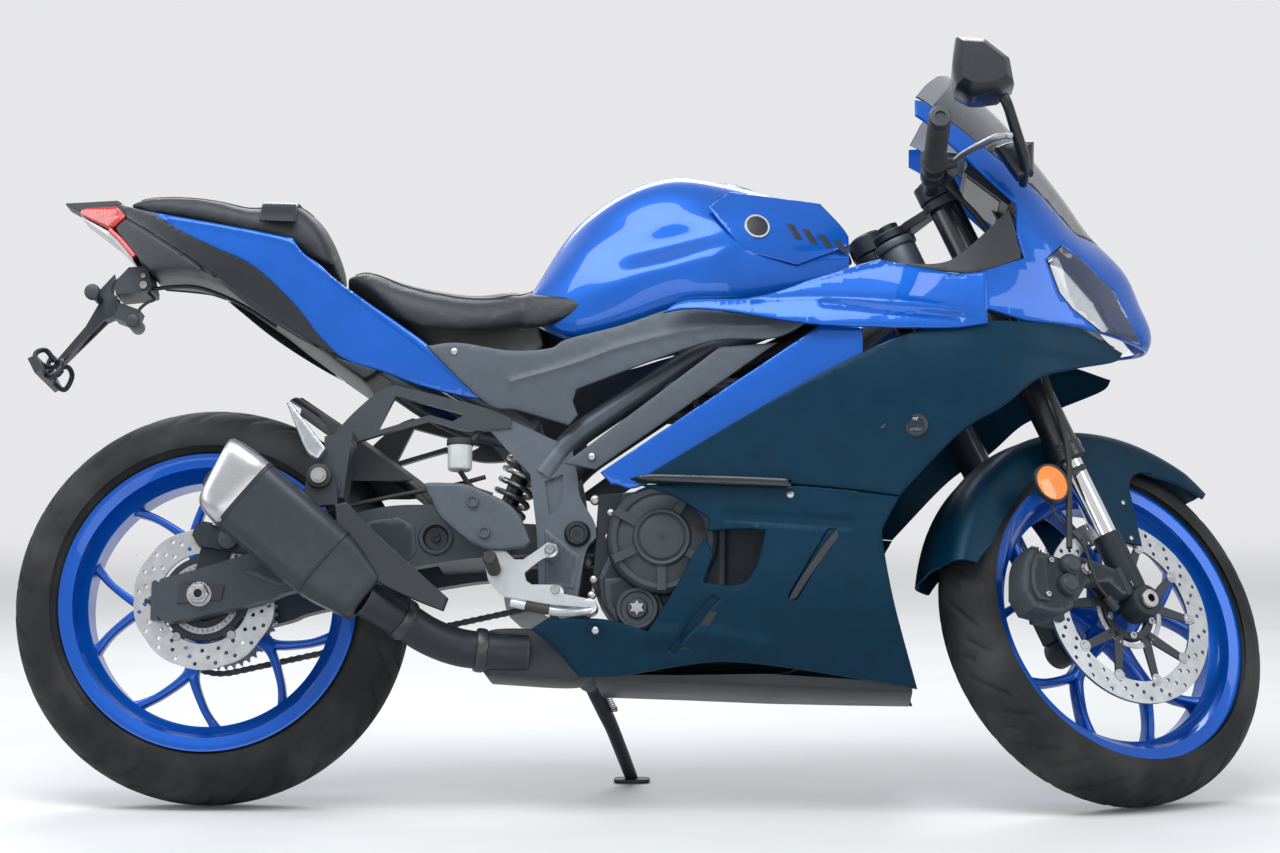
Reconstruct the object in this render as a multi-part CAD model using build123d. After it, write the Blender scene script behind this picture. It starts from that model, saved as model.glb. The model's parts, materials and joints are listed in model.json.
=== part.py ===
"""Sport motorcycle with full fairing, leaning on its side stand, as separate pieces and joints.

Every piece is drawn in the bike's own frame: X forward, Y to the rider's left, Z up, millimetres,
bike upright, steering straight, rear axle above X = 0.  The last section turns the steering to its
left stop, leans the bike onto its stand and writes one STEP file for each piece.
"""
from build123d import *
import math
import os

# ---------------------------------------------------------------- driving dimensions
WHEELBASE = 1380
REAR_AXLE_Z = 314
FRONT_AXLE_Z = 293
CASTER = 25                    # degrees, steering axis from the vertical
TRAIL = 95                     # the steering axis meets Z = 0 this far ahead of the front axle
LEAN = 13.2                    # degrees to the left, on the side stand
STEER_LOCK = 34                # degrees each way
SKIN = 4                       # moulded panel thickness
RUN_FIT = 0.05                 # radial gap of a shaft in its hole
FACE_GAP = 0.5                 # side gap between turning and fixed faces

FORK_SPREAD = 100              # half distance between the fork legs
STANCHION_R = 18.5
UPPER_TUBE_R = 25.5
LUG_HALF = 22                  # half width of the axle lugs
AXLE_R = 10
AXLE_BORE_R = 6.5
STEM_R = 15
PIVOT = (573, 408)             # swingarm pivot, x and z
PIVOT_BOLT_R = 10
PIVOT_SLEEVE = 74
FRAME_PLATE_T = 28
ARM_OUT = 130                  # outer face of the swingarm
ARM_IN = 100                   # inner face of the swingarm
HUB_BORE_R = AXLE_R + RUN_FIT

FRONT_AXLE = Vector(WHEELBASE, 0, FRONT_AXLE_Z)
STEER_DIR = Vector(-math.sin(math.radians(CASTER)), 0, math.cos(math.radians(CASTER)))
STEER_FOOT = Vector(WHEELBASE + TRAIL, 0, 0)
STEER_AXIS = Axis(STEER_FOOT, STEER_DIR)
# fork frame: origin on the front axle, local z up the legs, local x forward
FORK = Plane(FRONT_AXLE, x_dir=(STEER_DIR.Z, 0, -STEER_DIR.X), z_dir=STEER_DIR)
STEM_BACK = (STEER_FOOT - FRONT_AXLE).dot(FORK.x_dir)   # place of the stem behind the fork legs
# distances up the legs from the axle
LUG_TOP, SEAL, LOWER_CLAMP, TOP_CLAMP, LEG_TOP = 118, 245, 508, 686, 734
LOWER_CLAMP_T, TOP_CLAMP_T = 28, 14

# ---------------------------------------------------------------- helpers
LOW = (Align.CENTER, Align.CENTER, Align.MIN)


def group(*shapes):
    """One piece made of solids that lie apart."""
    return Compound([solid for shape in shapes for solid in shape.solids()])


def flip(shape):
    """The same shape on the bike's other side."""
    return mirror(shape, Plane.XZ)


def pair(shape):
    return group(shape, flip(shape))


def side_plate(points, y_from, y_to, holes=()):
    """Plate with the given side outline (x, z), between two Y values."""
    face = make_face(Polyline(*[(x, y_from, z) for x, z in points], close=True))
    plate = extrude(face, amount=abs(y_to - y_from), dir=(0, math.copysign(1, y_to - y_from), 0))
    for x, z, radius in holes:
        plate -= rod((x, y_from - 300, z), (x, y_from + 300, z), radius)
    return plate


def rod(start, end, radius, inner=0):
    """Round bar or tube between two points."""
    start = Vector(*start)
    end = Vector(*end)
    length = (end - start).length
    place = Plane(start, z_dir=end - start).location
    bar = place * Cylinder(radius, length, align=LOW)
    if inner:
        bar -= place * Cylinder(inner, length, align=LOW)
    return bar


def bent_tube(points, radius, bend):
    """Round tube along straight runs joined by bends."""
    path = FilletPolyline(*points, radius=bend)
    return sweep(Plane(path @ 0, z_dir=path % 0) * Circle(radius), path=path)


def strut(start, end, width_start, width_end, y_from, y_to):
    """Flat bar in side view from one (x, z) to another, tapering in width."""
    start = Vector(start[0], 0, start[1])
    end = Vector(end[0], 0, end[1])
    across = (end - start).normalized().cross(Vector(0, 1, 0))
    corners = [start + across * (width_start / 2), end + across * (width_end / 2),
               end - across * (width_end / 2), start - across * (width_start / 2)]
    return side_plate([(corner.X, corner.Z) for corner in corners], y_from, y_to)


def block(center, size, angle=0):
    """Box turned about Y by an angle in degrees (nose down when positive)."""
    return Pos(*center) * Rot(0, angle, 0) * Box(*size)


def sections_x(table):
    """Closed body lofted through YZ sections: rows of x and half outline (y, z), bottom to top."""
    faces = []
    for x, half in table:
        left = [(x, y, z) for y, z in half]
        right = [(x, -y, z) for y, z in reversed(half) if y > 0]
        faces.append(make_face(Polyline(*left, *right, close=True)))
    return loft(faces, ruled=True)


def skin(levels, table, thickness=SKIN):
    """Right side sheet: each row holds x and the outer half width at every level z."""
    faces = []
    for x, widths in table:
        outer = [(x, -w, z) for w, z in zip(widths, levels)]
        inner = [(x, thickness - w, z) for w, z in zip(widths, levels)]
        faces.append(make_face(Polyline(*outer, *reversed(inner), close=True)))
    return loft(faces, ruled=True)


def cut_out(sheet, outline):
    """The part of a right side sheet inside a side outline (x, z)."""
    return sheet & side_plate(outline, -420, 0)


def steered_line(start, end):
    """Line of a steered piece, turned with the steering on its left stop."""
    return Line(start, end).rotate(STEER_AXIS, STEER_LOCK)


# ---------------------------------------------------------------- wheels
# tyre radius, tyre half width, shoulder drop, rim half width, first spoke angle, hub half length
REAR = dict(radius=308, half=70, drop=52, rim=58, spoke=38, hub=70)
FRONT = dict(radius=287, half=56, drop=42, rim=46, spoke=20, hub=58)
LIP_R, SEAT_R, BARREL, FLANGE_T = 231, 216, 8, 6
SPOKES = 5


def crown(wheel):
    """Radius of the round tread."""
    return (wheel["half"] ** 2 + wheel["drop"] ** 2) / (2 * wheel["drop"])


def spin(edges_or_points):
    return revolve(make_face(edges_or_points), axis=Axis.Y)


def tyre(wheel):
    R, half, drop = wheel["radius"], wheel["half"], wheel["drop"]
    bead = wheel["rim"] - FLANGE_T
    wall = 8
    tread = ThreePointArc((0, -half, R - drop), (0, 0, R), (0, half, R - drop))
    liner = ThreePointArc((0, -half + wall, R - drop), (0, 0, R - wall - 2), (0, half - wall, R - drop))
    sides = []
    for s in (-1, 1):
        sides.append(Polyline((0, s * half, R - drop), (0, s * (bead + 6), LIP_R + 8), (0, s * bead, LIP_R),
                              (0, s * bead, SEAT_R), (0, s * (bead - 12), SEAT_R),
                              (0, s * (bead - 6), LIP_R + 6), (0, s * (half - wall), R - drop)))
    return spin([tread, liner, *sides])


def rim(wheel):
    w = wheel["rim"]
    outline = [(-w, LIP_R), (-w + FLANGE_T, LIP_R), (-w + FLANGE_T, SEAT_R), (-w + 20, SEAT_R),
               (-w + 30, SEAT_R - 18), (w - 30, SEAT_R - 18), (w - 20, SEAT_R), (w - FLANGE_T, SEAT_R),
               (w - FLANGE_T, LIP_R), (w, LIP_R), (w, SEAT_R - BARREL), (w - 18, SEAT_R - BARREL),
               (w - 27, SEAT_R - 18 - BARREL), (-w + 27, SEAT_R - 18 - BARREL), (-w + 18, SEAT_R - BARREL),
               (-w, SEAT_R - BARREL)]
    body = spin(Polyline(*[(0, y, r) for y, r in outline], close=True))
    hub = wheel["hub"]
    body += rod((0, -hub, 0), (0, hub, 0), 34)
    split = 112
    for k in range(SPOKES):
        middle = wheel["spoke"] + 360 / SPOKES * k
        fork_point = polar(split, middle)
        body += strut(polar(26, middle), fork_point, 34, 22, -14, 14)
        for turn in (-20, 20):
            body += strut(polar(split - 8, middle + turn / 6), polar(196, middle + turn), 15, 11, -13, 13)
    return body - rod((0, -hub - 1, 0), (0, hub + 1, 0), HUB_BORE_R)


def polar(radius, degrees):
    return radius * math.cos(math.radians(degrees)), radius * math.sin(math.radians(degrees))


def disc(outer, inner, y, thickness, rows, holes):
    """Drilled brake disc on the right side of a wheel."""
    plate = rod((0, y, 0), (0, y + thickness, 0), outer, inner)
    drills = []
    for k in range(holes):
        for row in range(rows):
            radius = inner + (outer - inner) * (row + 0.8) / (rows + 0.6)
            x, z = polar(radius, 360 / holes * (k + row / rows))
            drills.append(rod((x, y - 1, z), (x, y + thickness + 1, z), 3.5))
    return plate - drills


FRONT_DISC_Y, REAR_DISC_Y, DISC_T = -72, -88, 5
FRONT_DISC_R, REAR_DISC_R = 149, 110


def front_disc():
    ring = disc(FRONT_DISC_R, 112, FRONT_DISC_Y, DISC_T, 3, 18)
    carrier = rod((0, FRONT_DISC_Y, 0), (0, -FRONT["hub"], 0), 46, 34.5)
    for k in range(SPOKES):
        x, z = polar(80, 20 + 360 / SPOKES * k)
        arms = strut(polar(40, 20 + 360 / SPOKES * k), polar(116, 2 + 360 / SPOKES * k), 16, 14,
                     FRONT_DISC_Y, FRONT_DISC_Y + DISC_T)
        arms += strut(polar(40, 20 + 360 / SPOKES * k), polar(116, 38 + 360 / SPOKES * k), 16, 14,
                      FRONT_DISC_Y, FRONT_DISC_Y + DISC_T)
        carrier += arms
    return ring + carrier - rod((0, -100, 0), (0, 0, 0), 34.5)


def rear_disc():
    ring = disc(REAR_DISC_R, 64, REAR_DISC_Y, DISC_T, 3, 18)
    flange = rod((0, REAR_DISC_Y, 0), (0, -REAR["hub"], 0), 64, 34.5)
    return ring + flange


SPROCKET_Y, SPROCKET_R, TEETH = 84, 86, 43
DRIVE_R, DRIVE = 30, (622, 395)
CHAIN_CLEAR = 4


def rear_sprocket():
    notches = []
    for k in range(TEETH):
        x, z = polar(SPROCKET_R, 360 / TEETH * k)
        notches.append(rod((x, SPROCKET_Y - 5, z), (x, SPROCKET_Y + 5, z), 4.2))
    plate = rod((0, SPROCKET_Y - 3, 0), (0, SPROCKET_Y + 3, 0), SPROCKET_R + 3) - notches
    windows = []
    for k in range(6):
        x, z = polar(58, 60 * k)
        windows.append(rod((x, SPROCKET_Y - 5, z), (x, SPROCKET_Y + 5, z), 12))
    plate = plate - windows
    carrier = rod((0, REAR["hub"], 0), (0, SPROCKET_Y - 3, 0), 42)
    return plate + carrier - rod((0, REAR["hub"] - 1, 0), (0, SPROCKET_Y + 5, 0), HUB_BORE_R)


# ---------------------------------------------------------------- chassis
FRAME_Y = 118                  # middle of the frame tubes beside the engine


def frame():
    """Steel frame: head tube, main tubes, lower tubes and pivot plates."""
    head = FORK.location * Pos(STEM_BACK, 0, LOWER_CLAMP + LOWER_CLAMP_T + 3) * Cylinder(
        30, TOP_CLAMP - LOWER_CLAMP - LOWER_CLAMP_T - 6, align=LOW)
    body = head
    for s in (-1, 1):
        main = bent_tube([(520, s * FRAME_Y, 500), (560, s * FRAME_Y, 556), (760, s * FRAME_Y, 694),
                          (960, s * 84, 782), (1078, s * 16, 838)], 19, 40)
        lower = bent_tube([(690, s * FRAME_Y, 642), (860, s * 104, 640), (1094, s * 14, 806)], 14, 40)
        plate = side_plate([(430, 603), (529, 556), (560, 560), (600, 455), (602, 400), (575, 309), (513, 308),
                            (512, 400), (500, 500), (418, 590)], s * (FRAME_Y - FRAME_PLATE_T / 2),
                           s * (FRAME_Y + FRAME_PLATE_T / 2))
        body += main + lower + plate
    cross = rod((500, -FRAME_Y, 520), (500, FRAME_Y, 520), 16)
    under = rod((545, -FRAME_Y, 314), (545, FRAME_Y, 314), 13)
    body += cross + under + seat_rails() + stand_bracket()
    bore = FORK.location * Pos(STEM_BACK, 0, LOWER_CLAMP) * Cylinder(STEM_R + RUN_FIT, 250, align=LOW)
    pivot_hole = rod((PIVOT[0], -200, PIVOT[1]), (PIVOT[0], 200, PIVOT[1]), PIVOT_BOLT_R)
    return body - bore - pivot_hole


def seat_rails():
    """Rear subframe tubes from the main frame to the tail."""
    body = rod((300, -100, 684), (300, 100, 684), 9)
    for s in (-1, 1):
        body += bent_tube([(505, s * 110, 570), (300, s * 100, 686), (228, s * 92, 716)], 12, 60)
        body += bent_tube([(450, s * 112, 590), (340, s * 102, 622), (238, s * 92, 690)], 10, 60)
    return body


def swingarm():
    """Two long arms joined by a bridge ahead of the tyre, and two short arms inside the frame plates."""
    outline = [(-66, 328), (-64, 280), (-32, 274), (99, 305), (154, 323), (376, 366), (470, 374), (478, 440),
               (347, 453), (239, 441), (67, 376), (-1, 354), (-60, 338)]
    arm = side_plate(outline, -ARM_OUT, -ARM_IN)
    short_arm = side_plate([(380, 384), (600, 388), (600, 428), (380, 440)], -72, -44)
    bridge = side_plate([(350, 376), (430, 384), (430, 442), (350, 452)], -ARM_IN, ARM_IN)
    body = bridge + arm + flip(arm) + short_arm + flip(short_arm)
    body += rod((PIVOT[0], -PIVOT_SLEEVE, PIVOT[1]), (PIVOT[0], PIVOT_SLEEVE, PIVOT[1]), 22)
    body -= side_plate([(340, 408), (440, 408), (440, 470), (340, 470)], SPROCKET_Y - 11, SPROCKET_Y + 11)
    body -= rod((0, -200, REAR_AXLE_Z), (0, 200, REAR_AXLE_Z), AXLE_R)
    body -= rod((PIVOT[0], -200, PIVOT[1]), (PIVOT[0], 200, PIVOT[1]), PIVOT_BOLT_R)
    recess = rod((358, -ARM_OUT - 1, 404), (358, -ARM_OUT + 6, 404), 18)
    return body - recess - flip(recess)


def rear_spindles():
    """Swingarm pivot bolt and hollow rear axle with its spacers and nuts."""
    end = FRAME_Y + FRAME_PLATE_T / 2
    bolt = rod((PIVOT[0], -end, PIVOT[1]), (PIVOT[0], end, PIVOT[1]), PIVOT_BOLT_R)
    for s in (-1, 1):
        bolt += rod((PIVOT[0], s * end, PIVOT[1]), (PIVOT[0], s * (end + 8), PIVOT[1]), 19)
    return group(bolt, rear_axle())


def rear_axle():
    y = ARM_OUT + 14
    axle = rod((0, -y, REAR_AXLE_Z), (0, y, REAR_AXLE_Z), AXLE_R)
    for s, inner in ((-1, -REAR_DISC_Y), (1, SPROCKET_Y + 3)):
        axle += rod((0, s * (inner + FACE_GAP), REAR_AXLE_Z), (0, s * ARM_IN, REAR_AXLE_Z), 17)
        axle += rod((0, s * ARM_OUT, REAR_AXLE_Z), (0, s * (ARM_OUT + 10), REAR_AXLE_Z), 16)
    return axle - rod((0, -y - 1, REAR_AXLE_Z), (0, y + 1, REAR_AXLE_Z), AXLE_BORE_R)


def engine():
    """Crankcase, cylinder and side covers."""
    case = side_plate([(604, 470), (596, 330), (640, 262), (860, 250), (905, 300), (890, 440), (820, 490)], -128, 128)
    case -= side_plate([(590, 340), (672, 340), (672, 452), (590, 452)], 60, 130)
    case += rod((DRIVE[0], 50, DRIVE[1]), (DRIVE[0], SPROCKET_Y + 3, DRIVE[1]), DRIVE_R)
    cylinder = side_plate([(715, 480), (850, 470), (905, 300), (930, 440), (955, 560), (905, 655), (760, 640)],
                          -100, 100)
    return case + cylinder + engine_covers()


def engine_covers():
    """Side covers of the engine: clutch and pump on the right, generator on the left."""
    x, z = 703, 396
    right = rod((x, -128, z), (x, -170, z), 82)
    right += rod((x, -170, z), (x, -186, z), 66)
    right += rod((x, -186, z), (x, -192, z), 40)
    plug = rod((660, -128, 285), (660, -158, 285), 34)
    plug += rod((660, -158, 285), (660, -164, 285), 22)
    right += plug
    left = rod((760, 128, 390), (760, 172, 390), 78)
    left += rod((760, 172, 390), (760, 182, 390), 52)
    left_cap = side_plate([(596, 330), (672, 330), (672, 450), (596, 450)], 104, 128)
    return right + left + left_cap


def radiator():
    core = side_plate([(992, 410), (1018, 404), (1050, 640), (1022, 648)], -150, 150)
    slots = []
    for k in range(9):
        z = 432 + 22 * k
        x = 1022 + (z - 404) * 0.136
        slots.append(block((x, 0, z), (8, 270, 8)))
    tanks = side_plate([(990, 406), (1022, 400), (1054, 644), (1020, 652)], -164, -150)
    body = core - slots + tanks + flip(tanks)
    for s in (-1, 1):
        body += rod((1034, s * 146, 600), (960, s * 96, 770), 6)
        body += rod((1030, s * 160, 560), (1030, s * 230, 560), 7)
        body += rod((1004, s * 160, 430), (1004, s * 214, 430), 7)
    hose = bent_tube([(1004, -130, 424), (950, -130, 330), (880, -110, 306)], 14, 30)
    return body + hose


def exhaust_pipe():
    """Two headers, collector box below the engine and the pipe to the silencer."""
    body = None
    for y in (-48, 48):
        pipe = bent_tube([(925, y, 520), (968, y, 486), (962, y, 330), (896, y * 0.9, 236), (560, -70 + y * 0.4, 222)],
                         18, 46)
        body = pipe if body is None else body + pipe
    box = side_plate([(440, 190), (562, 184), (600, 196), (600, 250), (560, 262), (440, 262), (412, 232)], -138, -30)
    body += box
    body += bent_tube([(470, -135, 226), (400, -150, 232), (330, -188, 262), (262, -221, 297)], 29, 40)
    return body


SILENCER_FROM = Vector(84, -228, 446)
SILENCER_TO = Vector(252, -222, 306)


def silencer_section(t, height, width, corner):
    """Rounded section across the silencer at a fraction t of its length."""
    along = (SILENCER_TO - SILENCER_FROM).normalized()
    spot = SILENCER_FROM + (SILENCER_TO - SILENCER_FROM) * t
    plane = Plane(spot, x_dir=(0, 1, 0), z_dir=along)
    return plane * RectangleRounded(width, height, corner)


def silencer():
    can = loft([silencer_section(0.0, 122, 104, 34), silencer_section(0.75, 116, 100, 34)], ruled=True)
    can += loft([silencer_section(0.75, 116, 100, 34), silencer_section(1.08, 84, 78, 30)], ruled=True)
    hanger = side_plate([(176, 492), (206, 492), (216, 440), (150, 430)], -200, -187.5)
    return can + hanger


def silencer_cap():
    cap = loft([silencer_section(0.0, 124, 106, 35), silencer_section(-0.26, 114, 92, 32)], ruled=True)
    along = (SILENCER_FROM - SILENCER_TO).normalized()
    mouth = Plane(SILENCER_FROM + along * 20, z_dir=along).location * Cylinder(26, 60, align=LOW)
    slant = Plane(SILENCER_FROM + along * 52, z_dir=(along + Vector(0, 0, -0.35)).normalized())
    cap -= slant.location * Box(300, 300, 100, align=LOW)
    return cap - mouth


def heat_shield():
    """Fin along the front of the silencer, above the pipe."""
    return side_plate([(218, 432), (238, 436), (268, 402), (392, 292), (384, 272), (300, 306), (276, 322),
                       (226, 388)], -252, -238)


# ---------------------------------------------------------------- tank, seats and tail
# x, then half outline (y, z) from the bottom edge round to the top
TANK = (
    (502, ((0, 748), (86, 748), (92, 790), (60, 828), (0, 838))),
    (560, ((0, 742), (104, 742), (116, 800), (84, 884), (0, 914))),
    (640, ((0, 740), (118, 740), (134, 810), (106, 926), (0, 976))),
    (720, ((0, 744), (142, 752), (156, 830), (118, 950), (0, 999))),
    (800, ((0, 750), (146, 762), (156, 842), (118, 940), (0, 983))),
    (880, ((0, 758), (120, 786), (120, 850), (94, 926), (0, 965))),
    (985, ((0, 800), (84, 826), (88, 850), (66, 886), (0, 904))),
)
CAP_X, CAP_R, CAP_SLOPE = 806, 44, 13
CAP_RECESS = 15                 # room round the cap in its recess
CAP_TOP = Vector(CAP_X, 0, 969)
CAP_PLANE = Plane(CAP_TOP, x_dir=(math.cos(math.radians(CAP_SLOPE)), 0, -math.sin(math.radians(CAP_SLOPE))),
                  z_dir=(math.sin(math.radians(CAP_SLOPE)), 0, math.cos(math.radians(CAP_SLOPE))))
CAP_HINGE = Vector(CAP_R + 6, 0, 9)     # hinge pin in the cap's own frame


def fuel_tank():
    body = sections_x(TANK)
    flank = skin((700, 760, 800), ((520, (104, 110, 112)), (620, (120, 128, 132)), (760, (150, 156, 158))), 20)
    body += pair(cut_out(flank, [(524, 724), (561, 710), (629, 729), (732, 756), (740, 790), (560, 790)]))
    body -= CAP_PLANE.location * Pos(0, 0, -4) * Cylinder(CAP_R + CAP_RECESS, 60, align=LOW)
    ring = CAP_PLANE.location * Cylinder(CAP_R + 8, 40, align=(Align.CENTER, Align.CENTER, Align.MAX))
    body += ring + CAP_PLANE.location * Pos(0, 0, -2) * Cylinder(CAP_R + 8, 6, align=LOW)
    body -= CAP_PLANE.location * Pos(0, 0, -36) * Cylinder(CAP_R - 8, 60, align=LOW)
    for s in (-1, 1):
        lug = CAP_PLANE.location * Pos(CAP_HINGE.X, s * 13, -4) * Box(10, 6, 17, align=LOW)
        body += lug
    pin = CAP_PLANE.location * Pos(CAP_HINGE.X, 0, CAP_HINGE.Z) * Rot(90, 0, 0) * Cylinder(2, 32)
    for s in (-1, 1):
        body += rod((840, s * 104, 735), (840, s * 104, 772), 12)
    return body + pin


def fuel_cap():
    lid = CAP_PLANE.location * Pos(0, 0, 4.5) * Cylinder(CAP_R, 8, align=LOW)
    plug = CAP_PLANE.location * Pos(0, 0, -14) * Cylinder(CAP_R - 14, 20, align=LOW)
    knuckle = CAP_PLANE.location * Pos(CAP_HINGE.X - 5, 0, CAP_HINGE.Z) * Box(14, 18, 7)
    hole = CAP_PLANE.location * Pos(CAP_HINGE.X, 0, CAP_HINGE.Z) * Rot(90, 0, 0) * Cylinder(2 + RUN_FIT, 40)
    return lid + plug + knuckle - hole


def tank_cover():
    """Front side covers of the tank, with the vents."""
    sheet = skin((820, 870, 930, 950), (
        (760, (160, 158, 134, 124)), (870, (129, 127, 108, 98)), (985, (90, 88, 74, 68))), 6)
    panel = cut_out(sheet, [(768, 918), (814, 857), (827, 844), (906, 830), (984, 868), (980, 892), (940, 938),
                            (800, 948)])
    for k in range(4):
        x = 886 + 25 * k
        slot = side_plate([(x, 900 - 9 * k), (x + 9, 900 - 9 * k), (x + 31, 868 - 5 * k), (x + 22, 866 - 5 * k)],
                          -200, -60)
        panel -= slot
    badge = rod((846, -138, 887), (846, -118, 887), 19)
    return pair(panel + badge)


RIDER_SEAT = (
    (204, ((0, 812), (50, 812), (62, 826), (44, 838), (0, 844))),
    (262, ((0, 770), (96, 770), (112, 796), (84, 818), (0, 824))),
    (340, ((0, 724), (122, 724), (136, 764), (104, 792), (0, 798))),
    (430, ((0, 722), (118, 722), (130, 760), (98, 786), (0, 793))),
    (498, ((0, 738), (92, 738), (104, 772), (78, 802), (0, 812))),
)


def rider_seat():
    body = sections_x(RIDER_SEAT)
    wing = skin((720, 760, 800), ((480, (104, 106, 98)), (600, (128, 130, 124))), 26)
    return body + pair(cut_out(wing, [(484, 734), (523, 736), (586, 758), (598, 769), (586, 779), (484, 792)]))


PILLION_SEAT = (
    (-148, ((0, 938), (50, 936), (56, 944), (40, 950), (0, 952))),
    (-90, ((0, 926), (74, 922), (80, 940), (60, 954), (0, 958))),
    (60, ((0, 890), (96, 884), (102, 918), (76, 936), (0, 941))),
    (118, ((0, 872), (100, 866), (104, 912), (78, 938), (0, 944))),
    (164, ((0, 842), (96, 842), (98, 872), (72, 896), (0, 902))),
    (184, ((0, 836), (84, 836), (86, 840), (70, 844), (0, 846))),
)


def pillion_seat():
    return sections_x(PILLION_SEAT)


TAIL_LEVELS = (600, 700, 800, 870, 960)
TAIL = (
    (-260, (16, 20, 24, 26, 26)),
    (-110, (52, 60, 70, 74, 68)),
    (60, (84, 94, 106, 108, 98)),
    (200, (104, 114, 122, 120, 104)),
    (330, (124, 130, 136, 130, 110)),
    (440, (136, 140, 142, 136, 116)),
)


def tail_panels():
    sheet = skin(TAIL_LEVELS, TAIL)
    return pair(cut_out(sheet, [(-113, 934), (-86, 924), (123, 876), (140, 852), (167, 832), (204, 799), (332, 708),
                                (420, 630), (427, 619), (409, 618), (330, 638), (270, 662), (211, 682), (170, 718),
                                (129, 769), (62, 832), (-5, 866), (-55, 893), (-92, 917)]))


def tail_undertray():
    core = []
    for x, widths in TAIL:
        half = [(0, TAIL_LEVELS[0])]
        half += [(w - SKIN, z) for w, z in zip(widths, TAIL_LEVELS)]
        half += [(0, TAIL_LEVELS[-1])]
        core.append((x, half))
    solid = sections_x(core)
    outline = [(-252, 957), (-165, 957), (-148, 936), (-90, 922), (60, 884), (118, 864), (140, 840), (180, 812),
               (226, 770), (260, 740), (272, 664), (241, 646), (128, 727), (94, 753), (20, 805), (-23, 824),
               (-53, 829), (-106, 831), (-127, 851), (-160, 900)]
    return solid & side_plate(outline, -200, 200)


def tail_lamp():
    core = [(x, [(0, 600)] + [(w - 1, z) for w, z in zip(widths, TAIL_LEVELS)] + [(0, 960)]) for x, widths in TAIL]
    lens = sections_x(core) & side_plate([(-227, 938), (-216, 944), (-166, 944), (-150, 925), (-169, 904), (-130, 860),
                                            (-137, 853), (-182, 898)], -120, 120)
    inner = side_plate([(-252, 957), (-165, 957), (-148, 936), (-90, 922), (-106, 831), (-127, 851), (-160, 900)],
                       -10, 10)
    return lens - inner


PLATE_HOLE_Y, PLATE_HOLE_R = 60, 3.25
PLATE_BAR = Vector(-280, 0, 684)
PLATE_BACK = Vector(-math.cos(math.radians(28)), 0, -math.sin(math.radians(28)))


def plate_bracket():
    """Folded bracket below the tail that carries the number plate and its lamp."""
    stem = side_plate([(-106, 846), (-106, 822), (-150, 826), (-196, 800), (-186, 790), (-140, 762), (-150, 752),
                       (-236, 712), (-262, 664), (-276, 668), (-262, 712), (-214, 760), (-216, 806), (-150, 850)],
                      -14, 14)
    for s in (-1, 1):
        stem += rod((-196, s * 10, 800), (-196, s * 70, 800), 7)
        stem += rod((-196, s * 62, 800), (-196, s * 76, 800), 13)
    bar = Plane(PLATE_BAR, x_dir=(0, 1, 0), z_dir=PLATE_BACK).location * Box(150, 26, 14)
    holes = []
    for s in (-1, 1):
        spot = PLATE_BAR + Vector(0, s * PLATE_HOLE_Y, 0)
        holes.append(rod(spot - PLATE_BACK * 20, spot + PLATE_BACK * 20, PLATE_HOLE_R))
    return stem + bar - holes


def rear_mudguard():
    """Hugger over the front of the rear tyre, standing on the swingarm bridge."""
    half = 78
    top = side_plate([(126, 643), (200, 592), (318, 509), (356, 470), (364, 438), (358, 438), (351, 468),
                      (314, 504), (197, 588), (124, 638)], -half, half)
    flank = side_plate([(162, 614), (193, 564), (191, 509), (210, 498), (290, 498), (315, 505), (198, 590)],
                       -half - SKIN, -half)
    return top + flank + flip(flank)


# ---------------------------------------------------------------- fairing
SIDE_LEVELS = (160, 200, 290, 380, 470, 560, 640, 740)
SIDE = (
    (500, (140, 152, 176, 184, 192, 192, 192, 190)),
    (700, (126, 142, 180, 202, 212, 222, 224, 214)),
    (860, (120, 140, 184, 206, 216, 232, 236, 220)),
    (1000, (116, 136, 182, 204, 214, 230, 232, 214)),
    (1100, (104, 124, 170, 192, 202, 216, 218, 202)),
    (1250, (90, 104, 140, 160, 172, 184, 188, 172)),
    (1420, (60, 70, 80, 90, 96, 100, 98, 84)),
)
UPPER_LEVELS = (690, 740, 790, 850)
UPPER = (
    (700, (200, 196, 172, 150)),
    (850, (224, 214, 190, 164)),
    (1000, (226, 220, 200, 182)),
    (1180, (206, 196, 186, 172)),
)
# height z, then the plan of the nose at that height: x of the tip, shoulder x and y, middle x and y, back x and y
NOSE = (
    (670, 1400, 1372, 62, 1300, 132, 1150, 196),
    (731, 1455, 1424, 58, 1330, 134, 1150, 208),
    (790, 1440, 1402, 66, 1310, 140, 1150, 196),
    (850, 1412, 1374, 70, 1290, 140, 1130, 186),
    (888, 1376, 1346, 62, 1268, 140, 1110, 182),
    (950, 1332, 1302, 62, 1236, 134, 1090, 176),
    (1020, 1282, 1252, 60, 1192, 122, 1080, 162),
    (1090, 1228, 1200, 56, 1150, 108, 1070, 148),
    (1160, 1152, 1138, 40, 1112, 72, 1050, 112),
)


def nose_shell(thickness):
    """Wrap-round sheet of the nose and screen, lofted through plan sections."""
    faces = []
    for z, tip, sx, sy, mx, my, bx, by in NOSE:
        t = thickness
        right = [(bx, -by), (mx, -my), (sx, -sy), (tip, 0)]
        left = [(sx, sy), (mx, my), (bx, by)]
        inside = [(bx, by - t), (mx - t * 0.5, my - t), (sx - t, sy - t * 0.6), (tip - t, 0),
                  (sx - t, t * 0.6 - sy), (mx - t * 0.5, t - my), (bx, t - by)]
        faces.append(make_face(Polyline(*[(x, y, z) for x, y in right + left + inside], close=True)))
    return loft(faces, ruled=True)


def both_sides(outline):
    return side_plate(outline, -420, 420)


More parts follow.
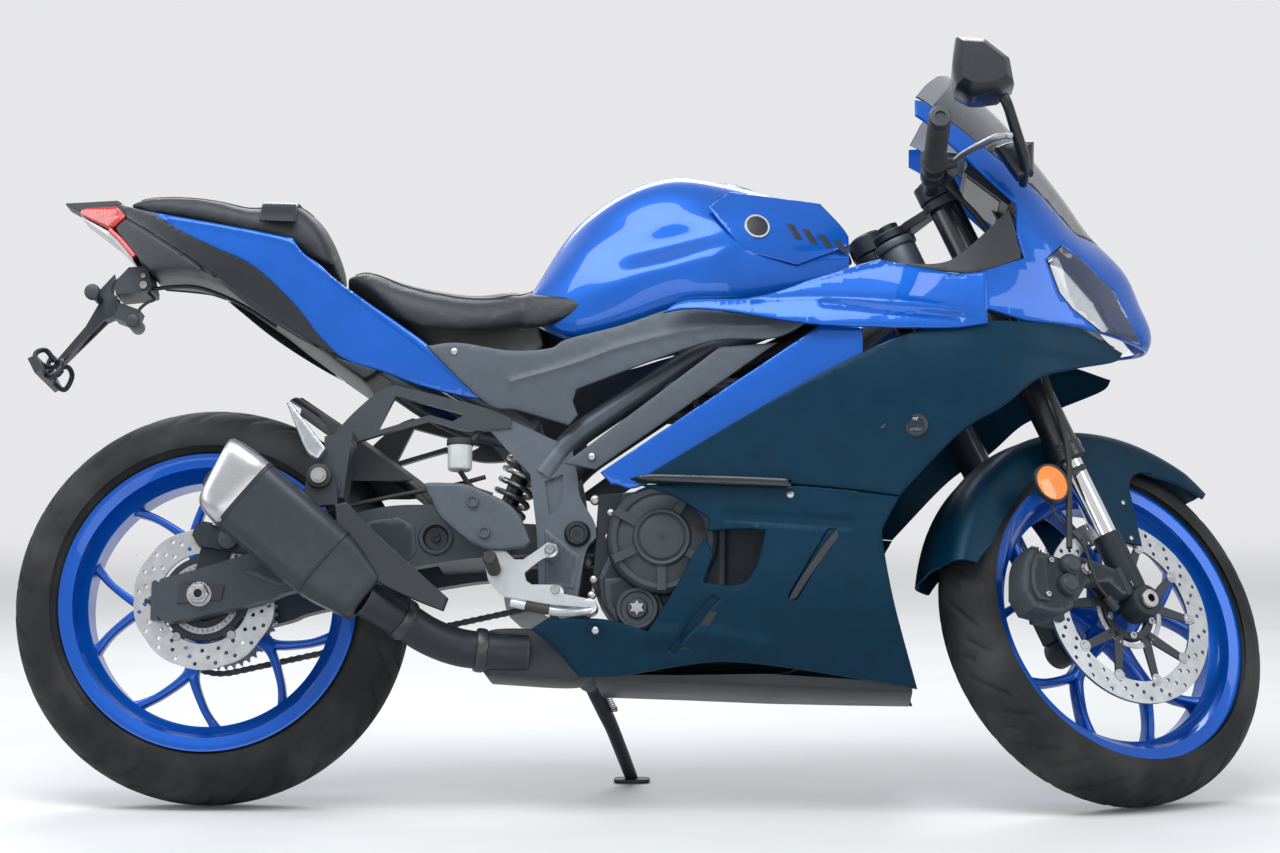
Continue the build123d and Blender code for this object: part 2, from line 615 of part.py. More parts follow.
LAMP = [(1285, 833), (1304, 780), (1324, 757), (1369, 727), (1437, 722), (1408, 772), (1394, 800), (1369, 818),
        (1340, 843), (1310, 859)]
SCREEN_EDGE = [(1087, 1088), (1101, 1087), (1283, 946), (1336, 890), (1400, 884)]
SCREEN_TOP = [(1470, 1165), (1152, 1162), (1125, 1146), (1104, 1120), (1088, 1094)]


def nose_cowl():
    sheet = nose_shell(SKIN)
    region = both_sides([(1185, 746), (1250, 731), (1330, 729), (1440, 716), (1470, 716), (1470, 884)]
                        + list(reversed(SCREEN_EDGE)) + [(1087, 1060), (1103, 1050), (1240, 920), (1240, 870),
                                                         (1250, 832), (1185, 806)])
    return (sheet & region) - both_sides(LAMP)


def windscreen():
    sheet = nose_shell(SKIN)
    return sheet & both_sides(SCREEN_EDGE + SCREEN_TOP)


def headlamps():
    deep = nose_shell(40) & both_sides(LAMP)
    return deep - Box(4000, 24, 4000)


def lamp_carrier():
    """Beak and lamp carrier behind the nose."""
    beam = block((1310, 0, 745), (60, 60, 40))
    stay = bent_tube([(1300, 0, 745), (1210, 0, 830), (1106, 0, 846)], 12, 40)
    return beam + stay


def upper_fairings():
    sheet = skin(UPPER_LEVELS, UPPER, 7)
    return pair(cut_out(sheet, [(700, 736), (740, 742), (802, 736), (939, 712), (1118, 710), (1180, 718), (1180, 803),
                                (1161, 802), (1134, 802), (1040, 819), (1023, 820), (939, 793), (844, 760),
                                (738, 758)]))


def inner_panels():
    """Blue strip behind the side panels."""
    sheet = skin((470, 560, 640, 720), ((600, (176, 180, 180, 176)), (860, (192, 198, 200, 200)),
                                        (1010, (196, 204, 208, 208))))
    return pair(cut_out(sheet, [(609, 495), (941, 717), (1004, 712), (1004, 668), (700, 486), (626, 476)]))


def side_fairings():
    sheet = skin(SIDE_LEVELS, SIDE)
    # edge turned inward along the blue strip
    sheet += skin(SIDE_LEVELS, SIDE, 34) & strut((694, 490), (1001, 666), SKIN, SKIN, -300, 0)
    return pair(cut_out(sheet, [(667, 472), (692, 492), (999, 668), (1118, 716), (1179, 726), (1250, 729), (1330, 727),
                                (1402, 696), (1388, 680), (1321, 659), (1266, 638), (1213, 593), (1148, 550),
                                (1058, 455), (895, 470)]))


def lower_fairings():
    sheet = skin(SIDE_LEVELS, SIDE)
    panel = cut_out(sheet, [(667, 471), (895, 469), (1058, 454), (1036, 412), (1033, 387), (1050, 298), (1086, 177),
                            (899, 204), (798, 213), (727, 206), (638, 191), (580, 189), (543, 232), (507, 258),
                            (533, 274), (618, 273), (683, 256), (718, 309), (749, 363), (770, 398), (773, 420),
                            (723, 452)])
    panel -= side_plate([(766, 400), (781, 366), (767, 326), (809, 322), (830, 327), (846, 354), (858, 402),
                         (823, 404)], -260, -60)
    panel -= strut((955, 396), (900, 308), 14, 20, -260, -60)
    panel -= strut((776, 274), (740, 238), 12, 16, -260, -60)
    stand_room = side_plate([(480, 150), (668, 150), (668, 252), (480, 300)], 60, 260)
    return group(panel, flip(panel) - stand_room)


def belly_pan():
    return sections_x((
        (600, ((0, 186), (118, 190), (122, 196), (0, 194))),
        (860, ((0, 177), (112, 180), (124, 200), (0, 186))),
        (1080, ((0, 172), (98, 174), (110, 190), (0, 182))),
    ))


def side_covers():
    """Grey covers below the seat and along the tank."""
    sheet = skin((560, 640, 700, 760), ((330, (128, 134, 134, 128)), (480, (142, 150, 150, 142)),
                                        (700, (166, 172, 172, 166)), (940, (206, 210, 210, 204))))
    return pair(cut_out(sheet, [(336, 700), (387, 704), (465, 690), (528, 692), (555, 706), (636, 726), (734, 754),
                                (814, 739), (933, 728), (873, 698), (784, 697), (694, 671), (596, 636), (571, 627),
                                (565, 609), (573, 588), (559, 572), (481, 596), (430, 609)]))


def frame_covers():
    sheet = skin((490, 600, 700), ((545, (154, 156, 156)), (700, (160, 164, 164)), (880, (182, 186, 186))))
    cover = cut_out(sheet, [(552, 513), (573, 528), (788, 690), (876, 694), (601, 503)])
    cover += rod((566, -FRAME_Y - FRAME_PLATE_T / 2, 516), (566, -153, 516), 7)
    cover += rod((760, -112, 642), (760, -166, 655), 7)
    return pair(cover)


def fairing_strips():
    """Dark strip fins between the side and lower panels."""
    strip = side_plate([(655, 478), (700, 484), (880, 478), (900, 462), (860, 464), (700, 470)], -232, -206)
    return pair(strip)


def cockpit():
    """Inner panels and instrument between the fairing and the steering head."""
    wall = skin((790, 850, 920), ((1040, (172, 164, 158)), (1180, (178, 166, 156)), (1260, (158, 150, 142))))
    sides = cut_out(wall, [(1048, 822), (1128, 806), (1180, 806), (1246, 832), (1240, 868), (1228, 910), (1160, 842),
                           (1120, 820)])
    return pair(sides)


def instrument():
    dash = Pos(1206, 0, 972) * Rot(0, -52, 0) * Box(34, 176, 92)
    hood = Pos(1190, 0, 1016) * Rot(0, -30, 0) * Box(56, 176, 8)
    stay = bent_tube([(1216, 0, 960), (1262, 0, 880), (1312, 0, 760)], 12, 40)
    cross = rod((1262, -130, 880), (1262, 130, 880), 10)
    return dash + hood + stay + cross + lamp_carrier()


MIRROR_HEAD = ((1139, 1125), (1182, 1122), (1221, 1090), (1227, 1053), (1207, 1038), (1165, 1034), (1138, 1046),
               (1134, 1082))
MIRROR_MIDDLE = (1180, 1080)
# distance from the bike's middle, then the size of the head there
MIRROR_SPAN = ((-246, 0.66), (-272, 0.95), (-330, 1.0), (-360, 0.7))


def mirrors():
    rings = []
    for y, size in MIRROR_SPAN:
        ring = [(MIRROR_MIDDLE[0] + (x - MIRROR_MIDDLE[0]) * size, y, MIRROR_MIDDLE[1] + (z - MIRROR_MIDDLE[1]) * size)
                for x, z in MIRROR_HEAD]
        rings.append(make_face(Polyline(*ring, close=True)))
    head = loft(rings, ruled=True)
    arm = bent_tube([(1250, -150, 950), (1252, -196, 968), (1216, -296, 1042), (1190, -300, 1078)], 9, 20)
    foot = side_plate([(1206, 999), (1232, 1008), (1265, 1008), (1264, 959), (1240, 950)], -190, -112)
    return pair(arm + (foot - nose_shell(30)) + head)


# ---------------------------------------------------------------- controls and small pieces on the chassis
def passenger_brackets():
    outer = [(290, 640), (425, 604), (470, 586), (470, 570), (405, 566), (349, 580), (196, 534), (186, 548)]
    inner = [(292, 622), (400, 592), (380, 580), (345, 592), (262, 566)]
    plate = side_plate(outer, -136, -122) - side_plate(inner, -140, -120)
    lug = side_plate([(192, 548), (234, 556), (222, 452), (186, 452)], -187, -122)
    peg = side_plate([(133, 597), (144, 595), (199, 526), (183, 508), (165, 525)], -206, -186)
    return pair(plate + lug + peg)


def foot_controls():
    web = side_plate([(532, 384), (546, 360), (541, 316), (600, 300), (600, 288), (540, 292), (470, 300), (438, 340),
                      (446, 372), (470, 350), (505, 350)], -176, -162)
    arm = rod((536, -176, 376), (536, -FRAME_Y - 14, 376), 12) + rod((546, -176, 312), (546, -FRAME_Y - 14, 320), 12)
    peg = rod((452, -170, 345), (452, -262, 352), 11)
    return group(pair(web + arm + peg), pedals())


def heel_guards():
    return pair(side_plate([(341, 474), (353, 478), (434, 465), (480, 439), (508, 385), (497, 377), (428, 381),
                            (357, 447)], -190, -180)
                + rod((419, -196, 447), (419, -180, 447), 9) + rod((437, -196, 400), (437, -180, 400), 9)
                + rod((437, -182, 400), (437, -ARM_OUT, 400), 9))


def pedals():
    right = bent_tube([(600, -178, 286), (560, -206, 276), (480, -206, 292)], 8, 12)
    right += rod((596, -150, 290), (596, -186, 290), 12)
    right += block((640, -196, 282), (44, 40, 12))
    right += rod((640, -180, 282), (596, -180, 284), 7)
    left = rod((600, 150, 284), (600, 206, 284), 9)
    left += bent_tube([(600, 178, 284), (640, 178, 300), (664, 178, 330)], 8, 12)
    left += rod((664, 170, 330), (664, 214, 330), 10)
    return group(right, left)


def brake_reservoir():
    cup = rod((392, -128, 506), (392, -128, 544), 19)
    cap = rod((392, -128, 544), (392, -128, 555), 21)
    stay = rod((392, -128, 520), (436, -122, 596), 6)
    return cup + cap + stay


def rear_caliper():
    body = block((32, -88, 399), (88, 46, 48), 12)
    body -= rod((0, REAR_DISC_Y - 5, REAR_AXLE_Z), (0, REAR_DISC_Y + DISC_T + 5, REAR_AXLE_Z), REAR_DISC_R + 5)
    body += strut((0, REAR_AXLE_Z), (32, 400), 44, 50, -99, -94)
    return body - rod((0, -120, REAR_AXLE_Z), (0, 0, REAR_AXLE_Z), 17)


def chain():
    """Drive chain as one band round both sprockets."""
    rear = Pos(0, SPROCKET_Y, REAR_AXLE_Z)
    dx = DRIVE[0]
    dz = DRIVE[1] - REAR_AXLE_Z
    length = math.hypot(dx, dz)
    slope = math.degrees(math.atan2(dz, dx))
    spread = math.degrees(math.asin((SPROCKET_R - DRIVE_R) / length))
    outline = []
    for extra in (12, CHAIN_CLEAR):
        big = SPROCKET_R + extra
        small = DRIVE_R + extra
        up = slope + 90 - spread
        down = slope - 90 + spread
        a = polar(big, up)
        b = polar(small, up)
        c = polar(small, down)
        d = polar(big, down)
        front_mid = polar(small, slope)
        rear_mid = polar(big, slope + 180)
        wire = [Line((a[0], 0, a[1]), (dx + b[0], 0, dz + b[1])),
                ThreePointArc((dx + b[0], 0, dz + b[1]), (dx + front_mid[0], 0, dz + front_mid[1]),
                              (dx + c[0], 0, dz + c[1])),
                Line((dx + c[0], 0, dz + c[1]), (d[0], 0, d[1])),
                ThreePointArc((d[0], 0, d[1]), (rear_mid[0], 0, rear_mid[1]), (a[0], 0, a[1]))]
        outline.append(make_face(wire))
    band = extrude(outline[0], amount=14, dir=(0, 1, 0)) - extrude(outline[1], amount=14, dir=(0, 1, 0))
    return Pos(0, SPROCKET_Y - 7, REAR_AXLE_Z) * band


def shock_absorber():
    low = Vector(430, 0, 400)
    high = Vector(500, 0, 590)
    along = (high - low).normalized()
    body = rod(low, high, 16)
    for k in range(7):
        spot = low + along * (44 + 18 * k)
        body += rod(spot, spot + along * 9, 32)
    return body + rod((500, -100, 590), (500, 100, 590), 10)


# ---------------------------------------------------------------- steered pieces, in the fork's frame
def in_fork(shape):
    return FORK.location * shape


def fork_lowers():
    """Bright stanchions in their black axle lugs."""
    leg = Pos(0, -FORK_SPREAD, 0) * (Cylinder(STANCHION_R, SEAL + 60, align=LOW)
                                     + Cylinder(LUG_HALF, LUG_TOP, align=LOW))
    leg += Pos(0, -FORK_SPREAD, 0) * Rot(90, 0, 0) * Cylinder(26, 2 * LUG_HALF)
    leg -= Pos(0, -FORK_SPREAD, 0) * Rot(90, 0, 0) * Cylinder(AXLE_R, 60)
    return pair(in_fork(leg))


def fork_uppers():
    leg = Pos(0, -FORK_SPREAD, SEAL) * Cylinder(UPPER_TUBE_R, LEG_TOP - SEAL, align=LOW)
    leg += Pos(0, -FORK_SPREAD, SEAL) * Cylinder(UPPER_TUBE_R + 3, 26, align=LOW)
    leg -= Pos(0, -FORK_SPREAD, SEAL - 1) * Cylinder(STANCHION_R, 61, align=LOW)
    return pair(in_fork(leg))


def clamp_plate(height, thickness, boss):
    plate = Pos(0, 0, height) * extrude(make_face(Polyline(
        (-33, -40), (-2, -FORK_SPREAD - 20), (24, -FORK_SPREAD), (8, 0), (24, FORK_SPREAD),
        (-2, FORK_SPREAD + 20), (-33, 40), close=True)), amount=thickness)
    for y in (-FORK_SPREAD, FORK_SPREAD):
        plate += Pos(0, y, height) * Cylinder(UPPER_TUBE_R + boss, thickness, align=LOW)
        plate -= Pos(0, y, height - 1) * Cylinder(UPPER_TUBE_R, thickness + 2, align=LOW)
    return plate


def triple_clamps():
    stem = Pos(STEM_BACK, 0, LOWER_CLAMP) * Cylinder(STEM_R, TOP_CLAMP - LOWER_CLAMP + TOP_CLAMP_T + 12, align=LOW)
    hub_low = Pos(STEM_BACK, 0, LOWER_CLAMP) * Cylinder(32, LOWER_CLAMP_T, align=LOW)
    hub_top = Pos(STEM_BACK, 0, TOP_CLAMP) * Cylinder(30, TOP_CLAMP_T, align=LOW)
    low = clamp_plate(LOWER_CLAMP, LOWER_CLAMP_T, 8)
    top = clamp_plate(TOP_CLAMP, TOP_CLAMP_T, 7)
    return in_fork(low + hub_low + stem + top + hub_top)


GRIP_IN = Vector(989, -226, 912)
GRIP_OUT = Vector(917, -350, 896)


def clip_on():
    ring = Pos(0, -FORK_SPREAD, TOP_CLAMP + TOP_CLAMP_T + 2) * (
        Cylinder(UPPER_TUBE_R + 8, 28, align=LOW) - Cylinder(UPPER_TUBE_R, 28, align=LOW))
    along = (GRIP_IN - GRIP_OUT).normalized()
    start = GRIP_IN + along * 124
    bar = rod(start, GRIP_OUT - along * 3, 11)
    weight = rod(GRIP_OUT - along * 3, GRIP_OUT - along * 20, 17)
    leg = Pos(0, -FORK_SPREAD, TOP_CLAMP) * Cylinder(UPPER_TUBE_R, 60, align=LOW)
    return in_fork(ring) + bar - in_fork(leg) + weight


def handlebars():
    return pair(clip_on())


def grips():
    along = (GRIP_IN - GRIP_OUT).normalized()
    grip = rod(GRIP_OUT, GRIP_IN, 17, 11)
    grip += rod(GRIP_IN, GRIP_IN + along * 5, 22, 11)
    return pair(grip)


def levers():
    along = (GRIP_IN - GRIP_OUT).normalized()
    start = GRIP_IN + along * 12
    holder = rod(start, start + along * 26, 18, 11)
    clip = rod(start + along * 12, Vector(1036, -214, 924), 9)
    lever = bent_tube([(1034, -208, 924), (1028, -250, 920), (1030, -330, 906), (1042, -352, 901)], 5.5, 20)
    switch = rod(start + along * 26, start + along * 58, 19, 11)
    return group(pair(holder + clip + lever + switch), brake_pump())


def brake_pump():
    body = rod((1042, -196, 922), (1048, -150, 928), 11)
    body += block((1046, -170, 934), (26, 40, 26))
    return body


FENDER_R = FRONT["radius"] + 14


def front_fender():
    """Guard wrapped round the top of the front tyre, with side flanks and fork stays."""
    outer = FENDER_R + SKIN
    half = 72
    profile_out = [(0, -half, outer - 60), (0, -half + 4, outer - 22), (0, -half + 30, outer - 3), (0, 0, outer + 4)]
    profile_in = [(0, y + (SKIN if y < 0 else 0), r - SKIN) for _, y, r in profile_out]
    left = [(0, -y, r) for _, y, r in reversed(profile_out[:-1])]
    left_in = [(0, -y, r) for _, y, r in reversed(profile_in[:-1])]
    face = make_face(Polyline(*profile_out, *left, *reversed(profile_in + left_in), close=True))
    shell = revolve(face, axis=Axis.Y)
    window = side_plate([(-330, 0), (-314, 30), (-204, 121), (-60, 210), (20, 244), (50, 240), (130, 214), (240, 258),
                         (200, 330), (-40, 360), (-250, 300), (-360, 60)], -120, 120)
    shell = Pos(*FRONT_AXLE) * (shell & window)
    for y in (-FORK_SPREAD, FORK_SPREAD):
        shell -= in_fork(Pos(0, y, SEAL - 60) * Cylinder(UPPER_TUBE_R + 3.5, 160, align=LOW))
    flank = side_plate([(1290, 560), (1352, 574), (1405, 566), (1453, 527), (1409, 519), (1401, 494), (1412, 400),
                        (1372, 400), (1330, 500)], -84, -80)
    flank += side_plate([(1300, 552), (1352, 568), (1402, 560), (1430, 536), (1320, 528)], -84, -69)
    shell += flank + flip(flank)
    return shell


def front_caliper():
    body = side_plate([(1158, 312), (1172, 346), (1229, 340), (1255, 343), (1262, 321), (1252, 287), (1243, 260),
                       (1214, 246), (1168, 248), (1153, 272)], -120, FRONT_DISC_Y - 4)
    body += block((1226, -62, 298), (50, 40, 92), 12)
    for x, z in ((1240, 327), (1233, 294)):
        body += rod((x, -120, z), (x, -133, z), 17)
    body -= rod((WHEELBASE, FRONT_DISC_Y - 3, FRONT_AXLE_Z), (WHEELBASE, FRONT_DISC_Y + DISC_T + 3, FRONT_AXLE_Z),
                FRONT_DISC_R + 5)
    bracket = side_plate([(1236, 350), (1256, 352), (1376, 330), (1376, 300), (1330, 290), (1250, 262), (1240, 272)],
                         -114, -90)
    return body + bracket


def reflectors():
    face = rod((1213, -128, 452), (1213, -138, 452), 31)
    stay = rod((1213, -128, 452), (1290, -FORK_SPREAD - 18, 500), 6)
    return pair(face + stay)


def front_axle():
    end = FORK_SPREAD + 30
    axle = rod((WHEELBASE, -end, FRONT_AXLE_Z), (WHEELBASE, end, FRONT_AXLE_Z), AXLE_R)
    for s in (-1, 1):
        axle += rod((WHEELBASE, s * (FRONT["hub"] + 15 + FACE_GAP), FRONT_AXLE_Z),
                    (WHEELBASE, s * (FORK_SPREAD - LUG_HALF), FRONT_AXLE_Z), 15)
        axle += rod((WHEELBASE, s * (FORK_SPREAD + LUG_HALF), FRONT_AXLE_Z), (WHEELBASE, s * end, FRONT_AXLE_Z), 15)
    return axle - rod((WHEELBASE, -end - 1, FRONT_AXLE_Z), (WHEELBASE, end + 1, FRONT_AXLE_Z), AXLE_BORE_R)


def front_brake_hose():
    return bent_tube([(1050, -146, 936), (1140, -134, 880), (1180, -140, 760), (1250, -138, 520), (1238, -128, 352)],
                     5, 30)


# ---------------------------------------------------------------- how the bike stands
def lowest(center, spindle, wheel):
    """Height of the lowest tread point of a leaning wheel, spindle being a unit vector."""
    round_r = crown(wheel)
    return center.Z - (wheel["radius"] - round_r) * math.sqrt(1 - spindle.Z ** 2) - round_r


def lean_and_pitch(pitch):
    return Rot(0, pitch, 0) * Rot(-LEAN, 0, 0)


def moved(place, point):
    return (place * Pos(*point)).position


def front_spindle(place):
    line = steered_line(tuple(FRONT_AXLE), tuple(FRONT_AXLE + Vector(0, 1, 0)))
    start = moved(place, line @ 0)
    end = moved(place, line @ 1)
    return start, (end - start).normalized()


def rest_pitch():
    """Nose down pitch that puts both tyres on the floor, steering on its stop."""
    pitch = 0.0
    for _ in range(5):
        place = lean_and_pitch(pitch)
        rear_center = moved(place, (0, 0, REAR_AXLE_Z))
        rear_dir = (moved(place, (0, 1, REAR_AXLE_Z)) - rear_center).normalized()
        front_center, front_dir = front_spindle(place)
        gap = lowest(front_center, front_dir, FRONT) - lowest(rear_center, rear_dir, REAR)
        pitch += math.degrees(gap / WHEELBASE)
    return pitch, lowest(rear_center, rear_dir, REAR)


PITCH, FLOOR = rest_pitch()
LEANED = Pos(0, 0, -FLOOR) * lean_and_pitch(PITCH)
GROUND = Plane(LEANED.inverse())       # the floor, seen from the bike

STAND_PIVOT = Vector(580, 112, 217)
STAND_FOOT = Vector(640, 284, 84)
STAND_DOWN = (STAND_FOOT - STAND_PIVOT).normalized()
STAND_BACK = Vector(-0.97, 0.22, 0.08)          # direction of the folded leg
STAND_PIN = STAND_DOWN.cross(STAND_BACK).normalized()
STAND_PIN_R, EYE_T = 6, 10


def side_stand():
    """Stand leg with its foot flat on the floor."""
    spot = moved(LEANED, STAND_FOOT)
    foot = LEANED.inverse() * Pos(spot.X, spot.Y, 0) * Box(58, 40, 7, align=LOW)
    ankle = moved(LEANED.inverse(), (spot.X, spot.Y, 5))
    leg = rod(STAND_PIVOT + STAND_DOWN * 34, ankle, 11)
    tab = Plane(STAND_PIVOT, x_dir=STAND_DOWN, z_dir=STAND_PIN).location * Pos(22, 0, 0) * Box(44, 22, EYE_T)
    eye = rod(STAND_PIVOT - STAND_PIN * (EYE_T / 2), STAND_PIVOT + STAND_PIN * (EYE_T / 2), 16)
    hole = rod(STAND_PIVOT - STAND_PIN * 30, STAND_PIVOT + STAND_PIN * 30, STAND_PIN_R + RUN_FIT)
    return foot + leg + tab + eye - hole


def stand_bracket():
    """Two ears and the pin below the frame that carry the stand."""
    body = rod(STAND_PIVOT - STAND_PIN * 16, STAND_PIVOT + STAND_PIN * 16, STAND_PIN_R)
    ear = EYE_T / 2 + FACE_GAP
    for s in (-1, 1):
        body += rod(STAND_PIVOT + STAND_PIN * (s * ear), STAND_PIVOT + STAND_PIN * (s * (ear + 8)), 15)
    arm = side_plate([(540, 318), (580, 318), (590, 262), (560, 262)], 84, 112)
    return body + arm + rod((576, 96, 272), STAND_PIVOT + STAND_PIN * (ear + 8.5), 8)


# ---------------------------------------------------------------- write the pieces
CHASSIS = dict(
    frame=frame, swingarm=swingarm, rear_spindles=rear_spindles, engine=engine, radiator=radiator,
    exhaust_pipe=exhaust_pipe, silencer=silencer, silencer_cap=silencer_cap, heat_shield=heat_shield,
    fuel_tank=fuel_tank, tank_cover=tank_cover, rider_seat=rider_seat, pillion_seat=pillion_seat,
    tail_panels=tail_panels, tail_undertray=tail_undertray, tail_lamp=tail_lamp,
    plate_bracket=plate_bracket, rear_mudguard=rear_mudguard, nose_cowl=nose_cowl,
    windscreen=windscreen, headlamps=headlamps, upper_fairings=upper_fairings,
    inner_panels=inner_panels, side_fairings=side_fairings, lower_fairings=lower_fairings,
    belly_pan=belly_pan, side_covers=side_covers, frame_covers=frame_covers,
    fairing_strips=fairing_strips, cockpit=cockpit, instrument=instrument, mirrors=mirrors,
    passenger_brackets=passenger_brackets, foot_controls=foot_controls, heel_guards=heel_guards,
    brake_reservoir=brake_reservoir, rear_caliper=rear_caliper, drive_chain=chain,
    shock_absorber=shock_absorber, side_stand=side_stand, fuel_cap=fuel_cap)
STEERED = dict(
    fork_lowers=fork_lowers, fork_uppers=fork_uppers, triple_clamps=triple_clamps, handlebars=handlebars,
    grips=grips, levers=levers, front_fender=front_fender, front_caliper=front_caliper,
    reflectors=reflectors, front_axle=front_axle, front_brake_hose=front_brake_hose)
REAR_WHEEL = dict(rear_rim=lambda: rim(REAR), rear_tyre=lambda: tyre(REAR), rear_disc=rear_disc,
                  rear_sprocket=rear_sprocket)
FRONT_WHEEL = dict(front_rim=lambda: rim(FRONT), front_tyre=lambda: tyre(FRONT), front_disc=front_disc)


# the first piece gives way to the others where they meet
TRIMS = dict(
    engine=("frame", "swingarm"), radiator=("engine", "frame", "side_fairings", "lower_fairings"),
    exhaust_pipe=("engine", "silencer"),
    fairing_strips=("lower_fairings", "side_fairings"), foot_controls=("frame", "lower_fairings"),
    front_caliper=("fork_lowers", "front_axle"), reflectors=("fork_lowers",),
    heat_shield=("silencer",), fuel_tank=("frame",),
    rear_mudguard=("swingarm",), heel_guards=("swingarm",), inner_panels=("side_fairings",),
    frame_covers=("frame",), upper_fairings=("side_fairings", "nose_cowl", "cockpit"),
    front_brake_hose=("levers", "reflectors", "front_caliper"),
    instrument=("frame", "headlamps", "nose_cowl", "windscreen", "cockpit"),
    passenger_brackets=("frame", "tail_undertray"), shock_absorber=("frame", "swingarm"),
    tail_undertray=("frame", "tail_lamp"), rider_seat=("fuel_tank",), tank_cover=("fuel_tank",),
    levers=("handlebars",), side_fairings=("nose_cowl",), silencer=("passenger_brackets",),
    pillion_seat=("tail_panels", "tail_undertray"), plate_bracket=("tail_undertray",),
    rear_caliper=("swingarm",), brake_reservoir=("frame", "passenger_brackets"))


def all_pieces():
    """Every piece in the bike's frame, with the steering on its left stop."""
    pieces = {}
    for name, make in CHASSIS.items():
        pieces[name] = make()
    for name, make in STEERED.items():
        pieces[name] = make().rotate(STEER_AXIS, STEER_LOCK)
    for name, make in REAR_WHEEL.items():
        pieces[name] = Pos(0, 0, REAR_AXLE_Z) * make()
    for name, make in FRONT_WHEEL.items():
        pieces[name] = (Pos(*FRONT_AXLE) * make()).rotate(STEER_AXIS, STEER_LOCK)
    for name, others in TRIMS.items():
        solids = []
        for solid in pieces[name].solids():
            solids += (solid - [pieces[other] for other in others]).solids()
        pieces[name] = Compound(solids)
    return pieces


def main():
    os.makedirs("parts", exist_ok=True)
    pieces = {name: LEANED * shape for name, shape in all_pieces().items()}
    boxes = [shape.bounding_box(optimal=True) for shape in pieces.values()]
    middle_x = (min(box.min.X for box in boxes) + max(box.max.X for box in boxes)) / 2
    middle_y = (min(box.min.Y for box in boxes) + max(box.max.Y for box in boxes)) / 2
    bottom = min(box.min.Z for box in boxes)
    place = Pos(-middle_x, -middle_y, -bottom)
    for name, shape in pieces.items():
        export_step(place * shape, f"parts/{name}.step")
    stand = place * LEANED
    spots = dict(
        steering=(Vector(*(STEER_FOOT + STEER_DIR * 600)), STEER_DIR),
        rear_wheel=(Vector(0, 0, REAR_AXLE_Z), Vector(0, 1, 0)),
        side_stand=(STAND_PIVOT, STAND_PIN.normalized()),
        fuel_cap=(CAP_TOP + CAP_PLANE.x_dir * CAP_HINGE.X + CAP_PLANE.z_dir * CAP_HINGE.Z, Vector(0, 1, 0)),
        plate_hole_left=(PLATE_BAR + Vector(0, PLATE_HOLE_Y, 0), PLATE_BACK),
        plate_hole_right=(PLATE_BAR - Vector(0, PLATE_HOLE_Y, 0), PLATE_BACK),
        datum=(Vector(0, 0, 0), Vector(0, 0, 1)))
    for name, (point, direction) in spots.items():
        start = moved(stand, point)
        print(name, start, (moved(stand, point + direction) - start).normalized())
    line = steered_line(tuple(FRONT_AXLE), tuple(FRONT_AXLE + Vector(0, 1, 0)))
    start = moved(stand, line @ 0)
    print("front_wheel", start, (moved(stand, line @ 1) - start).normalized())
    print("pitch", PITCH, "shift", middle_x, middle_y, bottom)


main()
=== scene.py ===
"""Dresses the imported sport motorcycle: bodywork, wheels, engine, controls, finishes, lamps and camera.

Shapes are written in the bike's own frame, as in the part's source: X forward, Y left, Z up,
millimetres, bike upright, steering straight.  PLACE and STEERED carry them into the row frame.
"""
import json
import math

import bmesh
import bpy
import numpy as np
from mathutils import Matrix, Vector
from mathutils.bvhtree import BVHTree
from mathutils.geometry import delaunay_2d_cdt


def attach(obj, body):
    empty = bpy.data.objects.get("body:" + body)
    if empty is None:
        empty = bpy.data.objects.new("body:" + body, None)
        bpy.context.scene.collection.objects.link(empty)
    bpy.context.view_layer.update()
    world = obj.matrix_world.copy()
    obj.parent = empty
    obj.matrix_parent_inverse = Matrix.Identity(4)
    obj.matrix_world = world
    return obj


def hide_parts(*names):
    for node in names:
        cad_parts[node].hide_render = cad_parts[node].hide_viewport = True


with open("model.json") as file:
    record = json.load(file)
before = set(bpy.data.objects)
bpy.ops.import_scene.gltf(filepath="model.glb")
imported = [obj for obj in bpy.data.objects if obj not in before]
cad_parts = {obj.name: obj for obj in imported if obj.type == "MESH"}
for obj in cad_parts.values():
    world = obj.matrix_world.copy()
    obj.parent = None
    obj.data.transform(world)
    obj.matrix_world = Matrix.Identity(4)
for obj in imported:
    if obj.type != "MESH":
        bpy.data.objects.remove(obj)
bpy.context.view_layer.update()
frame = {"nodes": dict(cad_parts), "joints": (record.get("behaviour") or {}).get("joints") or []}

# ---------------------------------------------------------------- frames
WHEELBASE, REAR_AXLE_Z, FRONT_AXLE_Z = 1380, 314, 293
CASTER, LEAN, PITCH, LOCK = 25, 13.2, 0.3195, 34


def turn_by(degrees, axis):
    """Matrix of a turn about an axis through the origin."""
    return Matrix.Rotation(math.radians(degrees), 4, axis)


def shift(x, y, z):
    """Matrix of a move."""
    return Matrix.Translation((x, y, z))


joints = {j["name"]: j for j in frame["joints"]}
tilt = turn_by(PITCH, "Y") @ turn_by(-LEAN, "X")
MM = Matrix.Scale(0.001, 4)
PLACE = Matrix.Translation(Vector(joints["rear_wheel_spin"]["pos_m"])) @ tilt @ MM @ shift(0, 0, -REAR_AXLE_Z)
head_at = Vector(joints["steering"]["pos_m"])
TURN = (Matrix.Translation(head_at) @ turn_by(LOCK, Vector(joints["steering"]["axis"]))
        @ Matrix.Translation(-head_at))
STEERED = TURN @ PLACE
REAR_AXLE = shift(0, 0, REAR_AXLE_Z)
REAR_WHEEL = PLACE @ REAR_AXLE
FRONT_WHEEL = STEERED @ shift(WHEELBASE, 0, FRONT_AXLE_Z)
# fork frame: origin on the front axle, local Z up the legs
FORK = FRONT_WHEEL @ turn_by(-CASTER, "Y")
MIRROR = Matrix.Scale(-1, 4, (0, 1, 0))

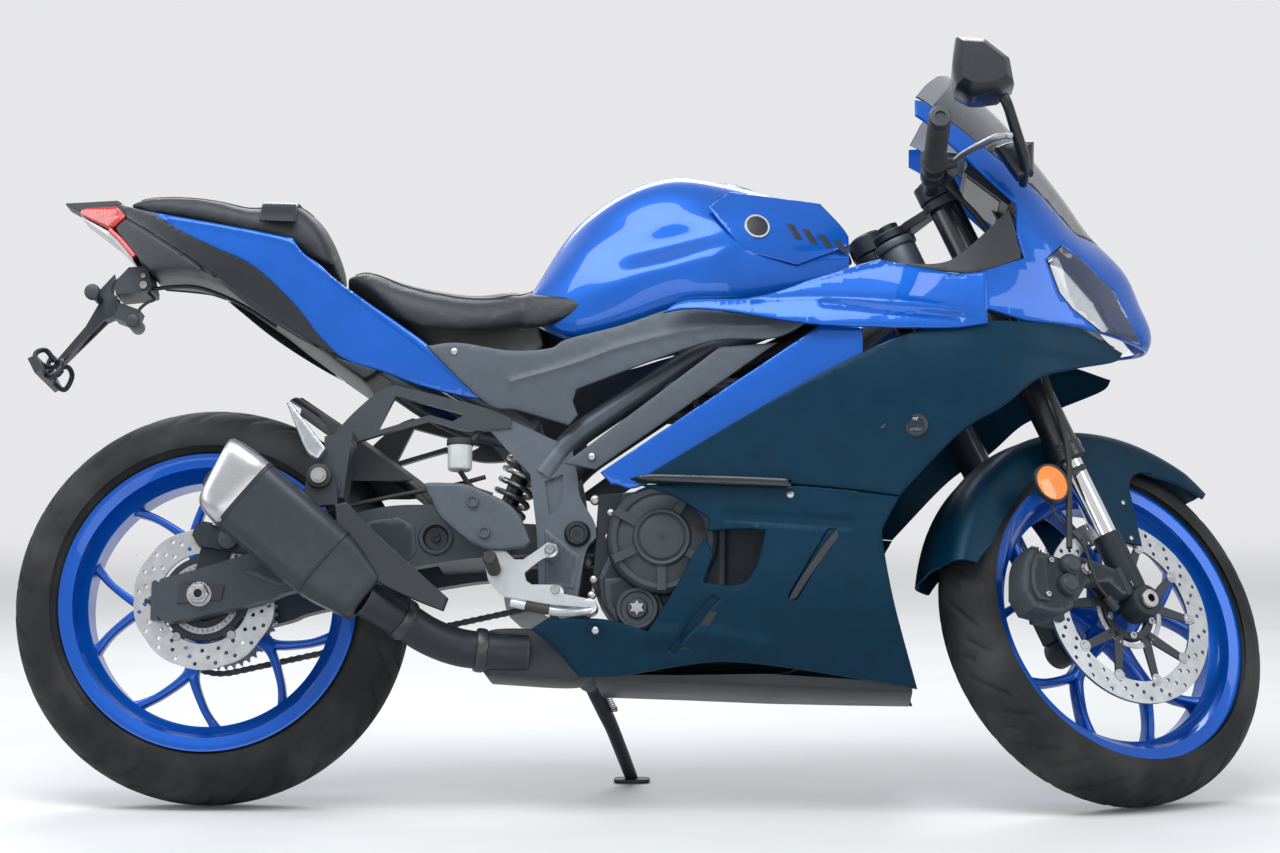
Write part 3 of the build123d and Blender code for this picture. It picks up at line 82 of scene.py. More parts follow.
# ---------------------------------------------------------------- materials
# record slot of each finish that has another name
SLOTS = {"cast_black": "engine_black", "frame_grey": "grey_metal", "satin_black": "black_plastic",
         "silencer": "black_metal", "disc_steel": "steel", "zinc": "steel", "dark_steel": "steel",
         "lens": "clear"}


def add_node(nodes, kind, **inputs):
    """New shader node; its inputs are set by name, with underscores for spaces."""
    node = nodes.new("ShaderNode" + kind)
    for name, value in inputs.items():
        node.inputs[name.replace("_", " ")].default_value = value
    return node


def mixed(nodes, links, share, under, over):
    """Colour that goes from the socket under to the fixed colour over by the socket share."""
    mix = nodes.new("ShaderNodeMix")
    mix.data_type = "RGBA"
    mix.inputs[7].default_value = (*over, 1)
    links.new(share, mix.inputs[0])
    links.new(under, mix.inputs[6])
    return mix.outputs[2]


def finish(name, color, metal=0.0, rough=0.4, coat=0.0, vary=0.12, grain=60.0, bump=0.05, fine=900.0,
           spread=0.12, cells=False, clear=0.0, wear=0.0, stretch=(1, 1, 1), dust=0.0, spec=0.5):
    """Procedural finish: two scales of colour and roughness change, and a fine surface grain."""
    mat = bpy.data.materials.new(name)
    mat.use_nodes = True
    nodes, links = mat.node_tree.nodes, mat.node_tree.links
    nodes.clear()
    out = add_node(nodes, "OutputMaterial")
    skin = add_node(nodes, "BsdfPrincipled", Metallic=metal, Specular_IOR_Level=spec, Coat_Weight=coat,
                    Coat_Roughness=0.03, Transmission_Weight=clear)
    links.new(skin.outputs[0], out.inputs[0])
    coord = add_node(nodes, "TexCoord")
    where = add_node(nodes, "Mapping", Scale=stretch)
    links.new(coord.outputs["Object"], where.inputs[0])
    broad = add_node(nodes, "TexNoise", Scale=grain, Detail=5)
    links.new(where.outputs[0], broad.inputs["Vector"])
    tint = add_node(nodes, "ValToRGB")
    dark, light = tint.color_ramp.elements
    dark.position, light.position = 0.3, 0.7
    dark.color = (*[c * (1 - vary) for c in color], 1)
    light.color = (*[min(1, c * (1 + vary)) for c in color], 1)
    links.new(broad.outputs[0], tint.inputs[0])
    shade = tint.outputs[0]
    if dust:
        cloud = add_node(nodes, "TexNoise", Scale=9, Detail=8)
        links.new(coord.outputs["Object"], cloud.inputs["Vector"])
        settled = add_node(nodes, "MapRange", From_Min=0.45, From_Max=0.75, To_Max=dust)
        links.new(cloud.outputs[0], settled.inputs[0])
        shade = mixed(nodes, links, settled.outputs[0], shade, (0.28, 0.26, 0.23))
    if wear:
        edge = add_node(nodes, "NewGeometry")
        rub = add_node(nodes, "MapRange", From_Min=0.53, From_Max=0.6, To_Max=wear)
        links.new(edge.outputs["Pointiness"], rub.inputs[0])
        shade = mixed(nodes, links, rub.outputs[0], shade, [min(1, c * 2.2 + 0.05) for c in color])
    links.new(shade, skin.inputs["Base Color"])
    slow = add_node(nodes, "TexNoise", Scale=grain * 0.3, Detail=3)
    links.new(where.outputs[0], slow.inputs["Vector"])
    sheen = add_node(nodes, "MapRange", To_Min=max(0.02, rough * (1 - spread)),
                     To_Max=min(1, rough * (1 + spread)))
    links.new(slow.outputs[0], sheen.inputs[0])
    links.new(sheen.outputs[0], skin.inputs["Roughness"])
    pit = add_node(nodes, "TexVoronoi" if cells else "TexNoise", Scale=fine)
    links.new(where.outputs[0], pit.inputs["Vector"])
    relief = add_node(nodes, "Bump", Strength=bump, Distance=0.0006)
    links.new(pit.outputs[0], relief.inputs["Height"])
    links.new(relief.outputs[0], skin.inputs["Normal"])
    mat["slot"] = SLOTS.get(name, name)
    return mat


BLUE = finish("blue", (0.0003, 0.085, 0.42), metal=0.35, rough=0.36, spec=0.15, coat=0.6, vary=0.05, grain=14,
              bump=0.05, fine=1600, cells=True)
RIM_BLUE = finish("rim_blue", (0.0003, 0.075, 0.40), metal=0.4, rough=0.34, spec=0.15, coat=0.5, vary=0.06,
                  grain=20, bump=0.05, fine=1500, cells=True, wear=0.15)
TEAL = finish("teal", (0.0004, 0.022, 0.046), metal=0.15, spec=0.14, rough=0.4, vary=0.12, grain=30,
              bump=0.10, fine=2200, cells=True)
BLACK_METAL = finish("black_metal", (0.008, 0.012, 0.018), metal=0.2, rough=0.45, bump=0.12, fine=1400,
                     wear=0.35, vary=0.2)
CAST_BLACK = finish("cast_black", (0.011, 0.016, 0.022), metal=0.25, spec=0.35, rough=0.5, bump=0.3, fine=700,
                    wear=0.4, vary=0.25)
ARM_GREY = finish("grey_metal", (0.014, 0.02, 0.028), metal=0.3, rough=0.45, bump=0.14, fine=1200, wear=0.3)
FRAME_GREY = finish("frame_grey", (0.045, 0.056, 0.072), metal=0.25, rough=0.42, bump=0.12, fine=1300,
                    wear=0.3)
GREY_PLASTIC = finish("grey_plastic", (0.05, 0.062, 0.08), rough=0.46, bump=0.35, fine=1500, vary=0.1)
BLACK_PLASTIC = finish("black_plastic", (0.008, 0.011, 0.016), rough=0.42, bump=0.28, fine=1300, vary=0.15)
SATIN_BLACK = finish("satin_black", (0.006, 0.009, 0.013), rough=0.28, bump=0.05, fine=1500, vary=0.15)
VINYL = finish("seat", (0.010, 0.013, 0.018), rough=0.5, bump=0.55, fine=620, cells=True, vary=0.18)
RUBBER = finish("rubber", (0.011, 0.011, 0.012), rough=0.62, bump=0.2, fine=900, vary=0.2, dust=0.05)
TYRE = finish("tyre", (0.009, 0.010, 0.012), spec=0.25, rough=0.68, bump=0.3, fine=700, vary=0.25, grain=25,
              dust=0.12)
SILENCER = finish("silencer", (0.022, 0.028, 0.034), metal=0.3, rough=0.4, bump=0.12, fine=1500, wear=0.25)
STEEL = finish("steel", (0.42, 0.42, 0.43), metal=1.0, rough=0.3, bump=0.1, fine=1200, vary=0.08,
               stretch=(1, 1, 14))
DISC_STEEL = finish("disc_steel", (0.40, 0.41, 0.42), metal=1.0, rough=0.33, bump=0.12, fine=900, vary=0.12)
CHROME = finish("chrome", (0.7, 0.71, 0.73), metal=1.0, rough=0.1, bump=0.02, vary=0.05)
ALLOY = finish("alloy", (0.36, 0.375, 0.39), metal=0.9, rough=0.34, bump=0.16, fine=1000, vary=0.1, wear=0.2)
BOLT = finish("zinc", (0.34, 0.34, 0.35), metal=1.0, rough=0.34, vary=0.15, bump=0.1)
DARK_STEEL = finish("dark_steel", (0.06, 0.06, 0.065), metal=0.8, rough=0.4, vary=0.25, bump=0.2)
SCREEN = finish("clear", (0.32, 0.34, 0.37), rough=0.05, clear=1.0, bump=0.01, vary=0.03, spread=0.3)
LENS = finish("lens", (0.95, 0.96, 0.97), rough=0.03, clear=1.0, bump=0.01, vary=0.02, spread=0.3)
REFLECTOR = finish("lamp", (0.72, 0.74, 0.77), metal=1.0, rough=0.12, bump=0.05, fine=150, vary=0.06)
AMBER = finish("amber", (0.9, 0.22, 0.005), rough=0.15, bump=0.9, fine=420, cells=True, coat=1.0, vary=0.15)
RED = finish("red_lens", (0.45, 0.004, 0.006), rough=0.1, bump=0.5, fine=260, cells=True, coat=1.0, vary=0.2)
MILKY = finish("white", (0.50, 0.51, 0.50), rough=0.3, bump=0.05, vary=0.08)

# ---------------------------------------------------------------- maths helpers


def basis(knots, t):
    """Weights of a natural cubic through the knots, one row for each value of t."""
    k = np.asarray(knots, float)
    t = np.asarray(t, float)
    n = len(k)
    h = np.diff(k)
    A = np.eye(n)
    R = np.zeros((n, n))
    for i in range(1, n - 1):
        A[i, i - 1:i + 2] = h[i - 1], 2 * (h[i - 1] + h[i]), h[i]
        R[i, i - 1:i + 2] = 6 / h[i - 1], -6 / h[i - 1] - 6 / h[i], 6 / h[i]
    second = np.linalg.solve(A, R)
    i = np.clip(np.searchsorted(k, t) - 1, 0, n - 2)
    a = (k[i + 1] - t) / h[i]
    b = 1 - a
    rows = np.arange(len(t))
    w = np.zeros((len(t), n))
    w[rows, i] += a
    w[rows, i + 1] += b
    inside = (t >= k[0]) & (t <= k[-1])
    ca = np.where(inside, (a ** 3 - a) * h[i] ** 2 / 6, 0)
    cb = np.where(inside, (b ** 3 - b) * h[i] ** 2 / 6, 0)
    w += ca[:, None] * second[i] + cb[:, None] * second[i + 1]
    return w


def side_width(levels, table):
    """Smooth half width of a body side at any x and z."""
    xs = [row[0] for row in table]
    grid = np.array([row[1] for row in table], float)

    def width(x, z):
        return np.einsum("ij,jk,ik->i", basis(xs, x), grid, basis(levels, z))
    return width


def catmull(a, b, c, d, u):
    """Point between b and c at u on the curve through all four."""
    return 0.5 * (2 * b + (c - a) * u + (2 * a - 5 * b + 4 * c - d) * u ** 2 + (3 * b - a - 3 * c + d)
                  * u ** 3)


def spline(points, count, closed=False):
    """Catmull-Rom curve through points, evenly numbered."""
    p = np.asarray(points, float)
    n = len(p)
    if closed:
        q = np.vstack([p[-1], p, p[0], p[1]])
        t = np.linspace(0, n, count, endpoint=False)
    else:
        q = np.vstack([2 * p[0] - p[1], p, 2 * p[-1] - p[-2]])
        t = np.linspace(0, n - 1, count)
    i = np.minimum(t.astype(int), (n if closed else n - 1) - 1)
    return catmull(q[i], q[i + 1], q[i + 2], q[i + 3], (t - i)[:, None])


def even(points, step, closed=False):
    """Points along a polyline at about one spacing."""
    p = np.asarray(points, float)
    if closed:
        p = np.vstack([p, p[:1]])
    out = []
    for a, b in zip(p[:-1], p[1:]):
        n = max(1, int(math.ceil(np.linalg.norm(b - a) / step)))
        for i in range(n):
            out.append(a + (b - a) * i / n)
    if not closed:
        out.append(p[-1])
    return np.array(out)


def squared(value, power):
    """Sine or cosine pressed towards the corners of a square."""
    return math.copysign(abs(value) ** power, value)


def smooth_outline(points, step, corner=32.0):
    """Closed outline, curved through gentle points and sharp at its corners."""
    p = np.asarray(points, float)
    n = len(p)
    before = p - np.roll(p, 1, 0)
    after = np.roll(p, -1, 0) - p
    turn = np.degrees(np.abs((np.arctan2(after[:, 1], after[:, 0]) - np.arctan2(before[:, 1], before[:, 0])
                              + math.pi) % (2 * math.pi) - math.pi))
    sharp = [i for i in range(n) if turn[i] > corner]
    if len(sharp) < 2:
        return even(spline(p, n * 8, True), step, True)
    out = []
    for a, b in zip(sharp, sharp[1:] + [sharp[0] + n]):
        run = p[[i % n for i in range(a, b + 1)]]
        if len(run) > 2:
            run = spline(run, (len(run) - 1) * 8 + 1)
        out.append(even(run, step)[:-1])
    return np.vstack(out)


def inside(points, loop):
    """True for each point that lies within a closed loop."""
    x, y = points[:, 0][:, None], points[:, 1][:, None]
    a, b = loop, np.roll(loop, -1, 0)
    hit = ((a[:, 1] > y) != (b[:, 1] > y)) & (
        x < (b[:, 0] - a[:, 0]) * (y - a[:, 1]) / (b[:, 1] - a[:, 1] + 1e-12) + a[:, 0])
    return hit.sum(1) % 2 == 1


def away(points, line, closed=True, seam=None):
    """Distance of each point from a polyline, leaving out its runs along the seam."""
    a = line
    b = np.roll(line, -1, 0)
    if not closed:
        a, b = line[:-1], line[1:]
    best = np.full(len(points), 1e9)
    for s, e in zip(a, b):
        if seam is not None and abs(s[0] - seam) < 0.01 and abs(e[0] - seam) < 0.01:
            continue
        d = e - s
        t = np.clip(((points - s) @ d) / (d @ d + 1e-12), 0, 1)
        best = np.minimum(best, np.linalg.norm(points - s - t[:, None] * d, axis=1))
    return best


# ---------------------------------------------------------------- pieces
class Piece:
    """Collects shells in one object."""

    def __init__(self, name, mat, body="chassis", node=None, slot=None, place=PLACE):
        self.name, self.mat, self.body, self.place = name, mat, body, place
        self.nodes = [node] if isinstance(node, str) else list(node or [])
        self.slot = slot or mat["slot"]
        self.verts, self.faces, self.count = [], [], 0

    def add(self, verts, faces, place=None, both=False):
        v = np.asarray(verts, float).reshape(-1, 3)
        local = Matrix.Identity(4) if place is None else place
        for side in ((Matrix.Identity(4), MIRROR) if both else (Matrix.Identity(4),)):
            m = np.array(side @ local)
            w = v @ m[:3, :3].T + m[:3, 3]
            turn = np.linalg.det(m[:3, :3]) < 0
            start = self.count
            self.faces += [[start + i for i in (reversed(f) if turn else f)] for f in faces]
            self.verts.append(w)
            self.count += len(w)
        return self

    def done(self, bevel=0.0, angle=35, segments=2, level=0, weld=False):
        v = np.vstack(self.verts)
        m = np.array(self.place)
        v = v @ m[:3, :3].T + m[:3, 3]
        me = bpy.data.meshes.new(self.name)
        me.from_pydata(v.tolist(), [], self.faces)
        if weld:
            bm = bmesh.new()
            bm.from_mesh(me)
            bmesh.ops.remove_doubles(bm, verts=bm.verts, dist=0.00004)
            bm.to_mesh(me)
            bm.free()
        me.validate()
        if len(me.polygons) < 60000:
            outward(me)
        me.polygons.foreach_set("use_smooth", [True] * len(me.polygons))
        me.set_sharp_from_angle(angle=math.radians(angle))
        me.materials.append(self.mat)
        obj = bpy.data.objects.new(self.name, me)
        bpy.context.scene.collection.objects.link(obj)
        if bevel:
            mod = obj.modifiers.new("edge", "BEVEL")
            mod.width = bevel / 1000
            mod.segments = segments
            mod.limit_method = "ANGLE"
            mod.angle_limit = math.radians(angle)
            mod.harden_normals = True
            mod.use_clamp_overlap = True
        if level:
            mod = obj.modifiers.new("smooth", "SUBSURF")
            mod.levels = mod.render_levels = level
        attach(obj, self.body)
        if self.nodes:
            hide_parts(*self.nodes)
        return obj


def slab(outline, y_from, y_to):
    """Plate with a side outline (x, z) between two Y values."""
    p = np.asarray(outline, float)
    area = 0.5 * np.sum(p[:, 0] * np.roll(p[:, 1], -1) - np.roll(p[:, 0], -1) * p[:, 1])
    if area < 0:
        p = p[::-1]
    lo, hi = sorted((y_from, y_to))
    n = len(p)
    v = [(x, lo, z) for x, z in p] + [(x, hi, z) for x, z in p]
    f = [list(range(n)), list(range(2 * n - 1, n - 1, -1))]
    f += [[i, n + i, n + (i + 1) % n, (i + 1) % n] for i in range(n)]
    return v, f


def turned_faces(count, n):
    """Faces between neighbours in a closed round of rows, each of n points."""
    f = []
    for i in range(count):
        j = (i + 1) % count
        f += [[i * n + k, i * n + k + 1, j * n + k + 1, j * n + k] for k in range(n - 1)]
    return f


def spun(profile, count=48):
    """Body turned about Y through the origin: profile of (radius, y), a closed ring or from axis to axis."""
    v = []
    for i in range(count):
        a = math.radians(360.0 * i / count)
        v += [(r * math.cos(a), y, r * math.sin(a)) for r, y in profile]
    return v, turned_faces(count, len(profile))


def frame_to(start, direction):
    """Matrix whose local Y runs along direction from start."""
    y = Vector(direction).normalized()
    other = Vector((0, 0, 1)) if abs(y.z) < 0.9 else Vector((1, 0, 0))
    x = y.cross(other).normalized()
    z = x.cross(y)
    return Matrix.Translation(Vector(start)) @ Matrix((x, y, z)).transposed().to_4x4()


def rod(start, end, r, r2=None, count=24, soft=1.0):
    """Round bar with softened end edges."""
    start, end = Vector(start), Vector(end)
    length = (end - start).length
    r2 = r if r2 is None else r2
    c = min(soft, r * 0.4, r2 * 0.4, length * 0.4)
    prof = [(0, 0), (r - c, 0), (r - c * 0.3, c * 0.3), (r, c), (r2, length - c),
            (r2 - c * 0.3, length - c * 0.3), (r2 - c, length), (0, length)]
    v, f = spun(prof[::-1], count)
    return v, f, frame_to(start, end - start)


def lattice(grid, wrap=False, cap=False):
    """Surface over a grid of points, rows then columns; wrap joins the last column to the first."""
    g = np.asarray(grid, float)
    rows, cols = g.shape[:2]
    f = []
    for i in range(rows - 1):
        for j in range(cols if wrap else cols - 1):
            k = (j + 1) % cols
            f.append([i * cols + j, i * cols + k, (i + 1) * cols + k, (i + 1) * cols + j])
    if cap:
        f.append(list(range(cols))[::-1])
        f.append([(rows - 1) * cols + j for j in range(cols)])
    return g.reshape(-1, 3), f


def ring_body(rings):
    """Closed body through rings of points, ends closed."""
    return lattice(rings, wrap=True, cap=True)


def sweep(path, radius, along, count):
    """Round bar on a path; radius is one value or a list spread over along, which runs from 0 to 1."""
    radii = np.interp(along, np.linspace(0, 1, np.size(radius)), np.atleast_1d(radius))
    tang = np.gradient(path, axis=0)
    tang /= np.linalg.norm(tang, axis=1)[:, None]
    up = np.array([0, 0, 1.0]) if abs(tang[0][2]) < 0.9 else np.array([1.0, 0, 0])
    side = np.cross(tang[0], up)
    angles = [2 * math.pi * k / count for k in range(count)]
    rings = []
    for here, way, r in zip(path, tang, radii):
        side = side - way * (side @ way)
        side /= np.linalg.norm(side)
        other = np.cross(way, side)
        rings.append([here + r * (math.cos(a) * side + math.sin(a) * other) for a in angles])
    return ring_body(rings)


def tube(points, radius, bend=8, count=16):
    """Round tube along a smooth curve; radius may be a list."""
    path = spline(points, (len(points) - 1) * bend + 1)
    return sweep(path, radius, np.linspace(0, 1, len(path)), count)


def brick(center, size, turn=(0, 0, 0)):
    """Box turned about Y, X, Z by angles in degrees."""
    v = [(x, y, z) for x in (-0.5, 0.5) for y in (-0.5, 0.5) for z in (-0.5, 0.5)]
    v = [(x * size[0], y * size[1], z * size[2]) for x, y, z in v]
    f = [[0, 1, 3, 2], [4, 6, 7, 5], [0, 4, 5, 1], [2, 3, 7, 6], [0, 2, 6, 4], [1, 5, 7, 3]]
    m = Matrix.Translation(Vector(center)) @ turn_by(turn[0], "Y") @ turn_by(turn[1], "X") \
        @ turn_by(turn[2], "Z")
    return v, f, m


def bolt(at, direction, r=6.0, height=5.0, kind="socket"):
    """Small screw head with a hexagon socket, or a hexagon head with a flange, standing on a surface."""
    sock = r * 0.52
    depth = height * 0.6
    v, f, n = [], [], 24
    rings = [(r, 0), (r, height * 0.75), (r * 0.86, height)]
    extra = [(sock, height), (sock, height - depth)]
    if kind == "hex":
        rings = [(r * 1.5, 0), (r * 1.5, height * 0.25)]
        extra = [(r * 1.12, height * 0.25), (r * 1.12, height)]
    for rad, y in rings:
        for k in range(n):
            a = 2 * math.pi * k / n
            v.append((rad * math.cos(a), y, rad * math.sin(a)))
    for rad, y in extra:
        for k in range(n):
            a = 2 * math.pi * k / n
            six = math.cos(math.pi / 6) / math.cos((a % (math.pi / 3)) - math.pi / 6)
            v.append((rad * six * math.cos(a), y, rad * six * math.sin(a)))
    total = len(rings) + len(extra)
    for i in range(total - 1):
        for k in range(n):
            j = (k + 1) % n
            f.append([i * n + k, (i + 1) * n + k, (i + 1) * n + j, i * n + j])
    f.append([(total - 1) * n + k for k in range(n)])
    return v, f, frame_to(at, direction)


def plane_normals(d):
    """Unit normals of plane directions."""
    return np.stack([-d[:, 1], d[:, 0]], 1) / (np.linalg.norm(d, axis=1)[:, None] + 1e-9)


def triangles(loops, cloud, near, least=0.0):
    """Plane points and triangles, inside the first loop and outside the others, all turned one way."""
    points, edges = [], []
    for loop in loops:
        start = len(points)
        points += [tuple(q) for q in loop]
        edges += [(start + i, start + (i + 1) % len(loop)) for i in range(len(loop))]
    points += [tuple(q) for q in cloud]
    made_v, _, made_f, _, _, _ = delaunay_2d_cdt([Vector(q) for q in points], edges, [], 0, near)
    flat = np.array([tuple(q) for q in made_v])
    tri = np.array([list(t) for t in made_f if len(t) == 3])
    middle = flat[tri].mean(1)
    keep = inside(middle, np.asarray(loops[0], float))
    for loop in loops[1:]:
        keep &= ~inside(middle, np.asarray(loop, float))
    tri = tri[keep]
    a, b, c = flat[tri[:, 0]], flat[tri[:, 1]], flat[tri[:, 2]]
    twice = (b[:, 0] - a[:, 0]) * (c[:, 1] - a[:, 1]) - (b[:, 1] - a[:, 1]) * (c[:, 0] - a[:, 0])
    tri, twice = tri[np.abs(twice) >= least], twice[np.abs(twice) >= least]
    return flat, np.where(twice[:, None] > 0, tri, tri[:, ::-1])


def sheet(outline, surface, thick=3.0, roll=2.5, holes=(), step=11.0, folds=(), corner=32.0, seam=None):
    """Moulded panel on a surface(u, v, depth) inside an outline, with a rolled edge and folds.

    Each fold is (line, half width, depth): a soft groove when depth is positive, a ridge when negative.
    """
    outer = smooth_outline(outline, step * 0.6, corner)
    gaps = [smooth_outline(h, step * 0.5, corner) for h in holes]
    loops = [outer, *gaps]
    lo, hi = outer.min(0), outer.max(0)
    gx, gz = np.meshgrid(np.arange(lo[0], hi[0], step), np.arange(lo[1], hi[1], step * 0.8))
    cloud = [np.stack([gx.ravel(), gz.ravel()], 1)]
    for loop in loops:
        normal = plane_normals(np.roll(loop, -1, 0) - np.roll(loop, 1, 0))
        for offset in (roll * 0.35, roll):
            cloud += [loop + normal * offset, loop - normal * offset]
    for line, half, depth in folds:
        run = even(spline(line, (len(line) - 1) * 8 + 1), step * 0.7)
        normal = plane_normals(np.gradient(run, axis=0))
        for offset in (-1, -0.5, 0, 0.5, 1):
            cloud.append(run + normal * half * offset)
    cloud = np.vstack(cloud)
    keep = inside(cloud, outer)
    for gap in gaps:
        keep &= ~inside(cloud, gap)
    edge = np.min([away(cloud, loop) for loop in loops], 0)
    cloud = cloud[keep & (edge > roll * 0.2)]
    order = np.unique(np.round(cloud / (roll * 0.35)).astype(int), axis=0, return_index=True)[1]
    cloud = cloud[order]
    flat, tri = triangles(loops, cloud, 1e-4, 1e-6)
    edge = np.min([away(flat, loop, True, seam) for loop in loops], 0)
    near = np.clip(edge, 0, roll)
    drop = roll - np.sqrt(np.maximum(0, roll ** 2 - (roll - near) ** 2))
    for line, half, depth in folds:
        run = spline(line, (len(line) - 1) * 8 + 1)
        t = np.clip(away(flat, run, False) / half, 0, 1)
        drop = drop + depth * 0.5 * (1 + np.cos(math.pi * t))
    front = surface(flat[:, 0], flat[:, 1], drop)
    back = surface(flat[:, 0], flat[:, 1], np.full(len(flat), thick))
    n = len(flat)
    faces = tri.tolist() + (tri[:, ::-1] + n).tolist()
    used = {(t[i], t[(i + 1) % 3]): True for t in tri for i in range(3)}
    for a, b in used:
        if (b, a) in used or (seam is not None and abs(flat[a][0] - seam) < 0.01
                              and abs(flat[b][0] - seam) < 0.01):
            continue
        faces.append([int(b), int(a), int(a) + n, int(b) + n])
    return np.vstack([front, back]), faces


def side_surface(levels, table, extra=None):
    """Right side body surface for sheet(): u is x, v is z."""
    width = side_width(levels, table)

    def at(x, z, depth):
        w = width(x, z)
        if extra:
            w = w + extra(x, z)
        return np.stack([x, -(w - depth), z], 1)
    return at


# ---------------------------------------------------------------- camera and light
PALE = (0.80, 0.80, 0.815, 1)                  # colour of the backdrop
CAMERA_AT = Vector((0.900, -5.205, 0.763))     # metres from the rear wheel's foot
CAMERA_YAW, CAMERA_DOWN, LENS_MM, SENSOR_MM = 2.57, -1.91, 96.4, 36
SKY, SKY_POWER = (0.80, 0.84, 0.9, 1), 0.42
LAMP_TINT = (0.93, 0.97, 1.0)
# lamp: name, place, target, width and height in metres, watts
LAMPS = (
    ("key", (-0.6, -1.6, 3.4), (0.0, 0.0, 0.5), (3.6, 1.5), 118),
    ("front", (3.4, -1.8, 2.0), (0.3, 0.0, 0.5), (1.4, 2.4), 42),
    ("back", (-0.4, 2.8, 2.8), (0.0, 0.0, 0.6), (3.2, 1.2), 78),
    ("low", (0.2, -3.6, 0.7), (0.1, 0.0, 0.45), (4.5, 0.8), 26),
    ("rear", (-3.2, -1.2, 1.8), (-0.5, 0.0, 0.5), (1.2, 2.0), 34),
)
FADE_FROM, FADE_TO = 1.4, 7.0                  # metres behind the bike
FLOOR_REACH = 60
scene = bpy.context.scene


def add_camera():
    """Camera at the photograph's view."""
    pitch = turn_by(PITCH, "Y")
    look = pitch @ turn_by(CAMERA_YAW, "Z") @ turn_by(CAMERA_DOWN, "X")
    at = PLACE @ Vector((0, 0, 0)) + pitch.to_3x3() @ CAMERA_AT
    cam = bpy.data.objects.new("camera", bpy.data.cameras.new("camera"))
    scene.collection.objects.link(cam)
    cam.matrix_world = Matrix.Translation(at) @ (look @ turn_by(90, "X"))
    cam.data.lens = LENS_MM
    cam.data.sensor_width = SENSOR_MM
    cam.data.clip_end = 200
    scene.camera = cam


def add_world():
    """Sky that lights the bike; the camera, glossy and clear rays see the plain backdrop."""
    world = bpy.data.worlds.new("studio")
    scene.world = world
    world.use_nodes = True
    nodes, links = world.node_tree.nodes, world.node_tree.links
    nodes.clear()
    out = add_node(nodes, "OutputWorld")
    light = add_node(nodes, "Background", Color=SKY, Strength=SKY_POWER)
    seen = add_node(nodes, "Background", Color=PALE, Strength=1.0)
    path = add_node(nodes, "LightPath")
    seen_by = path.outputs["Is Camera Ray"]
    for ray in ("Is Glossy Ray", "Is Transmission Ray"):
        either = add_node(nodes, "Math")
        either.operation = "MAXIMUM"
        links.new(seen_by, either.inputs[0])
        links.new(path.outputs[ray], either.inputs[1])
        seen_by = either.outputs[0]
    mix = add_node(nodes, "MixShader")
    links.new(seen_by, mix.inputs[0])
    links.new(light.outputs[0], mix.inputs[1])
    links.new(seen.outputs[0], mix.inputs[2])
    links.new(mix.outputs[0], out.inputs[0])


def add_lamps():
    """Area lamps of the studio."""
    for name, where, target, size, power in LAMPS:
        data = bpy.data.lights.new(name, "AREA")
        data.shape = "RECTANGLE"
        data.size, data.size_y = size
        data.energy = power
        data.color = LAMP_TINT
        obj = bpy.data.objects.new(name, data)
        scene.collection.objects.link(obj)
        obj.location = where
        obj.rotation_mode = "QUATERNION"
        obj.rotation_quaternion = (Vector(target) - Vector(where)).to_track_quat("-Z", "Y")


def fade_far(mat):
    """Floor turns into the colour of the backdrop a few metres behind the bike."""
    nodes, links = mat.node_tree.nodes, mat.node_tree.links
    out = next(n for n in nodes if n.type == "OUTPUT_MATERIAL")
    solid = out.inputs[0].links[0].from_socket
    place = add_node(nodes, "TexCoord")
    split = add_node(nodes, "SeparateXYZ")
    ramp = add_node(nodes, "MapRange")
    ramp.interpolation_type = "SMOOTHERSTEP"
    ramp.inputs["From Min"].default_value = FADE_FROM
    ramp.inputs["From Max"].default_value = FADE_TO
    glow = add_node(nodes, "Emission", Color=PALE)
    mix = add_node(nodes, "MixShader")
    links.new(place.outputs["Object"], split.inputs[0])
    links.new(split.outputs["Y"], ramp.inputs["Value"])
    links.new(ramp.outputs[0], mix.inputs[0])
    links.new(solid, mix.inputs[1])
    links.new(glow.outputs[0], mix.inputs[2])
    links.new(mix.outputs[0], out.inputs[0])


def add_floor():
    """Wide pale floor under the bike."""
    far = FLOOR_REACH
    floor = bpy.data.objects.new("floor", bpy.data.meshes.new("floor"))
    floor.data.from_pydata([(-far, -far, 0), (far, -far, 0), (far, far, 0), (-far, far, 0)], [],
                           [[0, 1, 2, 3]])
    mat = finish("floor_pale", (0.74, 0.73, 0.72), rough=0.6, vary=0.03, grain=3, bump=0.02, fine=60)
    fade_far(mat)
    floor.data.materials.append(mat)
    scene.collection.objects.link(floor)


# ---------------------------------------------------------------- bodywork
SIDE_LEVELS = (160, 200, 290, 380, 470, 560, 640, 740)
SIDE = (
    (500, (140, 152, 176, 184, 192, 192, 192, 190)),
    (700, (126, 142, 180, 202, 212, 222, 224, 214)),
    (860, (120, 140, 184, 206, 216, 232, 236, 220)),
    (1000, (116, 136, 182, 204, 214, 230, 232, 214)),
    (1100, (104, 124, 170, 192, 202, 216, 218, 202)),
    (1250, (90, 104, 140, 160, 172, 184, 188, 172)),
    (1420, (60, 70, 80, 90, 96, 100, 98, 84)),
)
UPPER_LEVELS = (690, 740, 790, 850)
UPPER = (
    (700, (200, 196, 172, 150)),
    (850, (224, 214, 190, 164)),
    (1000, (226, 220, 200, 182)),
    (1180, (206, 196, 186, 172)),
)
TAIL_LEVELS = (600, 700, 800, 870, 960)
TAIL = (
    (-260, (16, 20, 24, 26, 26)),
    (-110, (52, 60, 70, 74, 68)),
    (60, (84, 94, 106, 108, 98)),
    (200, (104, 114, 122, 120, 104)),
    (330, (124, 130, 136, 130, 110)),
    (440, (136, 140, 142, 136, 116)),
)
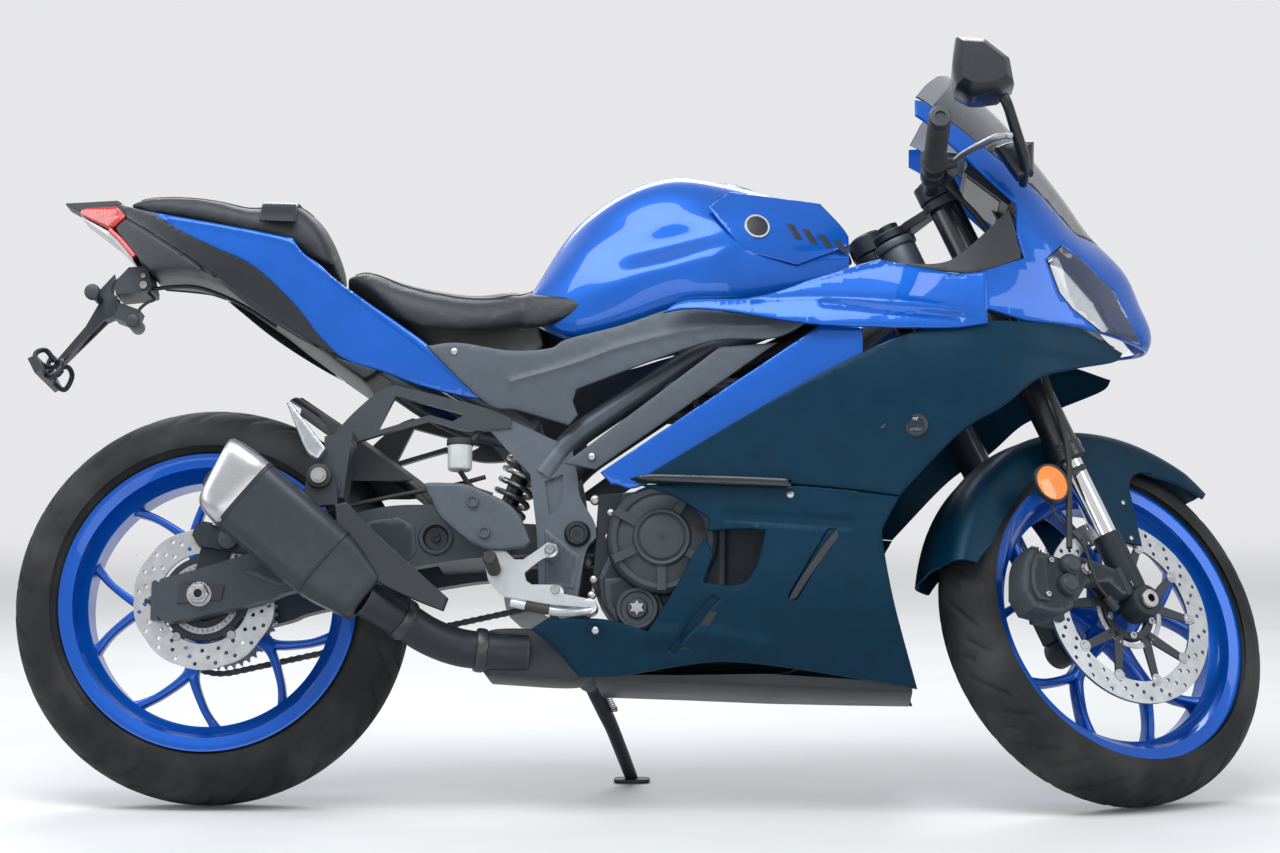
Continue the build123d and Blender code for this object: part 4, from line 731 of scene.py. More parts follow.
# height z, then the plan of the nose: x of the tip, shoulder x and y, middle x and y, back x and y
NOSE = (
    (670, 1400, 1372, 62, 1300, 132, 1150, 196),
    (731, 1455, 1424, 58, 1330, 134, 1150, 208),
    (790, 1440, 1402, 66, 1310, 140, 1150, 196),
    (850, 1412, 1374, 70, 1290, 140, 1130, 186),
    (888, 1376, 1346, 62, 1268, 140, 1110, 182),
    (950, 1332, 1302, 62, 1236, 134, 1090, 176),
    (1020, 1282, 1252, 60, 1192, 122, 1080, 162),
    (1090, 1228, 1200, 56, 1150, 108, 1070, 148),
    (1160, 1152, 1138, 40, 1112, 72, 1050, 112),
)
NOSE_U = 110.0                 # sheet millimetres for each span of the plan
MIDLINE = 3 * NOSE_U
nose_levels = [row[0] for row in NOSE]
nose_plan = np.array([[(bx, by), (mx, my), (sx, sy), (tip, 0)] for _, tip, sx, sy, mx, my, bx, by in NOSE],
                     float)


def nose_at(s, z):
    """Point of the nose plan at span s (0 back, 3 tip) and height z."""
    ctrl = np.einsum("ij,jkl->ikl", basis(nose_levels, z), nose_plan)
    first = 2 * ctrl[:, 0] - ctrl[:, 1]
    beyond = ctrl[:, 2] * np.array([1, -1])
    q = np.concatenate([first[:, None], ctrl, beyond[:, None]], 1)
    i = np.clip(s.astype(int), 0, 2)
    rows = np.arange(len(s))
    p = catmull(q[rows, i], q[rows, i + 1], q[rows, i + 2], q[rows, i + 3], (s - i)[:, None])
    return np.stack([p[:, 0], -p[:, 1], z], 1)


def nose_surface(u, z, depth):
    """Nose surface for sheet(): u runs round the plan, in sheet millimetres."""
    s = np.clip(np.asarray(u) / NOSE_U, 0, 3)
    z = np.asarray(z, float)
    here = nose_at(s, z)
    e = 0.02
    along = nose_at(np.minimum(s + e, 3), z) - nose_at(np.maximum(s - e, 0), z)
    up = nose_at(s, z + 4) - nose_at(s, z - 4)
    normal = np.cross(along, up)
    normal /= np.linalg.norm(normal, axis=1)[:, None] + 1e-9
    flip = np.where(normal[:, 1] > 0, -1.0, 1.0)
    normal *= flip[:, None]
    middle = s >= 2.999
    normal[middle, 1] = 0
    return here - normal * np.asarray(depth)[:, None]


def on_nose(outline):
    """Side outline (x, z) turned into sheet coordinates of the nose."""
    p = even(outline, 6.0, True)
    lo, hi = np.zeros(len(p)), np.full(len(p), 3.0)
    for _ in range(30):
        mid = (lo + hi) / 2
        x = nose_at(mid, p[:, 1])[:, 0]
        lo, hi = np.where(x < p[:, 0], mid, lo), np.where(x < p[:, 0], hi, mid)
    u = (lo + hi) / 2 * NOSE_U
    u[u > MIDLINE - 0.6] = MIDLINE
    out = [(a, b) for a, b in zip(u, p[:, 1])]
    clean = [out[0]]
    for q in out[1:]:
        if math.hypot(q[0] - clean[-1][0], q[1] - clean[-1][1]) > 0.8:
            clean.append(q)
    return np.array(clean)


LAMP = [(1285, 833), (1304, 780), (1324, 757), (1369, 727), (1437, 722), (1408, 772), (1394, 800),
        (1369, 818), (1340, 843), (1310, 859)]
SCREEN_EDGE = [(1087, 1088), (1101, 1087), (1283, 946), (1336, 890), (1400, 884)]
SCREEN_TOP = [(1470, 1165), (1152, 1162), (1125, 1146), (1104, 1120), (1088, 1094)]
SIDE_PANEL = [(667, 472), (692, 492), (999, 668), (1118, 716), (1179, 726), (1250, 729), (1330, 727),
              (1402, 696), (1388, 680), (1321, 659), (1266, 638), (1213, 593), (1148, 550), (1058, 455),
              (895, 470)]
LOWER_PANEL = [(667, 471), (895, 469), (1058, 454), (1036, 412), (1033, 387), (1050, 298), (1086, 177),
               (899, 204), (798, 213), (727, 206), (638, 191), (580, 189), (543, 232), (507, 258), (533, 274),
               (618, 273), (683, 256), (718, 309), (749, 363), (770, 398), (773, 420), (723, 452)]
OIL_WINDOW = [(766, 400), (781, 366), (767, 326), (809, 322), (830, 327), (846, 354), (858, 402), (823, 404)]
UPPER_PANEL = [(700, 736), (740, 742), (802, 736), (939, 712), (1118, 710), (1192, 720), (1192, 806),
               (1161, 802), (1134, 802), (1040, 819), (1023, 820), (939, 793), (844, 760), (738, 758)]
TAIL_PANEL = [(-113, 934), (-86, 924), (123, 876), (140, 852), (167, 832), (204, 799), (332, 708), (420, 630),
              (427, 619), (409, 618), (330, 638), (270, 662), (211, 682), (170, 718), (129, 769), (62, 832),
              (-5, 866), (-55, 893), (-92, 917)]
COVER = [(336, 700), (387, 704), (465, 690), (528, 692), (555, 706), (636, 726), (734, 754), (814, 739),
         (933, 728), (873, 698), (784, 697), (694, 671), (596, 636), (571, 627), (565, 609), (573, 588),
         (559, 572), (481, 596), (430, 609)]


def bodywork():
    """Fairings, tail, covers, nose, screen and headlamps."""
    side = side_surface(SIDE_LEVELS, SIDE)
    p = Piece("side_panel", TEAL, node="side_fairings")
    p.add(*sheet(SIDE_PANEL, side, thick=4, roll=4,
                 folds=[([(1067, 700), (1150, 706), (1225, 700), (1299, 690), (1373, 684)], 26, 2.5)]),
          both=True).done()
    p = Piece("lower_panel", TEAL, node="lower_fairings")
    p.add(*sheet(LOWER_PANEL, side, thick=4, roll=3.5, holes=[OIL_WINDOW],
                 folds=[([(798, 424), (880, 418), (985, 412)], 16, 5), ([(780, 300), (720, 232)], 10, 9),
                        ([(955, 398), (900, 306)], 8, 12), ([(690, 250), (780, 246), (860, 232)], 22, -5)]))
    p.add(*sheet([q for q in LOWER_PANEL if not (q[0] < 660 and q[1] < 275)], side, thick=4, roll=3.5,
                 holes=[OIL_WINDOW], folds=[([(798, 424), (880, 418), (985, 412)], 16, 5),
                                            ([(955, 398), (900, 306)], 8, 12)]), MIRROR).done()

    upper = side_surface(UPPER_LEVELS, UPPER)
    p = Piece("upper_panel", BLUE, node="upper_fairings")
    p.add(*sheet(UPPER_PANEL, upper, thick=5, roll=3,
                 folds=[([(838, 754), (909, 757), (1014, 754), (1119, 745), (1190, 731)], 9, -2.5),
                        ([(838, 757), (909, 783), (1030, 818)], 10, -3),
                        ([(945, 747), (1059, 735), (1149, 729)], 9, 4)]), both=True).done()

    strip = side_surface((470, 560, 640, 720), ((600, (176, 180, 180, 176)), (860, (192, 198, 200, 200)),
                                                (1010, (196, 204, 208, 208))))
    p = Piece("blue_strip", BLUE, node="inner_panels")
    p.add(*sheet([(609, 495), (941, 717), (1004, 712), (1004, 668), (700, 486), (626, 476)], strip, thick=4,
                 roll=3), both=True).done()

    tail = side_surface(TAIL_LEVELS, TAIL)
    p = Piece("tail_side", BLUE, node="tail_panels")
    p.add(*sheet(TAIL_PANEL, tail, thick=4, roll=3,
                 folds=[([(-80, 915), (20, 893), (118, 868), (150, 838), (250, 760), (330, 700), (405, 632)],
                         7, -2)]), both=True).done()

    cover = side_surface((560, 640, 700, 760), ((330, (128, 134, 134, 128)), (480, (142, 150, 150, 142)),
                                                (700, (166, 172, 172, 166)), (940, (206, 210, 210, 204))))
    p = Piece("seat_side_cover", GREY_PLASTIC, node="side_covers")
    p.add(*sheet(COVER, cover, thick=4, roll=3.5,
                 folds=[([(470, 640), (560, 664), (650, 694), (760, 716), (860, 718)], 8, -3)]),
          both=True).done()

    fc = side_surface((490, 600, 700), ((545, (154, 156, 156)), (700, (160, 164, 164)),
                                        (880, (182, 186, 186))))
    p = Piece("frame_side_cover", GREY_PLASTIC, node="frame_covers")
    p.add(*sheet([(552, 513), (573, 528), (788, 690), (876, 694), (601, 503)], fc, thick=4, roll=3),
          both=True).done()

    p = Piece("nose_panel", BLUE, node="nose_cowl")
    region = ([(1185, 746), (1250, 731), (1330, 729), (1440, 716), (1470, 716), (1470, 884)]
              + list(reversed(SCREEN_EDGE)) + [(1087, 1060), (1103, 1050), (1240, 920), (1240, 870),
                                               (1250, 832), (1185, 806)])
    p.add(*sheet(on_nose(region), nose_surface, thick=4, roll=2.5, holes=[on_nose(LAMP)], seam=MIDLINE,
                 corner=40, step=15), both=True).done(weld=True)
    p = Piece("screen", SCREEN, node="windscreen")
    p.add(*sheet(on_nose(SCREEN_EDGE[1:] + SCREEN_TOP), nose_surface, thick=3, roll=1.2, seam=MIDLINE,
                 corner=40, step=15), both=True).done(weld=True)
    p = Piece("lamp_lens", LENS, node="headlamps")
    p.add(*sheet(on_nose(LAMP), nose_surface, thick=2.5, roll=1.5, corner=40, step=14), both=True).done()
    p = Piece("lamp_bowl", REFLECTOR, node="headlamps")
    deep = [(1290, 828), (1306, 786), (1326, 762), (1366, 736), (1425, 732), (1402, 768), (1386, 796),
            (1362, 814), (1336, 838), (1312, 850)]

    def bowl(u, z, depth):
        return nose_surface(u, z, 26 + np.asarray(depth))
    p.add(*sheet(on_nose(deep), bowl, thick=3, roll=2, corner=40, step=14), both=True).done()


TANK_X = (496, 540, 600, 660, 720, 780, 840, 900, 985)
TANK_HALF = (
    ((60, 750), (80, 752), (88, 764), (88, 778), (80, 792), (62, 804), (36, 814), (0, 818)),
    ((92, 722), (106, 728), (113, 748), (113, 775), (103, 812), (80, 850), (44, 884), (0, 895)),
    ((104, 716), (118, 724), (128, 750), (130, 790), (118, 838), (98, 885), (62, 935), (0, 952)),
    ((112, 726), (128, 738), (140, 768), (144, 812), (122, 850), (108, 900), (74, 962), (0, 985)),
    ((124, 744), (140, 756), (152, 784), (156, 826), (130, 862), (120, 912), (84, 972), (0, 999)),
    ((132, 752), (148, 772), (156, 802), (157, 842), (142, 872), (126, 910), (84, 966), (0, 988)),
    ((122, 764), (132, 786), (137, 820), (136, 850), (128, 880), (112, 915), (74, 956), (0, 974)),
    ((102, 780), (112, 800), (114, 824), (112, 850), (104, 874), (92, 900), (62, 938), (0, 957)),
    ((76, 806), (84, 826), (87, 838), (87, 850), (80, 862), (68, 880), (44, 896), (0, 904)),
)


def proud(surface, lift):
    """The same surface moved outwards by lift."""
    def out(x, z, depth):
        q = surface(x, z, depth)
        q[:, 1] -= lift
        return q
    return out


tank_side = side_surface((820, 870, 930, 950), ((760, (160, 158, 134, 124)), (870, (129, 127, 108, 98)),
                                                (985, (90, 88, 74, 68))))


def tank():
    """Fuel tank, its side covers and their vents."""
    rows = np.linspace(TANK_X[0], TANK_X[-1], 84)
    ctrl = np.einsum("ij,jkl->ikl", basis(TANK_X, rows), np.array(TANK_HALF, float))
    n = 15 * 6 + 1
    grid = []
    for x, half in zip(rows, ctrl):
        full = np.vstack([half, half[-2::-1] * np.array([-1, 1])])
        grid.append([(x, y, z) for y, z in spline(full, n)])
    v, f = lattice(grid)
    p = Piece("tank", BLUE, node="fuel_tank")
    p.add(v, [face[::-1] for face in f])
    p.add(v, [list(range(n)), [(len(rows) - 1) * n + j for j in range(n)][::-1]])
    p.done(weld=True)
    p = Piece("tank_side_cover", BLUE, node="tank_cover")
    p.add(*sheet([(768, 918), (788, 890), (814, 857), (827, 846), (906, 830), (984, 868), (980, 892),
                  (940, 938), (800, 948)], tank_side, thick=5, roll=3, step=6), both=True).done()
    p = Piece("tank_vents", BLACK_PLASTIC)
    raised = proud(tank_side, 0.8)
    for k in range(4):
        x, top, low = 888 + 24 * k, 897 - 7 * k, 872 - 5 * k
        p.add(*sheet([(x, top), (x + 11, top - 1), (x + 25, low), (x + 14, low)], raised, thick=2, roll=0.4,
                     step=4), both=True)
    p.done()


# ---------------------------------------------------------------- wheels
TREAD_STEPS, TREAD_COLUMNS, TREAD_REPEATS, GROOVE = 430, 41, 15, 4.2
# tread cut: place along the repeat, start and end across, sweep, half width
CUTS = ((0.0, 0.10, 0.80, 0.30, 2.9), (0.42, 0.42, 0.92, 0.24, 2.6), (0.72, 0.16, 0.52, 0.20, 2.0))
SEAT_RADIUS, EDGE_RADIUS = 216, 231            # rim's bead seat and edge
# wheel: tyre radius, half width and crown drop; half widths of rim, and of hub; spoke angle
REAR = dict(radius=308, half=70, drop=52, rim=58, spoke=38, hub=70)
FRONT = dict(radius=287, half=56, drop=42, rim=46, spoke=20, hub=58)


def tyre(name, wheel, place, body, node, turn):
    """Tyre with cut grooves; turn is the sign of the tread's sweep."""
    R, half, drop, bead = wheel["radius"], wheel["half"], wheel["drop"], wheel["rim"] - 6
    round_r = (half ** 2 + drop ** 2) / (2 * drop)
    span = math.asin(half / round_r)
    columns = np.linspace(-span, span, TREAD_COLUMNS)
    tread = [(R - round_r + round_r * math.cos(a), round_r * math.sin(a)) for a in columns]
    edge = EDGE_RADIUS
    wall = spline([(R - drop - 1, half), (R - drop - 14, half + 1.2), ((R + edge) / 2 - 10, half - 2),
                   (edge + 14, bead + 8), (edge + 6, bead + 5), (edge, bead)], 20)[1:]
    half_prof = [tuple(w) for w in wall] + [(SEAT_RADIUS, bead), (SEAT_RADIUS, bead - 14), (226, bead - 12)]
    prof = np.array([(r, -y) for r, y in half_prof[::-1]] + tread + half_prof)
    n = TREAD_STEPS
    ang = np.linspace(0, 2 * math.pi, n, endpoint=False)
    rad = np.repeat(prof[:, 0][None], n, 0)
    yy = np.repeat(prof[:, 1][None], n, 0)
    crown = slice(len(half_prof), len(half_prof) + TREAD_COLUMNS)
    t = yy[:, crown] / half
    a = ang[:, None]
    cut = np.zeros_like(t)
    reps = TREAD_REPEATS
    for side in (-1, 1):
        s = np.clip(side * t, 0, 1.2)
        for phase, lo, hi, sweep_by, width in CUTS:
            line = phase * 2 * math.pi / reps + turn * sweep_by * (s ** 1.4)
            if side < 0:
                line = line + math.pi / reps
            off = (a - line + math.pi / reps) % (2 * math.pi / reps) - math.pi / reps
            slope = np.hypot(1, sweep_by * R * 1.4 / half * np.maximum(s, 0.02) ** 0.4)
            dist = np.abs(off) * R / slope
            ends = np.clip((s - lo) / 0.04, 0, 1) * np.clip((hi - s) / 0.04, 0, 1) * (side * t > 0)
            cut = np.maximum(cut, ends * np.clip(1.35 - dist / width, 0, 1))
    rad[:, crown] -= GROOVE * cut
    # fine rings on the side walls
    for r0 in (252, 262, R - drop - 8):
        bump = 0.9 * np.clip(1 - np.abs(prof[:, 0] - r0) / 2.4, 0, 1)
        yy += np.sign(prof[:, 1])[None] * bump[None]
    v = np.stack([rad * np.cos(ang)[:, None], yy, rad * np.sin(ang)[:, None]], 2)
    faces = turned_faces(n, len(prof))
    p = Piece(name, TYRE, body=body, node=node, place=place)
    p.add(v.reshape(-1, 3), faces)
    return p.done(angle=50)


def spoke_bar(stations, count=20):
    """Cast bar through stations of (x, z, width, thickness) seen along Y."""
    s = np.array(stations, float)
    path = spline(s, (len(s) - 1) * 5 + 1)
    d = np.gradient(path[:, :2], axis=0)
    d /= np.linalg.norm(d, axis=1)[:, None]
    grid = []
    for (x, z, w, t), (dx, dz) in zip(path, d):
        row = []
        for k in range(count):
            a = 2 * math.pi * k / count
            c, q = squared(math.cos(a), 0.55), squared(math.sin(a), 0.55)
            row.append((x - dz * c * w / 2, q * t / 2, z + dx * c * w / 2))
        grid.append(row)
    return lattice(grid, wrap=True, cap=True)


def polar(radius, degrees):
    """Plane point at a radius and an angle."""
    return radius * math.cos(math.radians(degrees)), radius * math.sin(math.radians(degrees))


def there_and_back(half):
    """Profile followed by its mirror image about the wheel's middle."""
    return half + [(r, -y) for r, y in half[::-1]]


def rim(name, wheel, place, body, node):
    """Cast rim: barrel, hub and five forked spokes."""
    w, hub = wheel["rim"], wheel["hub"]
    p = Piece(name, RIM_BLUE, body=body, node=node, place=place)
    edge = EDGE_RADIUS
    outer = there_and_back([(edge, -w), (edge, -w + 5), (226, -w + 7), (217, -w + 8), (215, -w + 20),
                            (206, -w + 26), (198, -w + 32)])
    outer += there_and_back([(227, w + 0.5), (221, w - 1), (210, w - 4), (206, w - 12), (203, w - 20),
                             (190, w - 30)]) + [(edge, -w)]
    p.add(*spun(outer, 160))
    hubs = there_and_back([(10.2, -hub), (30, -hub), (34, -hub + 4), (35, -hub + 18), (29, -22), (33, -12)])
    hubs.append((10.2, -hub))
    p.add(*spun(hubs, 64))
    for k in range(5):
        mid = wheel["spoke"] + 72 * k
        stem = [(*polar(22, mid), 44, 34), (*polar(40, mid), 34, 31), (*polar(70, mid), 25, 28),
                (*polar(100, mid), 24, 27), (*polar(118, mid), 27, 26)]
        p.add(*spoke_bar(stem))
        for side in (-1, 1):
            arm = [(*polar(96, mid), 20, 26), (*polar(122, mid + side * 4.5), 15, 25),
                   (*polar(160, mid + side * 13), 12.5, 25), (*polar(186, mid + side * 18.5), 15, 29),
                   (*polar(199, mid + side * 20.5), 26, 36)]
            p.add(*spoke_bar(arm))
    return p.done(angle=40)


def hole(x, z, r, count):
    """Round loop of points that runs against an outline."""
    turns = [2 * math.pi * k / count for k in range(count)]
    return [(x + r * math.cos(a), z + r * math.sin(a)) for a in turns][::-1]


def cut_plate(loops, y0, y1):
    """Plate between two Y values: the first loop is its outline, the rest are holes."""
    flat, tri = triangles(loops, (), 1e-5)
    lo, hi = sorted((y0, y1))
    n = len(flat)
    v = [(x, lo, z) for x, z in flat] + [(x, hi, z) for x, z in flat]
    f = tri.tolist() + (tri[:, ::-1] + n).tolist()
    used = {(t[i], t[(i + 1) % 3]) for t in tri.tolist() for i in range(3)}
    for s, e in used:
        if (e, s) not in used:
            f.append([e, s, s + n, e + n])
    return v, f


def wheels():
    """Tyres and rims of both wheels."""
    tyre("rear_tread", REAR, REAR_WHEEL, "rear_wheel", "rear_tyre", 1)
    tyre("front_tread", FRONT, FRONT_WHEEL, "front_wheel", "front_tyre", 1)
    rim("rear_cast_rim", REAR, REAR_WHEEL, "rear_wheel", "rear_rim")
    rim("front_cast_rim", FRONT, FRONT_WHEEL, "front_wheel", "front_rim")


# ---------------------------------------------------------------- seats and tail
def half_ring(x, half, count=72):
    """Smooth closed ring at x from a right half outline (y, z), bottom to top."""
    half = np.asarray(half, float)
    right = half * np.array([-1, 1])
    left = half[-2:0:-1]
    curve = spline(np.vstack([right, left]), count, True)
    return [(x, y, z) for y, z in curve]


def table_rings(xs, table, steps, count=72):
    """Rings at even steps of x through a table of half outlines."""
    rows = np.linspace(xs[0], xs[-1], steps)
    halves = np.einsum("ij,jkl->ikl", basis(xs, rows), np.array(table, float))
    return [half_ring(x, half, count) for x, half in zip(rows, halves)]


def cushion(name, shells, node, limit, pressure, held):
    """Padded seat: closed shells are remeshed as one, blown up as cloth and held within a few millimetres."""
    m = np.array(PLACE)
    verts, faces, start = [], [], 0
    for v, f in shells:
        v = np.asarray(v, float)
        verts.append(v @ m[:3, :3].T + m[:3, 3])
        faces += [[start + i for i in face] for face in f]
        start += len(v)
    me = bpy.data.meshes.new(name)
    me.from_pydata(np.vstack(verts).tolist(), [], faces)
    outward(me)
    obj = bpy.data.objects.new(name, me)
    scene.collection.objects.link(obj)
    even_out = obj.modifiers.new("even", "REMESH")
    even_out.mode = "VOXEL"
    even_out.voxel_size = 0.006
    obj.data = bpy.data.meshes.new_from_object(obj.evaluated_get(bpy.context.evaluated_depsgraph_get()))
    obj.modifiers.clear()
    count = len(obj.data.vertices)
    rest = np.empty(count * 3)
    obj.data.vertices.foreach_get("co", rest)
    rest = rest.reshape(-1, 3)
    back = np.linalg.inv(m)
    bike = rest @ back[:3, :3].T + back[:3, 3]
    group = obj.vertex_groups.new(name="held")
    group.add(np.nonzero(held(bike))[0].tolist(), 1.0, "ADD")
    swell = obj.modifiers.new("swell", "CLOTH")
    swell.settings.use_pressure = True
    swell.settings.uniform_pressure_force = pressure
    swell.settings.effector_weights.gravity = 0
    swell.settings.vertex_group_mass = "held"
    swell.point_cache.frame_start, swell.point_cache.frame_end = 1, 20
    for k in range(1, 21):
        scene.frame_set(k)
    done = obj.evaluated_get(bpy.context.evaluated_depsgraph_get())
    blown = np.empty(count * 3)
    done.data.vertices.foreach_get("co", blown)
    obj.modifiers.clear()
    scene.frame_set(1)
    move = blown.reshape(-1, 3) - rest
    far = np.linalg.norm(move, axis=1)[:, None]
    move *= np.minimum(1, limit / 1000 / np.maximum(far, 1e-9))
    obj.data.vertices.foreach_set("co", (rest + move).ravel())
    obj.data.materials.clear()
    obj.data.materials.append(VINYL)
    obj.data.polygons.foreach_set("use_smooth", [True] * len(obj.data.polygons))
    soften = obj.modifiers.new("soften", "SMOOTH")
    soften.factor, soften.iterations = 0.5, 4
    finer = obj.modifiers.new("finer", "SUBSURF")
    finer.levels = finer.render_levels = 1
    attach(obj, "chassis")
    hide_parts(node)
    return obj


def outward(me):
    """Turn all faces of a mesh to the outside."""
    bm = bmesh.new()
    bm.from_mesh(me)
    bmesh.ops.recalc_face_normals(bm, faces=bm.faces)
    bm.to_mesh(me)
    bm.free()


def lay_on(obj, points, direction, lift=0.0, back=60.0):
    """Points (bike frame) moved along a direction until they meet a finished piece."""
    tree_mesh = bpy.data.meshes.new_from_object(obj.evaluated_get(bpy.context.evaluated_depsgraph_get()))
    bm = bmesh.new()
    bm.from_mesh(tree_mesh)
    tree = BVHTree.FromBMesh(bm)
    inv = PLACE.inverted()
    way = Vector(direction).normalized()
    row_way = (PLACE.to_3x3() @ way).normalized()
    out = []
    for q in points:
        hit = tree.ray_cast(PLACE @ (Vector(q) - way * back), row_way)[0]
        if hit is not None:
            out.append(inv @ hit - way * lift)
    bm.free()
    bpy.data.meshes.remove(tree_mesh)
    return np.array([tuple(p) for p in out])


def seats():
    """Rider's and pillion's pads, their seams and the strap."""
    xs = (200, 236, 290, 350, 420, 470, 504)
    table = (((0, 812), (34, 812), (50, 816), (56, 824), (44, 834), (22, 839), (0, 841)),
             ((0, 790), (60, 790), (86, 794), (96, 806), (78, 823), (40, 831), (0, 832)),
             ((0, 744), (96, 746), (118, 756), (124, 776), (106, 800), (56, 811), (0, 813)),
             ((0, 726), (108, 727), (128, 738), (132, 760), (114, 784), (62, 796), (0, 798)),
             ((0, 726), (102, 727), (120, 736), (125, 756), (106, 780), (60, 791), (0, 793)),
             ((0, 734), (92, 736), (106, 746), (110, 764), (94, 788), (54, 802), (0, 805)),
             ((0, 744), (84, 746), (97, 756), (99, 772), (82, 795), (46, 809), (0, 812)),)
    wing = side_surface((720, 760, 800), ((480, (104, 108, 98)), (540, (118, 121, 114)),
                                          (600, (126, 128, 122))))
    wing_v, wing_f = sheet([(486, 734), (523, 737), (584, 759), (595, 769), (584, 778), (486, 791)], wing,
                           thick=22, roll=9, step=7)
    mirrored = np.asarray(wing_v) * np.array([1, -1, 1])
    rider = cushion("rider_seat_pad", [ring_body(table_rings(xs, table, 60)), (wing_v, wing_f),
                                       (mirrored, [face[::-1] for face in wing_f])],
                    "rider_seat", 5, 4, lambda p: (p[:, 2] < 738) | (p[:, 0] > 490))
    xs = (-148, -130, -90, 0, 70, 118, 150, 172, 186)
    table = (((0, 940), (34, 939), (44, 941), (48, 944), (42, 948), (24, 950), (0, 951)),
             ((0, 934), (52, 932), (62, 936), (65, 942), (56, 949), (32, 953), (0, 954)),
             ((0, 924), (62, 922), (74, 927), (78, 937), (68, 949), (40, 955), (0, 956)),
             ((0, 904), (74, 902), (88, 908), (92, 922), (82, 938), (48, 945), (0, 947)),
             ((0, 886), (82, 884), (96, 890), (100, 908), (88, 928), (54, 937), (0, 939)),
             ((0, 872), (84, 868), (98, 876), (101, 898), (88, 928), (54, 939), (0, 941)),
             ((0, 852), (82, 850), (94, 858), (96, 880), (82, 908), (48, 919), (0, 921)),
             ((0, 840), (78, 840), (88, 846), (89, 860), (76, 878), (44, 888), (0, 890)),
             ((0, 836), (66, 836), (76, 839), (77, 844), (66, 849), (40, 853), (0, 854)),)
    pillion = cushion("pillion_seat_pad", [ring_body(table_rings(xs, table, 76))], "pillion_seat", 4, 4,
                      lambda p: p[:, 2] < 850 + 0.5 * np.clip(120 - p[:, 0], 0, 200) * 0.45)

    p = Piece("seat_seams", RUBBER, slot="seat")
    for side in (-1, 1):
        line = spline([(214, side * 44, 830), (262, side * 78, 816), (330, side * 98, 796),
                       (420, side * 96, 786), (500, side * 74, 806)], 60)
        run = lay_on(rider, line, (0, 0, -1), 0.2)
        if len(run) > 6:
            p.add(*tube(run[::2], 1.3, 2, 8))
        line = spline([(-128, side * 46, 950), (-60, side * 60, 948), (30, side * 68, 940),
                       (110, side * 70, 932), (150, side * 62, 910)], 60)
        run = lay_on(pillion, line, (0, 0, -1), 0.2)
        if len(run) > 6:
            p.add(*tube(run[::2], 1.2, 2, 8))
    p.done()

    # strap across the pillion seat
    arch = [(98, -112, 902), (98, -101, 920), (98, -84, 937), (99, -50, 944), (100, 0, 947), (99, 50, 944),
            (98, 84, 937), (98, 101, 920), (98, 112, 902)]
    path = spline(arch, 80)
    grid = []
    for q in path:
        width = 25 + 4 * abs(q[1]) / 100
        out = Vector((0, q[1], (q[2] - 880) * 0.9)).normalized()
        row = []
        for du, dn in ((-1, 0), (-0.9, 3.4), (0.9, 3.4), (1, 0), (0.9, -2), (-0.9, -2)):
            row.append((q[0] + du * width, q[1] + out.y * dn, q[2] + out.z * dn - du * width * 0.03))
        grid.append(row)
    p = Piece("seat_strap", SATIN_BLACK, slot="seat")
    p.add(*lattice(grid, wrap=True, cap=True)).done(bevel=0.8)


def profile_body(xs, top, bottom, width, inset):
    """Closed body with a top and bottom line and the width of a side surface, less an inset."""
    share = np.array([(0, 0), (0.5, 0), (0.8, 0.01), (0.93, 0.045), (0.99, 0.12), (1, 0.25), (1, 0.5),
                      (1, 0.76), (0.99, 0.88), (0.94, 0.955), (0.82, 0.99), (0.5, 1.0), (0, 1)])
    rings = []
    for x in xs:
        zt, zb = np.interp(x, *np.array(top, float).T), np.interp(x, *np.array(bottom, float).T)
        z = zb + share[:, 1] * max(zt - zb, 0.6)
        y = share[:, 0] * np.maximum(width(np.full(len(z), x), z) - inset, 1)
        rings.append(half_ring(x, np.stack([y, z], 1), 64))
    return ring_body(rings)


